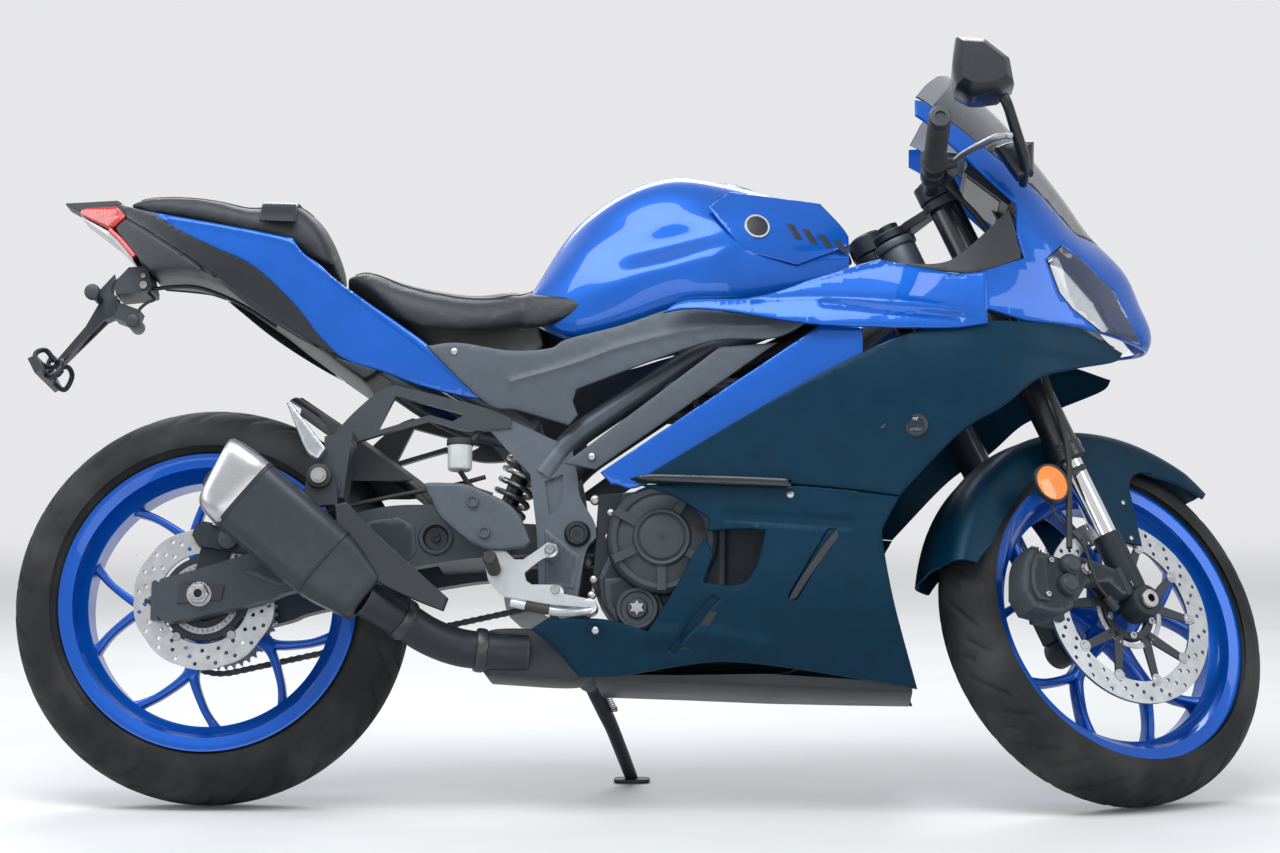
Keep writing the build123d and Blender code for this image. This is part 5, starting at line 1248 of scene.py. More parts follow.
def tail():
    """Tail core and flanks, tail lamp and its cover."""
    width = side_width(TAIL_LEVELS, TAIL)
    top = [(-254, 956), (-165, 956), (-148, 938), (-90, 920), (60, 882), (118, 862), (140, 838), (180, 810),
           (226, 768), (260, 738), (272, 690)]
    low = [(-254, 953), (-160, 902), (-127, 852), (-106, 834), (-53, 832), (-23, 827), (20, 808), (94, 756),
           (128, 729), (241, 648), (272, 664)]
    p = Piece("tail_core", BLACK_PLASTIC, node="tail_undertray")
    p.add(*profile_body(np.linspace(-254, 272, 110), top, low, width, 4.5))
    p.done()
    flank = side_surface(TAIL_LEVELS, TAIL, lambda x, z: -1.5)
    p = Piece("tail_flank", SATIN_BLACK)
    p.add(*sheet([(-176, 950), (-96, 925), (-55, 900), (62, 838), (129, 774), (170, 722), (211, 686),
                  (270, 664), (262, 668), (175, 700), (72, 762), (-20, 834), (-100, 890), (-152, 924),
                  (-170, 908), (-180, 914), (-166, 944)], flank, thick=4, roll=3), both=True).done()
    p = Piece("tail_belly", BLACK_PLASTIC)
    p.add(*sheet([(-152, 922), (-100, 887), (-20, 831), (72, 759), (175, 697), (262, 665), (241, 652),
                  (128, 731), (94, 757), (20, 809), (-23, 828), (-53, 833), (-106, 835), (-128, 856),
                  (-168, 906)], flank, thick=4, roll=3), both=True).done()

    p = Piece("lamp_red", RED, node="tail_lamp")
    p.add(*profile_body(np.linspace(-227, -152, 40), [(-227, 942), (-216, 945), (-166, 945), (-152, 927)],
                        [(-227, 934), (-214, 926), (-178, 905), (-170, 906), (-152, 922)], width, 0.5))
    for side in (-1, 1):
        strip = [(-176, 905), (-160, 890), (-145, 873), (-133, 858)]
        line = [(x, side * (width(np.array([x]), np.array([z]))[0] - 2.5), z) for x, z in strip]
        p.add(*tube(line, 4.2, 6, 12))
    p.done()
    p = Piece("lamp_cover", MILKY)
    p.add(*profile_body(np.linspace(-226, -136, 40), [(-226, 933), (-214, 925), (-178, 904), (-150, 876),
                                                      (-136, 856)],
                        [(-226, 929), (-170, 888), (-150, 866), (-136, 852)], width, 5.5))
    p.done()


def plate_bracket():
    """Number plate bracket with its lamp, indicator stubs, lead and bolts."""
    p = Piece("plate_bracket_parts", BLACK_METAL, node="plate_bracket")
    p.add(*slab([(-147, 848), (-118, 850), (-110, 820), (-110, 812), (-127, 808), (-166, 804), (-168, 816),
                 (-164, 829)], -36, 36))
    for side in (-1, 1):
        p.add(*slab([(-197, 815), (-173, 842), (-171, 832), (-178, 824), (-179, 813), (-168, 806),
                     (-168, 776), (-186, 768), (-209, 744), (-248, 704), (-268, 688), (-262, 700),
                     (-216, 757), (-197, 793)], side * 10, side * 15))
    p.add(*slab([(-196, 800), (-168, 800), (-168, 776), (-186, 768), (-190, 772)], -10, 10))
    p.add(*slab([(-214, 757), (-250, 712), (-262, 698), (-256, 694), (-246, 704), (-210, 748)], -10, 10))
    for side in (-1, 1):
        p.add(*rod((-196, side * 12, 800), (-196, side * 66, 800), 6.5))
        p.add(*rod((-196, side * 60, 800), (-196, side * 76, 800), 12.5, soft=4))
        p.add(*tube([(-262, side * 16, 700), (-275, side * 26, 716), (-286, side * 44, 708),
                     (-284, side * 46, 694), (-268, side * 30, 688), (-258, side * 16, 692)], 4.2, 6, 10))
        p.add(*tube([(-262, side * 10, 694), (-250, side * 24, 700), (-246, side * 40, 688),
                     (-258, side * 46, 668), (-272, side * 30, 676), (-266, side * 14, 688)], 4.2, 6, 10))
    bar_turn = 28
    p.add(*brick((-280, 0, 684), (14, 150, 26), (-bar_turn, 0, 0)))
    p.add(*tube([(-118, -18, 812), (-108, -20, 800), (-118, -22, 794), (-130, -20, 784), (-140, -14, 768),
                 (-150, -6, 776)], 2.6, 8, 10))
    p.add(*tube([(-112, -20, 816), (-70, -22, 820), (-30, -24, 816), (30, -30, 790), (90, -36, 752)], 3.2, 8,
                10))
    p.add(*brick((-150, 0, 776), (34, 44, 26), (20, 0, 0)))
    p.add(*rod((-140, -30, 764), (-140, 30, 764), 11, soft=3))
    p.done(bevel=1.6)
    p = Piece("plate_bracket_bolts", BOLT)
    for side in (-1, 1):
        p.add(*bolt((-122, side * 36, 819), (0, side, 0), 6.5, 4))
        p.add(*bolt((-123, side * 36, 834), (0, side, 0), 4.2, 3))
    p.done()


# ---------------------------------------------------------------- silencer and exhaust
CAN_FROM, CAN_TO = Vector((84, -228, 446)), Vector((252, -222, 306))
CAN_WAY = (CAN_TO - CAN_FROM).normalized()
CAN_SIDE = Vector((0, -1, 0))
CAN_UP = CAN_SIDE.cross(CAN_WAY).normalized()
CAN_SIDE = CAN_WAY.cross(CAN_UP).normalized()
CAN_LENGTH = (CAN_TO - CAN_FROM).length


def can_ring(t, height, width, slope=0.0):
    """Rounded section across the silencer at a fraction t of its length."""
    power, count = 0.42, 72
    ring = []
    for k in range(count):
        a = 2 * math.pi * k / count
        u = squared(math.cos(a), power) * width / 2
        w = squared(math.sin(a), power) * height / 2
        spot = CAN_FROM + CAN_WAY * (CAN_LENGTH * t + slope * w) + CAN_SIDE * u + CAN_UP * w
        ring.append(tuple(spot))
    return ring


def exhaust():
    """Silencer, heat shield, header pipes and collector."""
    p = Piece("silencer_can", SILENCER, node="silencer")
    stations = [(-0.01, 117, 100), (0.0, 121, 104), (0.03, 122, 105), (0.35, 121, 104), (0.68, 117, 101),
                (0.8, 111, 95), (0.92, 98, 86), (1.02, 86, 78), (1.07, 80, 74), (1.085, 70, 66)]
    p.add(*ring_body([can_ring(t, h, w) for t, h, w in stations]))
    p.done(angle=50)
    p = Piece("silencer_bands", BLACK_METAL)
    for t, h, w in ((0.0, 124.5, 106.5), (0.70, 118, 102)):
        p.add(*ring_body([can_ring(t - 0.001, h - 3, w - 3), can_ring(t, h, w), can_ring(t + 0.028, h, w),
                          can_ring(t + 0.03, h - 3, w - 3)]))
    p.add(*slab([(170, 492), (186, 503), (204, 496), (214, 470), (216, 440), (160, 436)], -200, -188))
    p.done(bevel=2)

    p = Piece("silencer_end", STEEL, node="silencer_cap")
    rings = []
    for t, h, w, slope in ((-0.004, 122, 105, 0), (-0.01, 123.5, 106, 0), (-0.10, 121, 103, -0.05),
                           (-0.2, 116, 97, -0.16), (-0.255, 108, 89, -0.24), (-0.272, 100, 82, -0.25),
                           (-0.268, 92, 74, -0.25), (-0.22, 84, 66, -0.2)):
        rings.append(can_ring(t, h, w, slope=slope))
    p.add(*lattice(np.array(rings), wrap=True))
    n = len(rings[0])
    p.add(rings[-1], [list(range(n))])
    p.done(angle=50)
    p = Piece("silencer_mouth", DARK_STEEL)
    center = CAN_FROM - CAN_WAY * (CAN_LENGTH * 0.2) - CAN_UP * 4
    p.add(*spun([(0, 14), (22, 14), (22, -18), (24, -20), (26, -18), (26, 16), (0, 16)], 48),
          frame_to(center, CAN_WAY))
    p.done()
    p = Piece("silencer_screws", BOLT)
    for x, z in ((70, 433), (52, 404)):
        p.add(*bolt((x, -276, z), (0, -1, 0), 3.2, 2.4))
        p.add(*bolt((x, -178, z), (0, 1, 0), 3.2, 2.4))
    p.add(*bolt((188, -212, 483), (0, -1, 0), 8, 6, "hex"))
    p.done()
    p = Piece("silencer_mount", RUBBER)
    p.add(*rod((188, -198, 483), (188, -210, 483), 19, soft=3))
    p.add(*rod((188, -208, 483), (188, -213, 483), 13, soft=2))
    p.done()

    p = Piece("pipe_guard", BLACK_PLASTIC, node="heat_shield")
    outline = [(218, 432), (236, 437), (268, 403), (330, 346), (391, 292), (384, 273), (340, 290), (300, 308),
               (276, 324), (246, 360), (224, 392)]
    grid = []
    for y, size in ((-236, 0.97), (-240, 1.0), (-248, 1.0), (-252, 0.97)):
        ring = smooth_outline(outline, 7)
        mid = ring.mean(0)
        grid.append([(mid[0] + (x - mid[0]) * size, y, mid[1] + (z - mid[1]) * size) for x, z in ring])
    p.add(*ring_body(grid))
    p.done(bevel=1)

    p = Piece("exhaust_tubes", BLACK_METAL, node="exhaust_pipe")
    for y in (-48, 48):
        p.add(*tube([(925, y, 520), (956, y, 502), (968, y, 466), (964, y, 350), (948, y * 0.98, 284),
                     (900, y * 0.9, 242), (820, y * 0.78 - 20, 232), (640, -44 + y * 0.5, 224),
                     (560, -70 + y * 0.4, 222)], 18, 8, 28))
    p.add(*tube([(500, -128, 226), (450, -138, 228), (400, -150, 232), (356, -170, 246), (314, -194, 270),
                 (262, -221, 297)], 28.5, 8, 36))
    box = [(440, 190), (562, 184), (600, 196), (604, 232), (590, 254), (560, 262), (456, 264), (424, 250),
           (412, 226)]
    rings = []
    for y, size in ((-36, 0.8), (-31, 0.92), (-40, 0.99), (-80, 1.0), (-128, 0.99), (-137, 0.92),
                    (-139, 0.8)):
        ring = smooth_outline(box, 8)
        mid = ring.mean(0)
        rings.append([(mid[0] + (x - mid[0]) * size, y, mid[1] + (z - mid[1]) * size) for x, z in ring])
    p.add(*ring_body(rings[1:]))
    p.done(angle=40)
    p = Piece("exhaust_rings", DARK_STEEL, slot="black_metal")
    for q, way, r in (((318, -192, 268), (-0.72, -0.42, 0.42), 31),
                      ((430, -142, 229), (-0.98, -0.2, 0.08), 32)):
        p.add(*spun([(r - 4, -9), (r, -8), (r + 1.5, -4), (r + 1.5, 4), (r, 8), (r - 4, 9)], 40),
              frame_to(q, way))
    for y in (-48, 48):
        p.add(*spun([(19, -5), (27, -5), (27, 5), (19, 5)], 32), frame_to((930, y, 517), (0.8, 0, -0.5)))
    p.done(bevel=0.8)


def hugger():
    """Shell over the front of the rear wheel."""
    p = Piece("hugger_shell", BLACK_PLASTIC, node="rear_mudguard")
    top = [(126, 642), (160, 619), (200, 592), (260, 550), (318, 508), (342, 486), (356, 468), (362, 440)]
    path = spline(top, 60)
    tang = np.gradient(path, axis=0)
    tang /= np.linalg.norm(tang, axis=1)[:, None]
    normal = np.stack([tang[:, 1], -tang[:, 0]], 1)
    grid = []
    for i, (x, z) in enumerate(path):
        t = i / (len(path) - 1)
        half = 56 + 24 * min(1, t * 4) if t < 0.25 else 80
        shares = np.linspace(-1, 1, 41)
        row = []
        for s in shares:
            drop = 13 * (abs(s) ** 3) - 5 * math.exp(-(s * 5) ** 2)
            row.append((x + normal[i][0] * drop, s * half, z + normal[i][1] * drop))
        for s in shares[::-1]:
            drop = 13 * (abs(s) ** 3) + 3.5
            row.append((x + normal[i][0] * drop, s * (half - 1), z + normal[i][1] * drop))
        grid.append(row)
    p.add(*ring_body(grid))
    for side in (-1, 1):
        p.add(*slab([(165, 606), (193, 562), (191, 509), (210, 498), (292, 498), (318, 500), (252, 546),
                     (198, 584)], side * 78, side * 82))
    p.done(bevel=1.2)


# ---------------------------------------------------------------- engine, frame and rear end
SPIN_REAR = dict(body="rear_wheel", place=REAR_WHEEL)
FRAME_Y = 118
PIVOT_X, PIVOT_Z = 573, 408                    # swingarm bolt
DISH_X, DISH_Z = 358, 402                      # round dish in each swingarm arm
CLUTCH_X, CLUTCH_Z = 703, 396                  # right engine cover
GENERATOR_X, GENERATOR_Z = 760, 390            # left engine cover
OIL_CAP_X, OIL_CAP_Z = 666, 291
CHAIN_Y, CHAIN_PITCH, CHAIN_TEETH = 84, 12.7, 43
CHAIN_FRONT_X, CHAIN_FRONT_Z = 622, 395        # front sprocket
STAND_PIVOT = Vector((580, 112, 217))
STAND_FOOT = Vector((640, 284, 84))
STAND_DOWN = (STAND_FOOT - STAND_PIVOT).normalized()
STAND_PIN = STAND_DOWN.cross(Vector((-0.97, 0.22, 0.08))).normalized()
STEM_BACK = (Vector((WHEELBASE + 95, 0, 0)) - Vector((WHEELBASE, 0, FRONT_AXLE_Z))).dot(
    Vector((math.cos(math.radians(CASTER)), 0, math.sin(math.radians(CASTER)))))


def fillet(points, bend, count=6):
    """Path of straight runs joined by soft bends."""
    p = [np.asarray(q, float) for q in points]
    out = [p[0]]
    for a, b, c in zip(p[:-2], p[1:-1], p[2:]):
        before, after = np.linalg.norm(a - b), np.linalg.norm(c - b)
        d = min(bend, before * 0.48, after * 0.48)
        s, e = b + (a - b) / before * d, b + (c - b) / after * d
        for t in np.linspace(0, 1, count):
            out.append((1 - t) ** 2 * s + 2 * t * (1 - t) * b + t ** 2 * e)
    out.append(p[-1])
    return np.array(out)


def pipe(points, radius, bend=30, count=16):
    """Round tube along straight runs with soft bends."""
    path = fillet(points, bend)
    steps = np.linalg.norm(np.diff(path, axis=0), axis=1)
    return sweep(path, radius, np.concatenate([[0], np.cumsum(steps)]) / steps.sum(), count)


def soft_plate(outline, y0, y1, edge=6.0, step=8.0, corner=32.0):
    """Plate with a side outline whose outer face rolls off softly towards its edge."""
    def face(x, z, depth):
        return np.stack([x, np.full(len(x), y0) + np.sign(y1 - y0) * depth, z], 1)
    return sheet(outline, face, thick=abs(y1 - y0), roll=edge, step=step, corner=corner)


def dome_bolt(at, way, r, h):
    """Round screw head on a surface."""
    v, f = spun([(0, h * 1.35), (r * 0.5, h * 1.25), (r * 0.85, h), (r, h * 0.55), (r, 0), (0, 0)], 24)
    return v, f, frame_to(at, way)


def engine():
    """Engine case with its covers and bolts."""
    p = Piece("engine_case", CAST_BLACK, node="engine")
    p.add(*slab([(604, 470), (596, 330), (640, 262), (860, 250), (905, 300), (890, 440), (820, 490)], -124,
                124))
    p.add(*slab([(715, 470), (850, 440), (905, 300), (930, 440), (955, 560), (905, 655), (760, 640)], -98,
                98))
    for k in range(6):
        z = 505 + 22 * k
        p.add(*brick((835, 0, z), (196 - 3 * k, 205, 6), (8, 0, 0)))
    p.add(*rod((622, 60, 395), (622, 87, 395), 29, soft=3))
    p.done(bevel=7, segments=3)

    p = Piece("engine_side_right", CAST_BLACK)
    p.add(*soft_plate([(640, 470), (625, 392), (604, 339), (612, 300), (636, 268), (686, 262), (760, 262),
                       (800, 300), (800, 420), (760, 480)], -148, -120, 9))
    p.add(*soft_plate([(618, 300), (634, 268), (686, 262), (712, 286), (690, 330), (650, 340), (614, 338)],
                      -156, -140, 6))
    cover = [(0, -184), (31, -184), (33, -183), (33.5, -180), (36, -180), (37, -183), (41, -184), (43, -182),
             (45, -176), (58, -173), (66, -171), (69, -174), (76, -175), (80, -171), (84, -160), (85, -146),
             (85, -124)]
    v, f = spun(cover, 96)
    at = shift(CLUTCH_X, 0, CLUTCH_Z)
    p.add(v, f, at)
    p.add(*slab([(665, 285), (652, 262), (678, 262)], -158, -150))
    for turn in (205, 270, 150, 60, 330):
        x0, z0 = polar(38, turn)
        x1, z1 = polar(78, turn)
        p.add(*brick((CLUTCH_X + (x0 + x1) / 2, -175, CLUTCH_Z + (z0 + z1) / 2), (44, 9, 13), (-turn, 0, 0)))
    p.add(*rod((CLUTCH_X + 8, -140, CLUTCH_Z + 84), (CLUTCH_X + 8, -176, CLUTCH_Z + 84), 14, soft=5))
    p.add(*spun([(0, -166), (14, -166), (15, -164), (17, -160), (24, -160), (26, -163), (30, -163),
                 (33, -158), (34, -140)], 48), shift(OIL_CAP_X, 0, OIL_CAP_Z))
    p.done(bevel=1.6)

    p = Piece("engine_side_left", CAST_BLACK)
    p.add(*spun([(0, 178), (46, 178), (50, 176), (53, 172), (60, 170), (72, 168), (77, 160), (80, 146),
                 (80, 120)], 96), shift(GENERATOR_X, 0, GENERATOR_Z))
    p.add(*soft_plate([(598, 452), (598, 332), (672, 332), (690, 400), (672, 452)], 128, 100, 8))
    for turn in range(0, 360, 60):
        x, z = polar(64, turn + 15)
        p.add(*brick((GENERATOR_X + x, 168, GENERATOR_Z + z), (28, 8, 8), (-turn - 15, 0, 0)))
    p.done(bevel=1.6)

    p = Piece("engine_bolts", BOLT)
    for x, z in ((622, 401), (625, 438), (600, 336), (640, 279), (597, 312), (690, 268)):
        p.add(*dome_bolt((x, -146, z), (0, -1, 0), 6.5, 6))
    for turn in (15, 75, 135, 195, 255, 315):
        x, z = polar(74, turn)
        p.add(*bolt((GENERATOR_X + x, 162, GENERATOR_Z + z), (0, 1, 0), 5, 6))
    star = [polar(12 if k % 2 else 7, 30 * k) for k in range(12)]
    star = [(OIL_CAP_X + x, OIL_CAP_Z + z) for x, z in star]
    p.add(*slab(star, -169, -164))
    p.add(*dome_bolt((599, -120, 462), (0, -1, 0), 8, 6))
    p.done(bevel=0.7)


def radiator():
    """Radiator core with its tanks, pipes and lower hose."""
    p = Piece("radiator_core", BLACK_METAL, node="radiator")
    low, high = np.array((1000, 408.0)), np.array((1036, 644.0))
    way = (high - low) / np.linalg.norm(high - low)
    turn = math.degrees(math.atan2(high[0] - low[0], high[1] - low[1]))
    mid = (low + high) / 2
    p.add(*brick((mid[0], 0, mid[1]), (16, 300, 236), (turn, 0, 0)))
    for k in range(22):
        q = low + way * (8 + 10.3 * k)
        p.add(*brick((q[0] + 1, 0, q[1]), (25, 296, 2.2), (turn, 0, 0)))
    for s in (-1, 1):
        p.add(*brick((mid[0] + 1, s * 157, mid[1]), (32, 14, 240), (turn, 0, 0)))
        p.add(*pipe([(1034, s * 146, 600), (1000, s * 124, 676), (960, s * 96, 770)], 6, 20, 12))
        p.add(*rod((1030, s * 160, 560), (1030, s * 226, 560), 7))
        p.add(*rod((1004, s * 160, 430), (1004, s * 208, 430), 7))
    p.done(bevel=1.5)
    p = Piece("radiator_hose", RUBBER)
    p.add(*pipe([(1004, -130, 424), (950, -130, 330), (880, -110, 306)], 14, 34, 24))
    p.add(*rod((1001, -130, 418), (993, -130, 402), 16, soft=1))
    p.done()


def chassis():
    """Frame tubes, pivot plates and stand ears."""
    p = Piece("frame_tubes", FRAME_GREY, node="frame")
    for s in (-1, 1):
        p.add(*pipe([(520, s * FRAME_Y, 500), (560, s * FRAME_Y, 556), (760, s * FRAME_Y, 694),
                     (960, s * 84, 782), (1078, s * 16, 838)], 19, 44, 28))
        p.add(*pipe([(690, s * FRAME_Y, 642), (860, s * 104, 640), (1094, s * 14, 806)], 14, 44, 24))
        p.add(*pipe([(505, s * 110, 570), (300, s * 100, 686), (228, s * 92, 716)], 12, 60, 20))
        p.add(*pipe([(450, s * 112, 590), (340, s * 102, 622), (238, s * 92, 690)], 10, 60, 20))
    p.add(*rod((300, -100, 684), (300, 100, 684), 9))
    p.add(*rod((500, -FRAME_Y, 520), (500, FRAME_Y, 520), 16))
    p.add(*rod((545, -FRAME_Y, 314), (545, FRAME_Y, 314), 13))
    way = Vector((-math.sin(math.radians(CASTER)), 0, math.cos(math.radians(CASTER))))
    foot = Vector((WHEELBASE, 0, FRONT_AXLE_Z)) + Vector((math.cos(math.radians(CASTER)), 0,
                                                          math.sin(math.radians(CASTER)))) * STEM_BACK
    p.add(*rod(foot + way * 539, foot + way * 683, 30, soft=4))
    p.add(*rod(foot + way * 539, foot + way * 552, 34, soft=3))
    p.add(*rod(foot + way * 670, foot + way * 683, 34, soft=3))
    outer = [(430, 603), (529, 556), (548, 548), (560, 556), (571, 498), (577, 464), (598, 428), (602, 404),
             (586, 380), (575, 312), (516, 311), (512, 400), (506, 452), (500, 500), (420, 590)]
    recess = [(522, 489), (550, 500), (549, 465), (542, 443), (530, 438)]
    low = [(522, 420), (580, 374), (570, 322), (524, 330)]
    loops = [smooth_outline(outer, 8, 34), smooth_outline(recess, 6, 30)[::-1]]
    for s in (-1, 1):
        p.add(*cut_plate([loops[0]], s * 104, s * 126))
        p.add(*cut_plate(loops, s * 125, s * 132))
        p.add(*soft_plate(low, s * 133.5, s * 126, 4))
    ears = STAND_PIN * 5.5
    for s in (-1, 1):
        start = STAND_PIVOT + ears * s
        p.add(*rod(start, start + STAND_PIN * (s * 8), 15))
    p.add(*slab([(540, 318), (580, 318), (590, 262), (560, 262)], 84, 112))
    p.add(*rod((576, 96, 272), STAND_PIVOT + STAND_PIN * 14, 8))
    p.done(bevel=2.2)


def rear_axles():
    """Swingarm bolt and rear axle."""
    p = Piece("pivot_ends", CAST_BLACK, node="rear_spindles", slot="steel")
    for s in (-1, 1):
        p.add(*spun([(0, 7), (11, 7), (12, 9), (16, 9), (18, 7), (20, 3), (20, -1), (0, -1)], 40),
              frame_to((PIVOT_X, s * 132, PIVOT_Z), (0, s, 0)))
        for k in range(6):
            x, z = polar(13.5, 60 * k)
            p.add(*rod((PIVOT_X + x, s * 138, PIVOT_Z + z), (PIVOT_X + x, s * 141.4, PIVOT_Z + z), 2,
                       count=10))
    p.add(*rod((PIVOT_X, -132, PIVOT_Z), (PIVOT_X, 132, PIVOT_Z), 9.8))
    p.done(bevel=0.6)
    p = Piece("rear_axle_parts", BOLT)
    tube_r = [(6.5, -144), (9.9, -144), (9.9, 144), (6.5, 144), (6.5, -144)]
    p.add(*spun(tube_r, 32), REAR_AXLE)
    for s, inner in ((-1, 88.5), (1, 87.5)):
        p.add(*spun([(10, s * inner), (16.5, s * inner), (16.5, s * 99.5), (10, s * 99.5)], 32), REAR_AXLE)
        nut = [(10, s * 131), (19, s * 131), (19, s * 133), (10, s * 133)]
        p.add(*spun(nut, 36), REAR_AXLE)
        p.add(*spun([(10, s * 133), (16.5, s * 133), (16.5, s * 140), (14.5, s * 141.5), (10, s * 141.5)], 6),
              REAR_AXLE)
    p.done(bevel=0.8)


def swingarm():
    """Swingarm with its dishes, adjusters and chain guard."""
    p = Piece("swingarm_arms", ARM_GREY, node="swingarm")
    arm = [(-66, 328), (-64, 280), (-32, 274), (99, 305), (154, 323), (376, 366), (470, 374), (478, 440),
           (347, 453), (239, 441), (67, 376), (-1, 354), (-60, 338)]
    dish, axle = hole(DISH_X, DISH_Z, 19, 32), hole(0, REAR_AXLE_Z, 16.8, 32)
    shape = smooth_outline(arm, 10, 30)
    for s in (-1, 1):
        p.add(*cut_plate([shape], s * 100.5, s * 122))
        p.add(*cut_plate([shape, dish, axle], s * 121.5, s * 129.5))
        panel = [(120, 326), (300, 362), (330, 380), (326, 420), (300, 434), (245, 424), (120, 376),
                 (60, 350)]
        p.add(*soft_plate(panel, s * 131.5, s * 128, 3, 10))
        p.add(*spun([(19, 2.5), (20, 5.5), (25, 5.5), (27, 3), (27, -1)], 40),
              frame_to((DISH_X, s * 128, DISH_Z), (0, s, 0)))
        p.add(*slab([(380, 384), (600, 388), (600, 428), (380, 440)], s * 72, s * 44))
        p.add(*slab([(-66, 334), (-74, 334), (-74, 276), (-64, 278)], s * 128, s * 102))
    p.add(*slab([(350, 378), (430, 384), (430, 440), (350, 450)], -100, 100))
    p.add(*rod((PIVOT_X, -74, PIVOT_Z), (PIVOT_X, 74, PIVOT_Z), 22, soft=2))
    p.done(bevel=3.2, segments=3)
    p = Piece("swingarm_inserts", BLACK_METAL, slot="grey_metal")
    for s in (-1, 1):
        p.add(*spun([(0, 0), (17, 0), (18, 2), (18, -4)], 32),
              frame_to((DISH_X, s * 123.5, DISH_Z), (0, s, 0)))
        p.add(*bolt((DISH_X, s * 123.4, DISH_Z), (0, s, 0), 7, 5))
        p.add(*slab([(-34, 300), (34, 306), (38, 328), (-30, 334)], s * 129.5, s * 132.5))
        for k in range(5):
            p.add(*brick((-24 + 9 * k, s * 133.2, 331 - 0.4 * k), (1.2, 2, 5)))
        p.add(*rod((-72, s * 115, 306), (-86, s * 115, 306), 4))
        p.add(*rod((-74, s * 115, 306), (-79, s * 115, 306), 7.5, count=6))
    p.done(bevel=0.8)

    # chain run guard on top of the left arm
    p = Piece("chain_guard", BLACK_PLASTIC)
    p.add(*slab([(60, 396), (120, 430), (330, 462), (400, 458), (330, 453), (239, 441), (120, 404)], 101,
                104))
    p.add(*slab([(110, 427), (330, 461), (330, 464), (108, 431)], 74, 104))
    p.done(bevel=1)


def rear_disc():
    """Rear disc, its carrier and hub caps."""
    p = Piece("rear_disc_ring", DISC_STEEL, node="rear_disc", **SPIN_REAR)
    count = 240
    wave = [(110 - 2.2 * (1 - abs(math.sin(math.radians(5 * 360 * k / count)))), 360 * k / count)
            for k in range(count)]
    outer = [polar(r, a) for r, a in wave]
    inner = [polar(70, 360 * k / 60) for k in range(60)][::-1]
    loops = [outer, inner]
    for k in range(20):
        loops += [hole(*polar(r, 18 * k + row * 6), 3.1, 12) for row, r in enumerate((80, 91, 101))]
    p.add(*cut_plate(loops, -88, -83))
    p.done(bevel=0.4)
    p = Piece("rear_disc_carrier", BLACK_METAL, **SPIN_REAR)
    p.add(*spun([(35, -86), (64, -86), (66, -84), (66, -80), (50, -76), (44, -71), (35, -71)], 64))
    for k in range(5):
        x, z = polar(70, 72 * k + 20)
        p.add(*brick((x, -84.5, z), (26, 5, 22), (-(72 * k + 20), 0, 0)))
    p.done(bevel=1)
    p = Piece("rear_disc_bolts", BOLT, **SPIN_REAR)
    for k in range(5):
        x, z = polar(71, 72 * k + 20)
        p.add(*bolt((x, -87, z), (0, -1, 0), 7, 4.5))
    for k in range(40):
        x, z = polar(50, 9 * k)
        p.add(*brick((x, -88, z), (6, 2.4, 3), (-9 * k, 0, 0)))
    p.add(*spun([(46, -87), (55, -87), (55, -89.2), (46, -89.2), (46, -87)], 64))
    p.done()
    p = Piece("rear_hub_caps", BLACK_METAL, **SPIN_REAR)
    for s, y in ((-1, -71), (1, 78)):
        p.add(*spun([(17.5, y), (31, y), (33, y - s), (33, y - 3 * s), (17.5, y - 3 * s)], 48))
    p.add(*spun([(12, 70), (41, 70), (42, 72), (42, 79), (40, 81), (12, 81)], 64))
    p.done()


def sprocket():
    """Rear sprocket and its nuts."""
    p = Piece("sprocket_teeth", STEEL, node="rear_sprocket", **SPIN_REAR)
    teeth = CHAIN_TEETH
    outline = []
    for k in range(teeth):
        for da, r in ((-0.5, 82.5), (-0.28, 83.4), (-0.1, 88.6), (0.1, 88.6), (0.28, 83.4)):
            outline.append(polar(r, 360 / teeth * (k + da)))
    loops = [outline]
    for k in range(6):
        loops.append(hole(*polar(60, 60 * k), 12, 24))
    loops.append([polar(11, 360 * k / 32) for k in range(32)][::-1])
    p.add(*cut_plate(loops, 81, 87))
    p.done(bevel=0.5)
    p = Piece("sprocket_nuts", BOLT, **SPIN_REAR)
    for k in range(6):
        x, z = polar(36, 60 * k + 30)
        p.add(*bolt((x, 87, z), (0, 1, 0), 6, 5, "hex"))
    x, z = polar(140, 147)
    p.add(*rod((x, -30, z), (x, -30.1, z), 1))
    p.done()


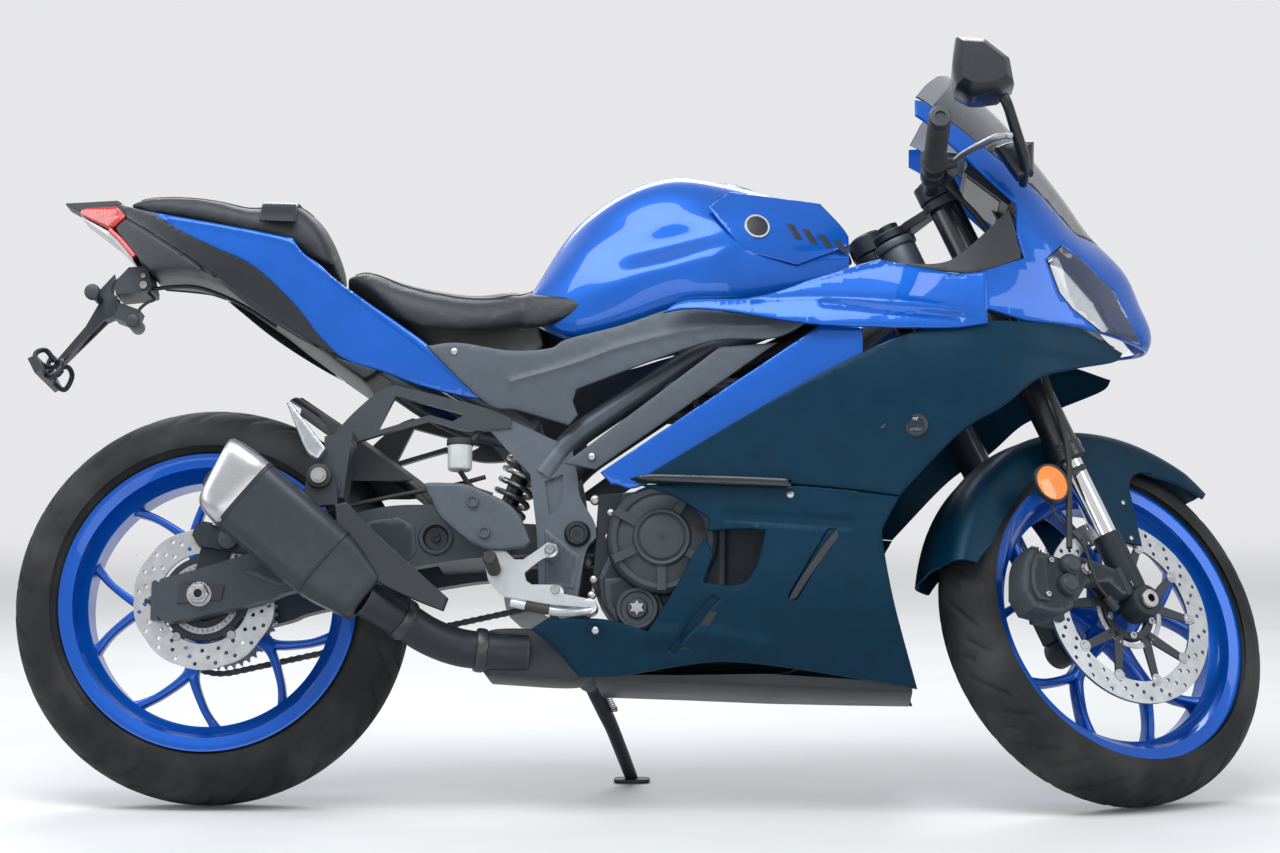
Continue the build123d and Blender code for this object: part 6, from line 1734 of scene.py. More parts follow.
def chain():
    """Drive chain: rollers and side plates round both sprockets."""
    dx, dz, big, small = CHAIN_FRONT_X, CHAIN_FRONT_Z - REAR_AXLE_Z, 86 + 8, 30 + 8
    length = math.hypot(dx, dz)
    slope = math.degrees(math.atan2(dz, dx))
    spread = math.degrees(math.asin((big - small) / length))
    up, down = slope + 90 - spread, slope - 90 + spread
    path = [polar(big, a) for a in np.linspace(up, down + 360, 90)]
    path += [(dx + x, dz + z) for x, z in (polar(small, a) for a in np.linspace(down, up, 40))]
    path = np.array(path + [path[0]])
    steps = np.concatenate([[0], np.cumsum(np.linalg.norm(np.diff(path, axis=0), axis=1))])
    links = int(round(steps[-1] / CHAIN_PITCH / 2)) * 2
    spots = np.stack([np.interp(np.linspace(0, steps[-1], links, endpoint=False), steps, path[:, k])
                      for k in (0, 1)], 1)
    plates = Piece("chain_links", DARK_STEEL, node="drive_chain")
    for k in range(links):
        a, b = spots[k], spots[(k + 1) % links]
        way = (b - a) / np.linalg.norm(b - a)
        side = np.array([-way[1], way[0]])
        out = []
        for mid, sign in ((b, 1), (a, -1)):
            for t in (-80, 0, 80):
                c, s = math.cos(math.radians(t)), math.sin(math.radians(t))
                out.append(mid + sign * way * c * 4.6 + sign * side * s * 4.6)
        waist = (a + b) / 2
        ring = out[:3] + [waist + side * 3.4] + out[3:] + [waist - side * 3.4]
        ring = [(x, z + REAR_AXLE_Z) for x, z in ring]
        for s in (-1, 1):
            y = CHAIN_Y + s * (4.2 if k % 2 else 5.6)
            plates.add(*slab(ring, y - 0.6, y + 0.6))
        x, z = a[0], a[1] + REAR_AXLE_Z
        for reach, r, count in ((6.8, 2.2, 7), (3.4, 4.0, 10)):
            plates.add(*rod((x, CHAIN_Y - reach, z), (x, CHAIN_Y + reach, z), r, count=count, soft=0.3))
    plates.done()


def rear_brake():
    """Rear caliper, its bracket, bolts and hose."""
    p = Piece("rear_caliper_body", CAST_BLACK, node="rear_caliper")
    p.add(*slab([(-14, 424), (6, 428), (60, 418), (80, 400), (78, 384), (62, 380), (-8, 392), (-18, 408)],
                -110, -92))
    p.add(*slab([(-8, 422), (70, 410), (76, 392), (-12, 402)], -79, -66))
    p.add(*slab([(-4, 431), (64, 419), (62, 413), (-6, 425)], -108, -68))
    p.add(*rod((38, -108, 402), (38, -116, 402), 17, soft=4))
    p.add(*rod((-12, -104, 408), (-12, -66, 408), 7))
    p.add(*rod((72, -104, 396), (72, -66, 396), 7))
    p.add(*slab([(-18, 330), (18, 322), (40, 384), (56, 420), (4, 424), (-6, 390)], -98.5, -94))
    p.add(*spun([(17.5, -99), (28, -99), (30, -97), (30, -94), (17.5, -94), (17.5, -99)], 40), REAR_AXLE)
    p.done(bevel=2.4, segments=3)
    p = Piece("rear_caliper_bolts", BOLT)
    p.add(*bolt((-12, -104, 408), (0, -1, 0), 6, 5, "hex"))
    p.add(*bolt((72, -104, 396), (0, -1, 0), 6, 5, "hex"))
    p.add(*bolt((18, -110, 424), (0.2, -0.2, 1), 4.5, 5, "hex"))
    p.done()
    p = Piece("rear_brake_hose", RUBBER)
    p.add(*tube([(62, -100, 416), (110, -112, 440), (150, -116, 432), (220, -117, 452), (300, -117, 470),
                 (380, -112, 486), (430, -108, 500)], 3.6, 10, 12))
    p.done()


def shock():
    """Shock absorber and its spring."""
    low, high = Vector((430, 0, 400)), Vector((500, 0, 590))
    along = (high - low).normalized()
    p = Piece("shock_body", DARK_STEEL, node="shock_absorber", slot="black_metal")
    p.add(*rod(low, high, 14))
    for d, r, t in ((36, 33, 6), (170, 33, 8), (180, 28, 10)):
        p.add(*rod(low + along * d, low + along * (d + t), r, soft=2))
    p.add(*rod(low - Vector((0, 20, 0)), low + Vector((0, 20, 0)), 15))
    p.add(*rod((500, -100, 590), (500, 100, 590), 10))
    p.done()
    p = Piece("shock_spring", STEEL, slot="black_metal")
    across = along.cross(Vector((0, 1, 0))).normalized()
    coil, turns, steps = [], 7, 16
    for k in range(turns * steps + 1):
        a = 2 * math.pi * k / steps
        q = low + along * (43 + 126 * k / (turns * steps)) + (across * math.cos(a) + Vector((0, 1, 0))
                                                              * math.sin(a)) * 27
        coil.append(tuple(q))
    p.add(*tube(coil, 4.6, 2, 10))
    p.done()


def stand():
    """Side stand, its foot and spring."""
    spot = PLACE @ STAND_FOOT
    ankle = PLACE.inverted() @ Vector((spot.x, spot.y, 0.006))
    p = Piece("stand_leg", BLACK_METAL, body="side_stand", node="side_stand")
    start = STAND_PIVOT + STAND_DOWN * 14
    bow = (STAND_PIVOT + ankle) / 2 + STAND_DOWN.cross(STAND_PIN) * 3
    p.add(*tube([tuple(start), tuple(start.lerp(bow, 0.6)), tuple(bow), tuple(bow.lerp(ankle, 0.7)),
                 tuple(ankle)], [13, 12, 11, 10.5, 10], 8, 24))
    p.add(*spun([(6.2, -5), (15, -5), (16, -4), (16, 4), (15, 5), (6.2, 5), (6.2, -5)], 36),
          frame_to(STAND_PIVOT, STAND_PIN))
    hook = STAND_PIVOT + STAND_DOWN * 70
    side = STAND_DOWN.cross(STAND_PIN).normalized()
    p.add(*rod(hook + side * 6, hook + side * 24, 4))
    p.done()
    foot = Piece("stand_foot", BLACK_METAL, body="side_stand", place=Matrix.Scale(0.001, 4))
    base = spot * 1000
    outline = []
    for k in range(40):
        a = 2 * math.pi * k / 40
        outline.append((base.x + squared(math.cos(a), 0.5) * 29, base.y + squared(math.sin(a), 0.5) * 20))
    rings = [[(x, y, z) for x, y in outline] for z in (0.8, 6.6)]
    foot.add(*ring_body(rings))
    foot.done(bevel=1.5)
    p = Piece("stand_spring", STEEL, body="side_stand", slot="black_metal")
    coil = []
    start, end = hook + side * 20, STAND_PIVOT + STAND_DOWN * 22 + side * 18
    turns, steps = 10, 8
    for k in range(turns * steps + 1):
        a = 2 * math.pi * k / steps
        coil.append(tuple(start + (end - start) * k / (turns * steps)
                          + (STAND_PIN * math.cos(a) + side * math.sin(a)) * 4.2))
    p.add(*tube(coil, 1.3, 2, 8))
    p.done()


# ---------------------------------------------------------------- front end
FORK_SPREAD, LUG_TOP, SEAL, LOWER_CLAMP, TOP_CLAMP, LEG_TOP = 100, 118, 245, 508, 686, 734
GRIP_IN, GRIP_OUT = Vector((989, -226, 912)), Vector((917, -350, 896))


HEAD = dict(body="steering_head", place=STEERED)
LEGS = dict(body="steering_head", place=FORK)


def turned(profile, count=64):
    """Spun body whose axis is local Z instead of local Y."""
    v, f = spun(profile, count)
    return v, f, turn_by(90, "X")


def fork():
    """Stanchions, fork tubes, clamps and front axle."""
    for s, side in ((-1, "right"), (1, "left")):
        at = shift(0, s * FORK_SPREAD, 0)
        p = Piece("stanchion_" + side, CHROME, body="steering_head", node="fork_lowers" if s < 0 else None,
                  place=FORK)
        v, f, m = turned([(0, 90), (18.4, 90), (18.4, SEAL + 4), (0, SEAL + 4)], 64)
        p.add(v, f, at @ m)
        p.done()
        p = Piece("axle_lug_" + side, CAST_BLACK, slot="chrome", **LEGS)
        v, f, m = turned([(0, 24), (21, 24), (21.6, 30), (21.6, 112), (20.6, LUG_TOP), (0, LUG_TOP)], 64)
        p.add(v, f, at @ m)
        p.add(*spun([(10, -21.5), (24, -21.5), (25.6, -19), (25.6, 19), (24, 21.5), (10, 21.5), (10, -21.5)],
                    64), at)
        p.add(*brick((-17, s * FORK_SPREAD, 40), (16, 30, 46), (0, 0, 0)))
        p.done(bevel=1.4)
    p = Piece("fork_tube_covers", SATIN_BLACK, node="fork_uppers", **LEGS)
    for s in (-1, 1):
        at = shift(0, s * FORK_SPREAD, 0)
        ring = [(18.6, SEAL), (27, SEAL), (28.3, SEAL + 1.5), (28.3, SEAL + 9), (27.4, SEAL + 10),
                (27.4, SEAL + 13), (28.3, SEAL + 14), (28.3, SEAL + 23), (27.5, SEAL + 25.6),
                (25.4, SEAL + 26), (25.4, LEG_TOP - 2), (24.4, LEG_TOP), (13, LEG_TOP), (12, LEG_TOP - 3),
                (0, LEG_TOP - 3)]
        v, f, m = turned(ring, 72)
        p.add(v, f, at @ m)
    p.done()
    p = Piece("fork_seals", RUBBER, **LEGS)
    for s in (-1, 1):
        v, f, m = turned([(18.5, SEAL - 3), (22, SEAL - 3), (24, SEAL - 0.4), (18.5, SEAL - 0.4),
                          (18.5, SEAL - 3)], 48)
        p.add(v, f, shift(0, s * FORK_SPREAD, 0) @ m)
    p.done()

    p = Piece("clamp_plates", BLACK_METAL, node="triple_clamps", **LEGS)
    for z, t, extra in ((LOWER_CLAMP, 28, 8), (TOP_CLAMP, 14, 7)):
        half = [(-34, -38), (-20, -72), (-6, -116), (12, -114), (22, -98), (10, -50)]
        v, f = slab(half + [(6, 0)] + [(x, -y) for x, y in half[::-1]], 0, t)
        v = np.array([(a, c, z + b) for a, b, c in v])
        p.add(v, f)
        for s in (-1, 1):
            v, f, m = turned([(25.6, z), (25.5 + extra, z), (25.5 + extra, z + t), (25.6, z + t), (25.6, z)],
                             64)
            p.add(v, f, shift(0, s * FORK_SPREAD, 0) @ m)
    v, f, m = turned([(0, LOWER_CLAMP), (31, LOWER_CLAMP), (31, LOWER_CLAMP + 26), (15, LOWER_CLAMP + 28),
                      (15, TOP_CLAMP), (29, TOP_CLAMP), (29, TOP_CLAMP + 13), (17, TOP_CLAMP + 14),
                      (17, TOP_CLAMP + 25), (0, TOP_CLAMP + 25)], 64)
    p.add(v, f, shift(STEM_BACK, 0, 0) @ m)
    p.done(bevel=1.6)

    p = Piece("axle_ends", BOLT, node="front_axle", **HEAD)
    at = shift(WHEELBASE, 0, FRONT_AXLE_Z)
    p.add(*spun([(6.5, -130), (9.8, -130), (9.8, 130), (6.5, 130), (6.5, -130)], 32), at)
    for s in (-1, 1):
        p.add(*spun([(9.8, s * 74), (15, s * 74), (15, s * 78), (9.8, s * 78)], 36), at)
        p.add(*spun([(9.8, s * 122.2), (15, s * 122.2), (15, s * 127), (13.6, s * 129.6), (9.8, s * 129.6)],
                    36), at)
    p.done(bevel=0.5)


def fender():
    """Front fender, its sides and bolts."""
    p = Piece("fender_shell", TEAL, node="front_fender", **HEAD)
    centre = Vector((WHEELBASE, 0, FRONT_AXLE_Z))
    outer = 305.0
    section = [(-1.0, 62), (-0.98, 40), (-0.93, 20), (-0.80, 8), (-0.62, 2), (-0.34, -1), (-0.12, -5),
               (0.0, -6)]
    section = section + [(-a, b) for a, b in section[-2::-1]]
    curve = spline(np.array(section, float), 61)
    table = ((172, 70, 0.55), (163, 72, 0.9), (150, 72, 1), (120, 72, 1), (90, 72, 1), (72, 72, 0.9),
             (60, 70, 0.6), (51, 60, 0.32))
    angle = np.linspace(172, 51, 80)
    half = np.interp(-angle, [-t[0] for t in table], [t[1] for t in table])
    drop = np.interp(-angle, [-t[0] for t in table], [t[2] for t in table])
    rings = []
    for a, h, d in zip(angle, half, drop):
        row = []
        for u, w in curve:
            r = outer + 3.4 - (w * d if w > 0 else w * 0.8)
            row.append((centre.x + r * math.cos(math.radians(a)), u * h,
                        centre.z + r * math.sin(math.radians(a))))
        rings.append(row)
    inner = [[(x - 3 * math.cos(math.radians(a)), y * 0.958, z - 3 * math.sin(math.radians(a)))
              for x, y, z in row[::-1]] for a, row in zip(angle, rings)]
    loop = [r + i for r, i in zip(rings, inner)]
    p.add(*ring_body([np.array(r) for r in loop]))
    p.done(angle=28)
    p = Piece("fender_sides", TEAL, **HEAD)
    stay = [(1244, 545), (1299, 566), (1352, 574), (1405, 566), (1448, 530), (1427, 528), (1409, 519),
            (1401, 494), (1412, 402), (1374, 402), (1340, 470), (1290, 520)]
    for s in (-1, 1):
        p.add(*soft_plate(stay, s * 83.5, s * 79.5, 2.5, 7))
        p.add(*slab([(1300, 550), (1352, 566), (1400, 558), (1428, 537), (1320, 530)], s * 83, s * 70))
    p.done(bevel=0.8)
    p = Piece("fender_bolts", BOLT, **HEAD)
    for s in (-1, 1):
        for x, z in ((1392, 412), (1384, 470)):
            p.add(*dome_bolt((x, s * 79, z), (0, s, 0), 5.5, 4))
    p.done()


def brakes():
    """Front caliper, its bolts, hose and sensor cable."""
    p = Piece("caliper_body", CAST_BLACK, node="front_caliper", **HEAD)
    body = [(1158, 312), (1166, 334), (1174, 346), (1200, 344), (1229, 340), (1255, 343), (1262, 321),
            (1258, 304), (1252, 287), (1243, 260), (1214, 246), (1168, 248), (1153, 272)]
    p.add(*soft_plate(body, -119.8, -78, 7, 6))
    p.add(*soft_plate([(1176, 262), (1196, 262), (1196, 336), (1180, 336), (1170, 312), (1168, 280)], -124,
                      -118, 3, 6))
    p.add(*brick((1232, -62, 298), (40, 36, 84)))
    for x, z in ((1240, 327), (1233, 294)):
        p.add(*spun([(0, -133), (11, -133), (13, -131), (14, -128.5), (16, -128.5), (17, -126), (17, -116),
                     (0, -116)], 40), shift(x, 0, z))
    for k in range(3):
        x, z = 1181 + 5 * k, 351
        p.add(*brick((x, -96, z - 4), (2.2, 36, 10)))
    arm = [(1240, 344), (1256, 350), (1300, 346), (1374, 330), (1376, 300), (1340, 298), (1316, 314),
           (1276, 306), (1252, 272), (1242, 276)]
    p.add(*soft_plate(arm, -113.5, -92, 4, 7))
    p.done(bevel=1.4)
    p = Piece("caliper_bolts", BOLT, **HEAD)
    p.add(*bolt((1193, -124, 272), (0, -1, 0), 4.5, 3.4))
    p.add(*bolt((1207, -119.5, 330), (0, -1, 0), 4.5, 4))
    p.add(*bolt((1276, -113.5, 330), (0, -1, 0), 6, 5, "hex"))
    p.add(*bolt((1360, -113.5, 320), (0, -1, 0), 6, 5, "hex"))
    p.add(*rod((1206, -106, 343), (1206, -106, 352), 6))
    p.done()
    p = Piece("brake_hose", RUBBER, node="front_brake_hose", **HEAD)
    p.add(*pipe([(1050, -146, 936), (1140, -134, 880), (1180, -140, 760), (1250, -138, 520),
                 (1238, -128, 352)], 4.8, 40, 14))
    p.done()
    p = Piece("sensor_cable", RUBBER, **HEAD)
    p.add(*tube([(1215, -124, 440), (1222, -124, 406), (1268, -122, 365), (1280, -121, 330),
                 (1290, -118, 306), (1316, -112, 286)], 2.4, 10, 10))
    p.add(*rod((1310, -112, 290), (1326, -112, 272), 6))
    p.done()


def reflectors():
    """Round reflectors beside the fork."""
    p = Piece("round_reflectors", AMBER, node="reflectors", **HEAD)
    back = Piece("reflector_cups", BLACK_PLASTIC, **HEAD)
    for s in (-1, 1):
        at = shift(1213, 0, 452)
        p.add(*spun([(0, s * 137.8), (26, s * 137.2), (28, s * 136), (28, s * 132), (0, s * 132)], 64), at)
        back.add(*spun([(28, s * 137.4), (30, s * 137.8), (31, s * 137), (31, s * 129), (0, s * 128),
                        (0, s * 131.6), (28, s * 131.8)], 64), at)
        back.add(*rod((1226, s * 128, 462), (1288, s * 119, 499), 5))
    p.done()
    back.done()


def front_disc():
    """Front disc, its carrier and bobbins."""
    spin = dict(body="front_wheel", place=FRONT_WHEEL)
    p = Piece("front_disc_ring", DISC_STEEL, node="front_disc", **spin)
    loops = [[polar(148.6, 1.5 * k) for k in range(240)], [polar(113, 3 * k) for k in range(120)][::-1]]
    for k in range(24):
        loops += [hole(*polar(r, 15 * k + row * 5), 3.2, 12) for row, r in enumerate((120, 130.5, 141))]
    p.add(*cut_plate(loops, -72, -67))
    p.done(bevel=0.4)
    p = Piece("front_disc_carrier", BLACK_METAL, **spin)
    p.add(*spun([(34.8, -71.6), (46, -71.6), (47, -70), (47, -60), (34.8, -60), (34.8, -71.6)], 64))
    knobs = Piece("front_disc_bobbins", BOLT, **spin)
    for k in range(5):
        a = 20 + 72 * k
        for end in (a - 18, a + 18):
            x0, z0 = polar(41, a)
            x1, z1 = polar(113, end)
            side = np.array([-(z1 - z0), x1 - x0]) / math.hypot(x1 - x0, z1 - z0)
            quad = [np.array((x0, z0)) + side * 9, np.array((x1, z1)) + side * 6,
                    np.array((x1, z1)) - side * 6, np.array((x0, z0)) - side * 9]
            p.add(*slab([tuple(q) for q in quad], -71.5, -67.2))
            knobs.add(*spun([(0, -74), (5, -74), (6, -73), (9, -73), (9.6, -71.6), (0, -71.6)], 32),
                      Matrix.Translation(Vector((x1, 0, z1))))
        x, z = polar(40, a + 36)
        knobs.add(*bolt((x, -71.6, z), (0, -1, 0), 6, 4.5))
    p.done(bevel=0.8)
    for k in range(48):
        x, z = polar(57, 7.5 * k)
        knobs.add(*brick((x, -70.5, z), (5, 2, 3), (-7.5 * k, 0, 0)))
    knobs.add(*spun([(52, -69.6), (60, -69.6), (60, -71.4), (52, -71.4), (52, -69.6)], 64))
    knobs.done()


def controls():
    """Bars, grips, switches, levers and brake pump."""
    along = (GRIP_IN - GRIP_OUT).normalized()
    for s, side in ((1, "right"), (-1, "left")):
        flip = Matrix.Scale(s, 4, (0, 1, 0))
        place = STEERED @ flip
        p = Piece("bar_" + side, BLACK_METAL, body="steering_head", node="handlebars" if s > 0 else None,
                  place=place)
        p.add(*rod(GRIP_IN + along * 122, GRIP_OUT, 10.8))
        p.add(*spun([(0, 0), (15, 0), (17, -2), (17, -13), (15.4, -16.6), (8, -17), (8, -14), (0, -14)], 40),
              frame_to(GRIP_OUT - along * 3, along))
        p.done()
        ring = Piece("bar_clamp_" + side, BLACK_METAL, body="steering_head", place=FORK @ flip)
        v, f, m = turned([(25.6, 702), (33.4, 702), (33.4, 730), (25.6, 730), (25.6, 702)], 64)
        ring.add(v, f, shift(0, -FORK_SPREAD, 0) @ m)
        ring.done(bevel=1)
        p = Piece("grip_" + side, RUBBER, body="steering_head", node="grips" if s > 0 else None, place=place)
        length = (GRIP_IN - GRIP_OUT).length
        prof = [(11, 0)]
        for k in range(24):
            y = length * (k + 0.1) / 24
            prof += [(15.6, y), (17, y + 0.8), (17, y + 3.6), (15.6, y + 4.3)]
        prof += [(17, length - 1), (22, length), (22, length + 4), (20, length + 5), (11, length + 5)]
        p.add(*spun(prof, 40), frame_to(GRIP_OUT, along))
        p.done()
        p = Piece("switch_" + side, BLACK_PLASTIC, body="steering_head", node="levers" if s > 0 else None,
                  place=place)
        start = GRIP_IN + along * 12
        p.add(*rod(start, start + along * 26, 17.5, soft=3))
        p.add(*rod(start + along * 27, start + along * 57, 18.6, soft=4))
        p.add(*rod(start + along * 12, Vector((1036, -214, 924)), 8.5))
        p.add(*rod(start + along * 40 + Vector((-4, 0, 16)), start + along * 40 + Vector((-6, 0, 22)), 5))
        p.done(bevel=1)
        p = Piece("lever_" + side, ALLOY, body="steering_head", place=place)
        path = fillet([(1034, -208, 924), (1028, -250, 920), (1030, -330, 906), (1041, -350, 901)], 30)
        p.add(*tube([tuple(q) for q in path], [5.2] * (len(path) - 2) + [4.4, 4.4], 2, 20))
        p.add(*spun([(0.1, -6)] + [(6 * math.cos(math.radians(a)), 6 * math.sin(math.radians(a)))
                                   for a in range(-75, 90, 15)] + [(0.1, 6)], 24), shift(1041, -350, 901))
        p.done()
    p = Piece("brake_pump", BLACK_METAL, **HEAD)
    p.add(*rod((1042, -196, 922), (1048, -150, 928), 10.8))
    p.add(*brick((1046, -170, 932), (25, 39, 20)))
    p.add(*brick((1046, -170, 944.5), (26, 40, 4.6)))
    p.done(bevel=2)
    p = Piece("bar_bolts", BOLT, **HEAD)
    for x in (-8, 8):
        p.add(*bolt((1046 + x, -170 - x, 946.6), (0, 0, 1), 3, 2))
    p.done()


MIRROR_HEAD = ((1139, 1125), (1182, 1122), (1221, 1090), (1227, 1053), (1207, 1038), (1165, 1034),
               (1138, 1046), (1134, 1082))
MIRROR_SPAN = ((-246, 0.66), (-250, 0.78), (-262, 0.9), (-280, 0.97), (-330, 0.99), (-348, 0.93), (-360, 0.7))


def mirrors():
    """Mirrors."""
    p = Piece("mirror_shells", SATIN_BLACK, node="mirrors")
    loop = smooth_outline(list(MIRROR_HEAD), 7, 30)
    for s in (-1, 1):
        rings = [[(1180 + (x - 1180) * k, -s * y, 1080 + (z - 1080) * k) for x, z in loop]
                 for y, k in MIRROR_SPAN]
        p.add(*ring_body([np.array(r) for r in rings]))
        p.add(*pipe([(1250, s * 150, 950), (1252, s * 196, 968), (1216, s * 296, 1042),
                     (1190, s * 300, 1078)], [7, 9, 8, 9], 24, 24))
        p.add(*soft_plate([(1206, 999), (1232, 1008), (1265, 1008), (1264, 959), (1240, 950)], s * 189,
                          s * 160, 7, 7))
    p.done(angle=40)


def cockpit():
    """Inner walls and dash behind the screen."""
    p = Piece("cockpit_walls", BLACK_PLASTIC, node="cockpit")
    wall = side_surface((790, 850, 920), ((1040, (171, 163, 157)), (1180, (177, 165, 155)),
                                          (1260, (157, 149, 141))))
    p.add(*sheet([(1048, 822), (1128, 806), (1180, 806), (1246, 832), (1240, 868), (1228, 910), (1160, 842),
                  (1120, 820)], wall, thick=3, roll=2, step=7), both=True).done()

    p = Piece("dash", BLACK_PLASTIC, node="instrument")
    for centre, size, turn in (((1206, 0, 972), (30, 172, 88), -52), ((1190, 0, 1016), (54, 174, 7), -30)):
        p.add(*brick(centre, size, (turn, 0, 0)))
    p.add(*pipe([(1216, 0, 960), (1262, 0, 880), (1312, 0, 760)], 11.6, 40, 24))
    p.add(*rod((1262, -130, 880), (1262, 130, 880), 9.6))
    p.done(bevel=4, segments=3)
    p = Piece("dash_face", SATIN_BLACK)
    p.add(*brick((1194, 0, 963), (4, 150, 66), (-52, 0, 0)))
    p.done(bevel=1)


def lower_trim():
    """Fairing strips and belly tray."""
    p = Piece("strip_fins", SATIN_BLACK, node="fairing_strips")
    strip = [(657, 477), (700, 483), (880, 477.5), (893, 472), (899, 463), (860, 464.6), (700, 471)]
    for s in (-1, 1):
        p.add(*soft_plate(strip, s * 231.6, s * 207, 4, 7))
    p.done()
    p = Piece("belly_tray", BLACK_PLASTIC, node="belly_pan")
    stations = ((601, 118, 186, 196), (730, 117, 182, 196), (860, 114, 177, 199), (980, 106, 174, 193),
                (1079, 98, 172, 187))
    out = []
    for x, half, low, high in stations:
        out.append([(x, -half, high), (x, -half + 3, low + 7), (x, -half + 12, low + 2), (x, 0, low),
                    (x, half - 12, low + 2), (x, half - 3, low + 7), (x, half, high), (x, half - 8, high - 1),
                    (x, 0, low + 6), (x, -half + 8, high - 1)])
    p.add(*ring_body([np.array(r) for r in out]))
    p.done()


def passenger_parts():
    """Passenger brackets and folded pegs."""
    p = Piece("passenger_frames", BLACK_METAL, node="passenger_brackets")
    outer = [(264, 626), (290, 638), (425, 604), (470, 586), (470, 571), (405, 567), (352, 580), (327, 578),
             (194, 536), (188, 548), (226, 592)]
    gap = [(292, 621), (400, 592), (380, 581), (345, 591), (266, 567)]
    loops = [smooth_outline(outer, 7, 30), smooth_outline(gap, 6, 30)[::-1]]
    lug = smooth_outline([(192, 548), (234, 556), (222, 454), (186, 454)], 6, 30)
    peg = [(135, 596), (143, 594), (197, 526), (186, 510), (182, 510), (165, 526)]
    pegs = Piece("folded_pegs", ALLOY)
    for s in (-1, 1):
        p.add(*cut_plate(loops, s * 122.5, s * 135.5))
        p.add(*cut_plate([lug], s * 122.5, s * 185))
        p.add(*spun([(0, 187), (14, 187), (16, 185), (17, 180), (17, 160), (0, 160)], 40), shift(204, 0, 470)
              @ (Matrix.Identity(4) if s > 0 else MIRROR))
        pegs.add(*soft_plate(peg, s * 205.5, s * 187, 3, 5))
    p.done(bevel=1.8)
    pegs.done(bevel=0.6)


def foot_parts():
    """Foot hangers, pedals, footpegs and heel plates."""
    p = Piece("foot_hangers", ALLOY, node="foot_controls")
    web = [(436, 372), (452, 376), (469, 374), (482, 362), (495, 362), (518, 378), (531, 388), (544, 385),
           (546, 376), (536, 368), (521, 361), (497, 342), (500, 330), (508, 324), (547, 324), (552, 311),
           (598, 302), (599, 290), (541, 294), (486, 303), (467, 306), (446, 326), (440, 344)]
    shape = smooth_outline(web, 5, 34)
    for s in (-1, 1):
        p.add(*cut_plate([shape], s * 163, s * 175.5))
        p.add(*rod((536, s * 175.5, 376), (536, s * 132, 376), 11))
        p.add(*rod((546, s * 175.5, 312), (546, s * 132, 320), 11))
    path = fillet([(600, -178, 286), (560, -206, 276), (480, -206, 292)], 40)
    p.add(*tube([tuple(q) for q in path], 7, 2, 20))
    p.add(*rod((596, -150, 290), (596, -186, 290), 11.6))
    p.add(*pipe([(600, 178, 284), (640, 178, 300), (664, 178, 330)], 7.4, 30, 20))
    p.add(*rod((600, 150, 284), (600, 206, 284), 8.6))
    p.done(bevel=1.5)
    p = Piece("foot_rubbers", RUBBER)
    for s in (-1, 1):
        p.add(*spun([(0, 0)] + [(r, y) for k in range(14)
                                for r, y in ((10.6, 12 + 5.2 * k), (10.6, 15 + 5.2 * k),
                                             (9.4, 15.6 + 5.2 * k), (9.4, 16.6 + 5.2 * k))]
                    + [(10.6, 86), (9, 91), (0, 91)], 32), frame_to((452, s * 171, 345), (0, s, 7 / 92)))
    p.add(*tube([(538, -206, 281.5), (519, -206, 284.5), (502, -206, 288)], 8, 2, 20))
    p.add(*rod((664, 170, 330), (664, 214, 330), 9.8))
    p.done()
    p = Piece("hanger_bolts", BOLT)
    for s in (-1, 1):
        for x, z in ((535, 377), (544, 316)):
            p.add(*bolt((x, s * 175.5, z), (0, s, 0), 7, 5.5))
    p.add(*dome_bolt((605, -180, 254), (0, -1, 0), 6, 3))
    p.done()

    p = Piece("heel_plates", GREY_PLASTIC, node="heel_guards")
    guard = [(343, 473), (353, 477), (406, 475), (434, 464), (468, 448), (490, 426), (507, 387), (497, 378),
             (452, 374), (428, 381), (407, 392), (370, 424), (357, 447)]
    for s in (-1, 1):
        p.add(*soft_plate(guard, s * 189.8, s * 181, 5, 7))
        for x, z in ((419, 447), (437, 400)):
            p.add(*spun([(0, 7), (6, 7), (6.6, 9.4), (8.6, 9.4), (9, 8), (9, -2), (0, -2)], 32),
                  frame_to((x, s * 186, z), (0, s, 0)))
        p.add(*rod((437, s * 182, 400), (437, s * 129.5, 400), 8.4))
    p.done(bevel=0.8)


def fluid_cup():
    """Rear brake reservoir."""
    p = Piece("fluid_cup", MILKY, node="brake_reservoir")
    v, f, m = turned([(0, 506), (16, 506), (18, 508), (18.6, 512), (18.8, 544), (0, 544)], 48)
    p.add(v, f, shift(392, -128, 0) @ m)
    p.done()
    p = Piece("fluid_cup_cap", RUBBER)
    prof = [(0, 555), (18, 555), (20.6, 553.4), (20.8, 545), (0, 544)]
    v, f, m = turned(prof, 36)
    p.add(v, f, shift(392, -128, 0) @ m)
    p.add(*rod((398, -128, 530), (434, -122.6, 592), 5))
    p.add(*pipe([(392, -124, 506), (410, -120, 480), (442, -118, 470)], 4, 10, 12))
    p.done(bevel=0.6)


def filler_cap():
    """Lid of the fuel filler and its screws."""
    slope = shift(806, 0, 969) @ turn_by(13, "Y")
    p = Piece("cap_lid", ALLOY, body="fuel_cap", node="fuel_cap")
    v, f, m = turned([(0, 12.2), (26, 12.2), (28, 11), (38, 11), (42, 10), (43.6, 7), (43.6, 4.7), (0, 4.7)],
                     72)
    p.add(v, f, slope @ m)
    v, f, m = brick((45, 0, 9), (13, 17, 6.4))
    p.add(v, f, slope @ m)
    p.done(bevel=0.6)
    p = Piece("cap_details", BOLT, body="fuel_cap")
    for k in range(6):
        a = math.radians(60 * k + 30)
        v, f, m = turned([(0, 12), (3.4, 12), (3.4, 10.6), (0, 10.6)], 16)
        p.add(v, f, slope @ shift(34 * math.cos(a), 34 * math.sin(a), 0) @ m)
    p.done()


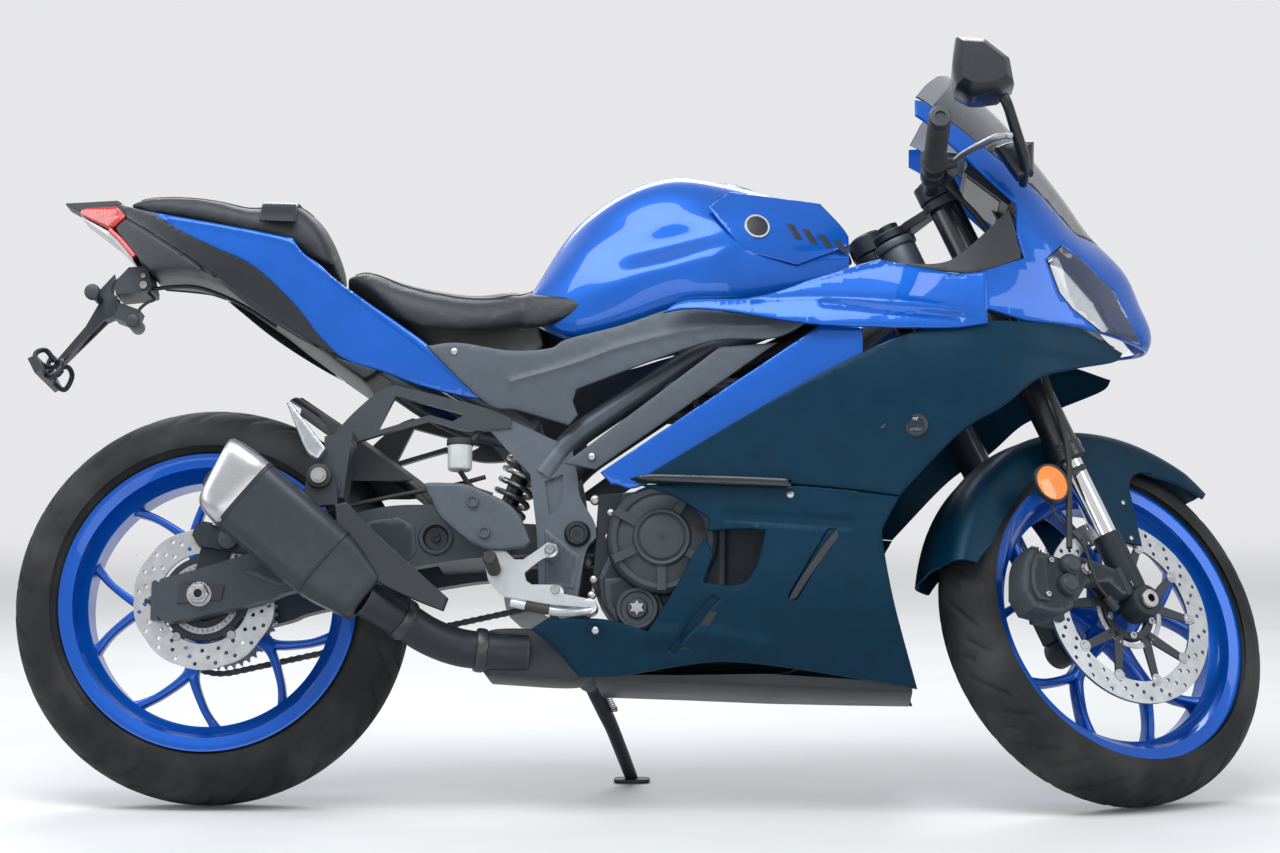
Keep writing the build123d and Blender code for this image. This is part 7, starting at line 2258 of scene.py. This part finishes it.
def trim():
    """Slots, screws, round indicators and the blank tank badge."""
    side = proud(side_surface(SIDE_LEVELS, SIDE), 0.9)
    p = Piece("panel_slots", BLACK_PLASTIC)
    for outline in ([(964, 404), (967, 393), (932, 345), (904, 303), (892, 299), (906, 324), (940, 374)],
                    [(787, 283), (775, 283), (748, 246), (731, 230), (743, 230), (765, 248)]):
        p.add(*sheet(outline, side, thick=1.4, roll=0.4, step=4), both=True)
    p.done()

    lights = Piece("round_indicators", LENS)
    rings = Piece("indicator_rings", BLACK_PLASTIC)
    base = side_surface(SIDE_LEVELS, SIDE)
    spot = base(np.array([1082.0]), np.array([560.0]), np.array([0.0]))[0]
    for s in (-1, 1):
        at = shift(spot[0], 0, spot[2])
        y = abs(spot[1])
        lights.add(*spun([(0, s * (y + 3.4)), (8, s * (y + 3)), (12, s * (y + 1.6)), (12, s * (y - 3)),
                          (0, s * (y - 3))], 40), at)
        rings.add(*spun([(12, s * (y + 2)), (15, s * (y + 2.2)), (17.6, s * (y + 0.6)), (17.6, s * (y - 4)),
                         (12, s * (y - 4)), (12, s * (y + 2))], 40), at)
    lights.done()
    rings.done()

    badge = Piece("blank_badge", BLACK_PLASTIC)
    edge = Piece("badge_ring", ALLOY)
    spot = tank_side(np.array([843.0]), np.array([888.0]), np.array([0.0]))[0]
    for s in (-1, 1):
        lean = Vector((0.28, s, 0.25)).normalized()
        at = frame_to((spot[0], s * abs(spot[1]), spot[2]), lean)
        badge.add(*spun([(0, 2.4), (15, 2.4), (17, 1.8), (17, -6), (0, -6)], 48), at)
        edge.add(*spun([(17, 2.6), (19.6, 2.6), (20.4, 1.4), (20.4, -6), (17, -6), (17, 2.6)], 48), at)
    badge.done()
    edge.done()

    p = Piece("panel_screws", BOLT)
    for x, z, y in ((381, 689, 139), (595, 522, 158), (895, 455, 212), (605, 254, 181)):
        for s in (-1, 1):
            p.add(*dome_bolt((x, s * y, z), (0, s, 0), 6, 3))
    p.done()


# ---------------------------------------------------------------- materials of the solids that stay
SOLID_FINISH = {"frame": FRAME_GREY, "swingarm": ARM_GREY, "rear_spindles": BOLT, "engine": CAST_BLACK,
                "radiator": BLACK_METAL, "exhaust_pipe": BLACK_METAL, "silencer": SILENCER,
                "silencer_cap": STEEL, "heat_shield": BLACK_PLASTIC, "fuel_tank": BLUE, "tank_cover": BLUE,
                "rider_seat": VINYL, "pillion_seat": VINYL, "tail_panels": BLUE,
                "tail_undertray": BLACK_PLASTIC, "tail_lamp": RED, "plate_bracket": BLACK_METAL,
                "rear_mudguard": BLACK_PLASTIC, "nose_cowl": BLUE, "windscreen": SCREEN, "headlamps": LENS,
                "upper_fairings": BLUE, "inner_panels": BLUE, "side_fairings": TEAL, "lower_fairings": TEAL,
                "belly_pan": BLACK_PLASTIC, "side_covers": GREY_PLASTIC, "frame_covers": GREY_PLASTIC,
                "fairing_strips": SATIN_BLACK, "cockpit": BLACK_PLASTIC, "instrument": BLACK_PLASTIC,
                "mirrors": SATIN_BLACK, "passenger_brackets": BLACK_METAL, "foot_controls": ALLOY,
                "heel_guards": GREY_PLASTIC, "brake_reservoir": MILKY, "rear_caliper": CAST_BLACK,
                "drive_chain": DARK_STEEL, "shock_absorber": DARK_STEEL, "side_stand": BLACK_METAL,
                "fuel_cap": ALLOY, "fork_lowers": CHROME, "fork_uppers": SATIN_BLACK,
                "triple_clamps": BLACK_METAL, "handlebars": BLACK_METAL, "grips": RUBBER, "levers": ALLOY,
                "front_fender": TEAL, "front_caliper": CAST_BLACK, "reflectors": AMBER, "front_axle": BOLT,
                "front_brake_hose": RUBBER, "rear_rim": RIM_BLUE, "rear_tyre": TYRE, "rear_disc": DISC_STEEL,
                "rear_sprocket": STEEL, "front_rim": RIM_BLUE, "front_tyre": TYRE, "front_disc": DISC_STEEL,}
for node, obj in frame["nodes"].items():
    obj.data.materials.clear()
    obj.data.materials.append(SOLID_FINISH[node])

scene.view_settings.view_transform = "Standard"
add_camera()
add_world()
add_lamps()
add_floor()
for make in (bodywork, tank, wheels, seats, tail, plate_bracket, exhaust, hugger, engine, radiator, chassis,
             rear_axles, swingarm, rear_disc, sprocket, chain, rear_brake, shock, stand, fork, fender, brakes,
             reflectors, front_disc, controls, mirrors, cockpit, lower_trim, passenger_parts, foot_parts,
             fluid_cup, filler_cap, trim):
    make()
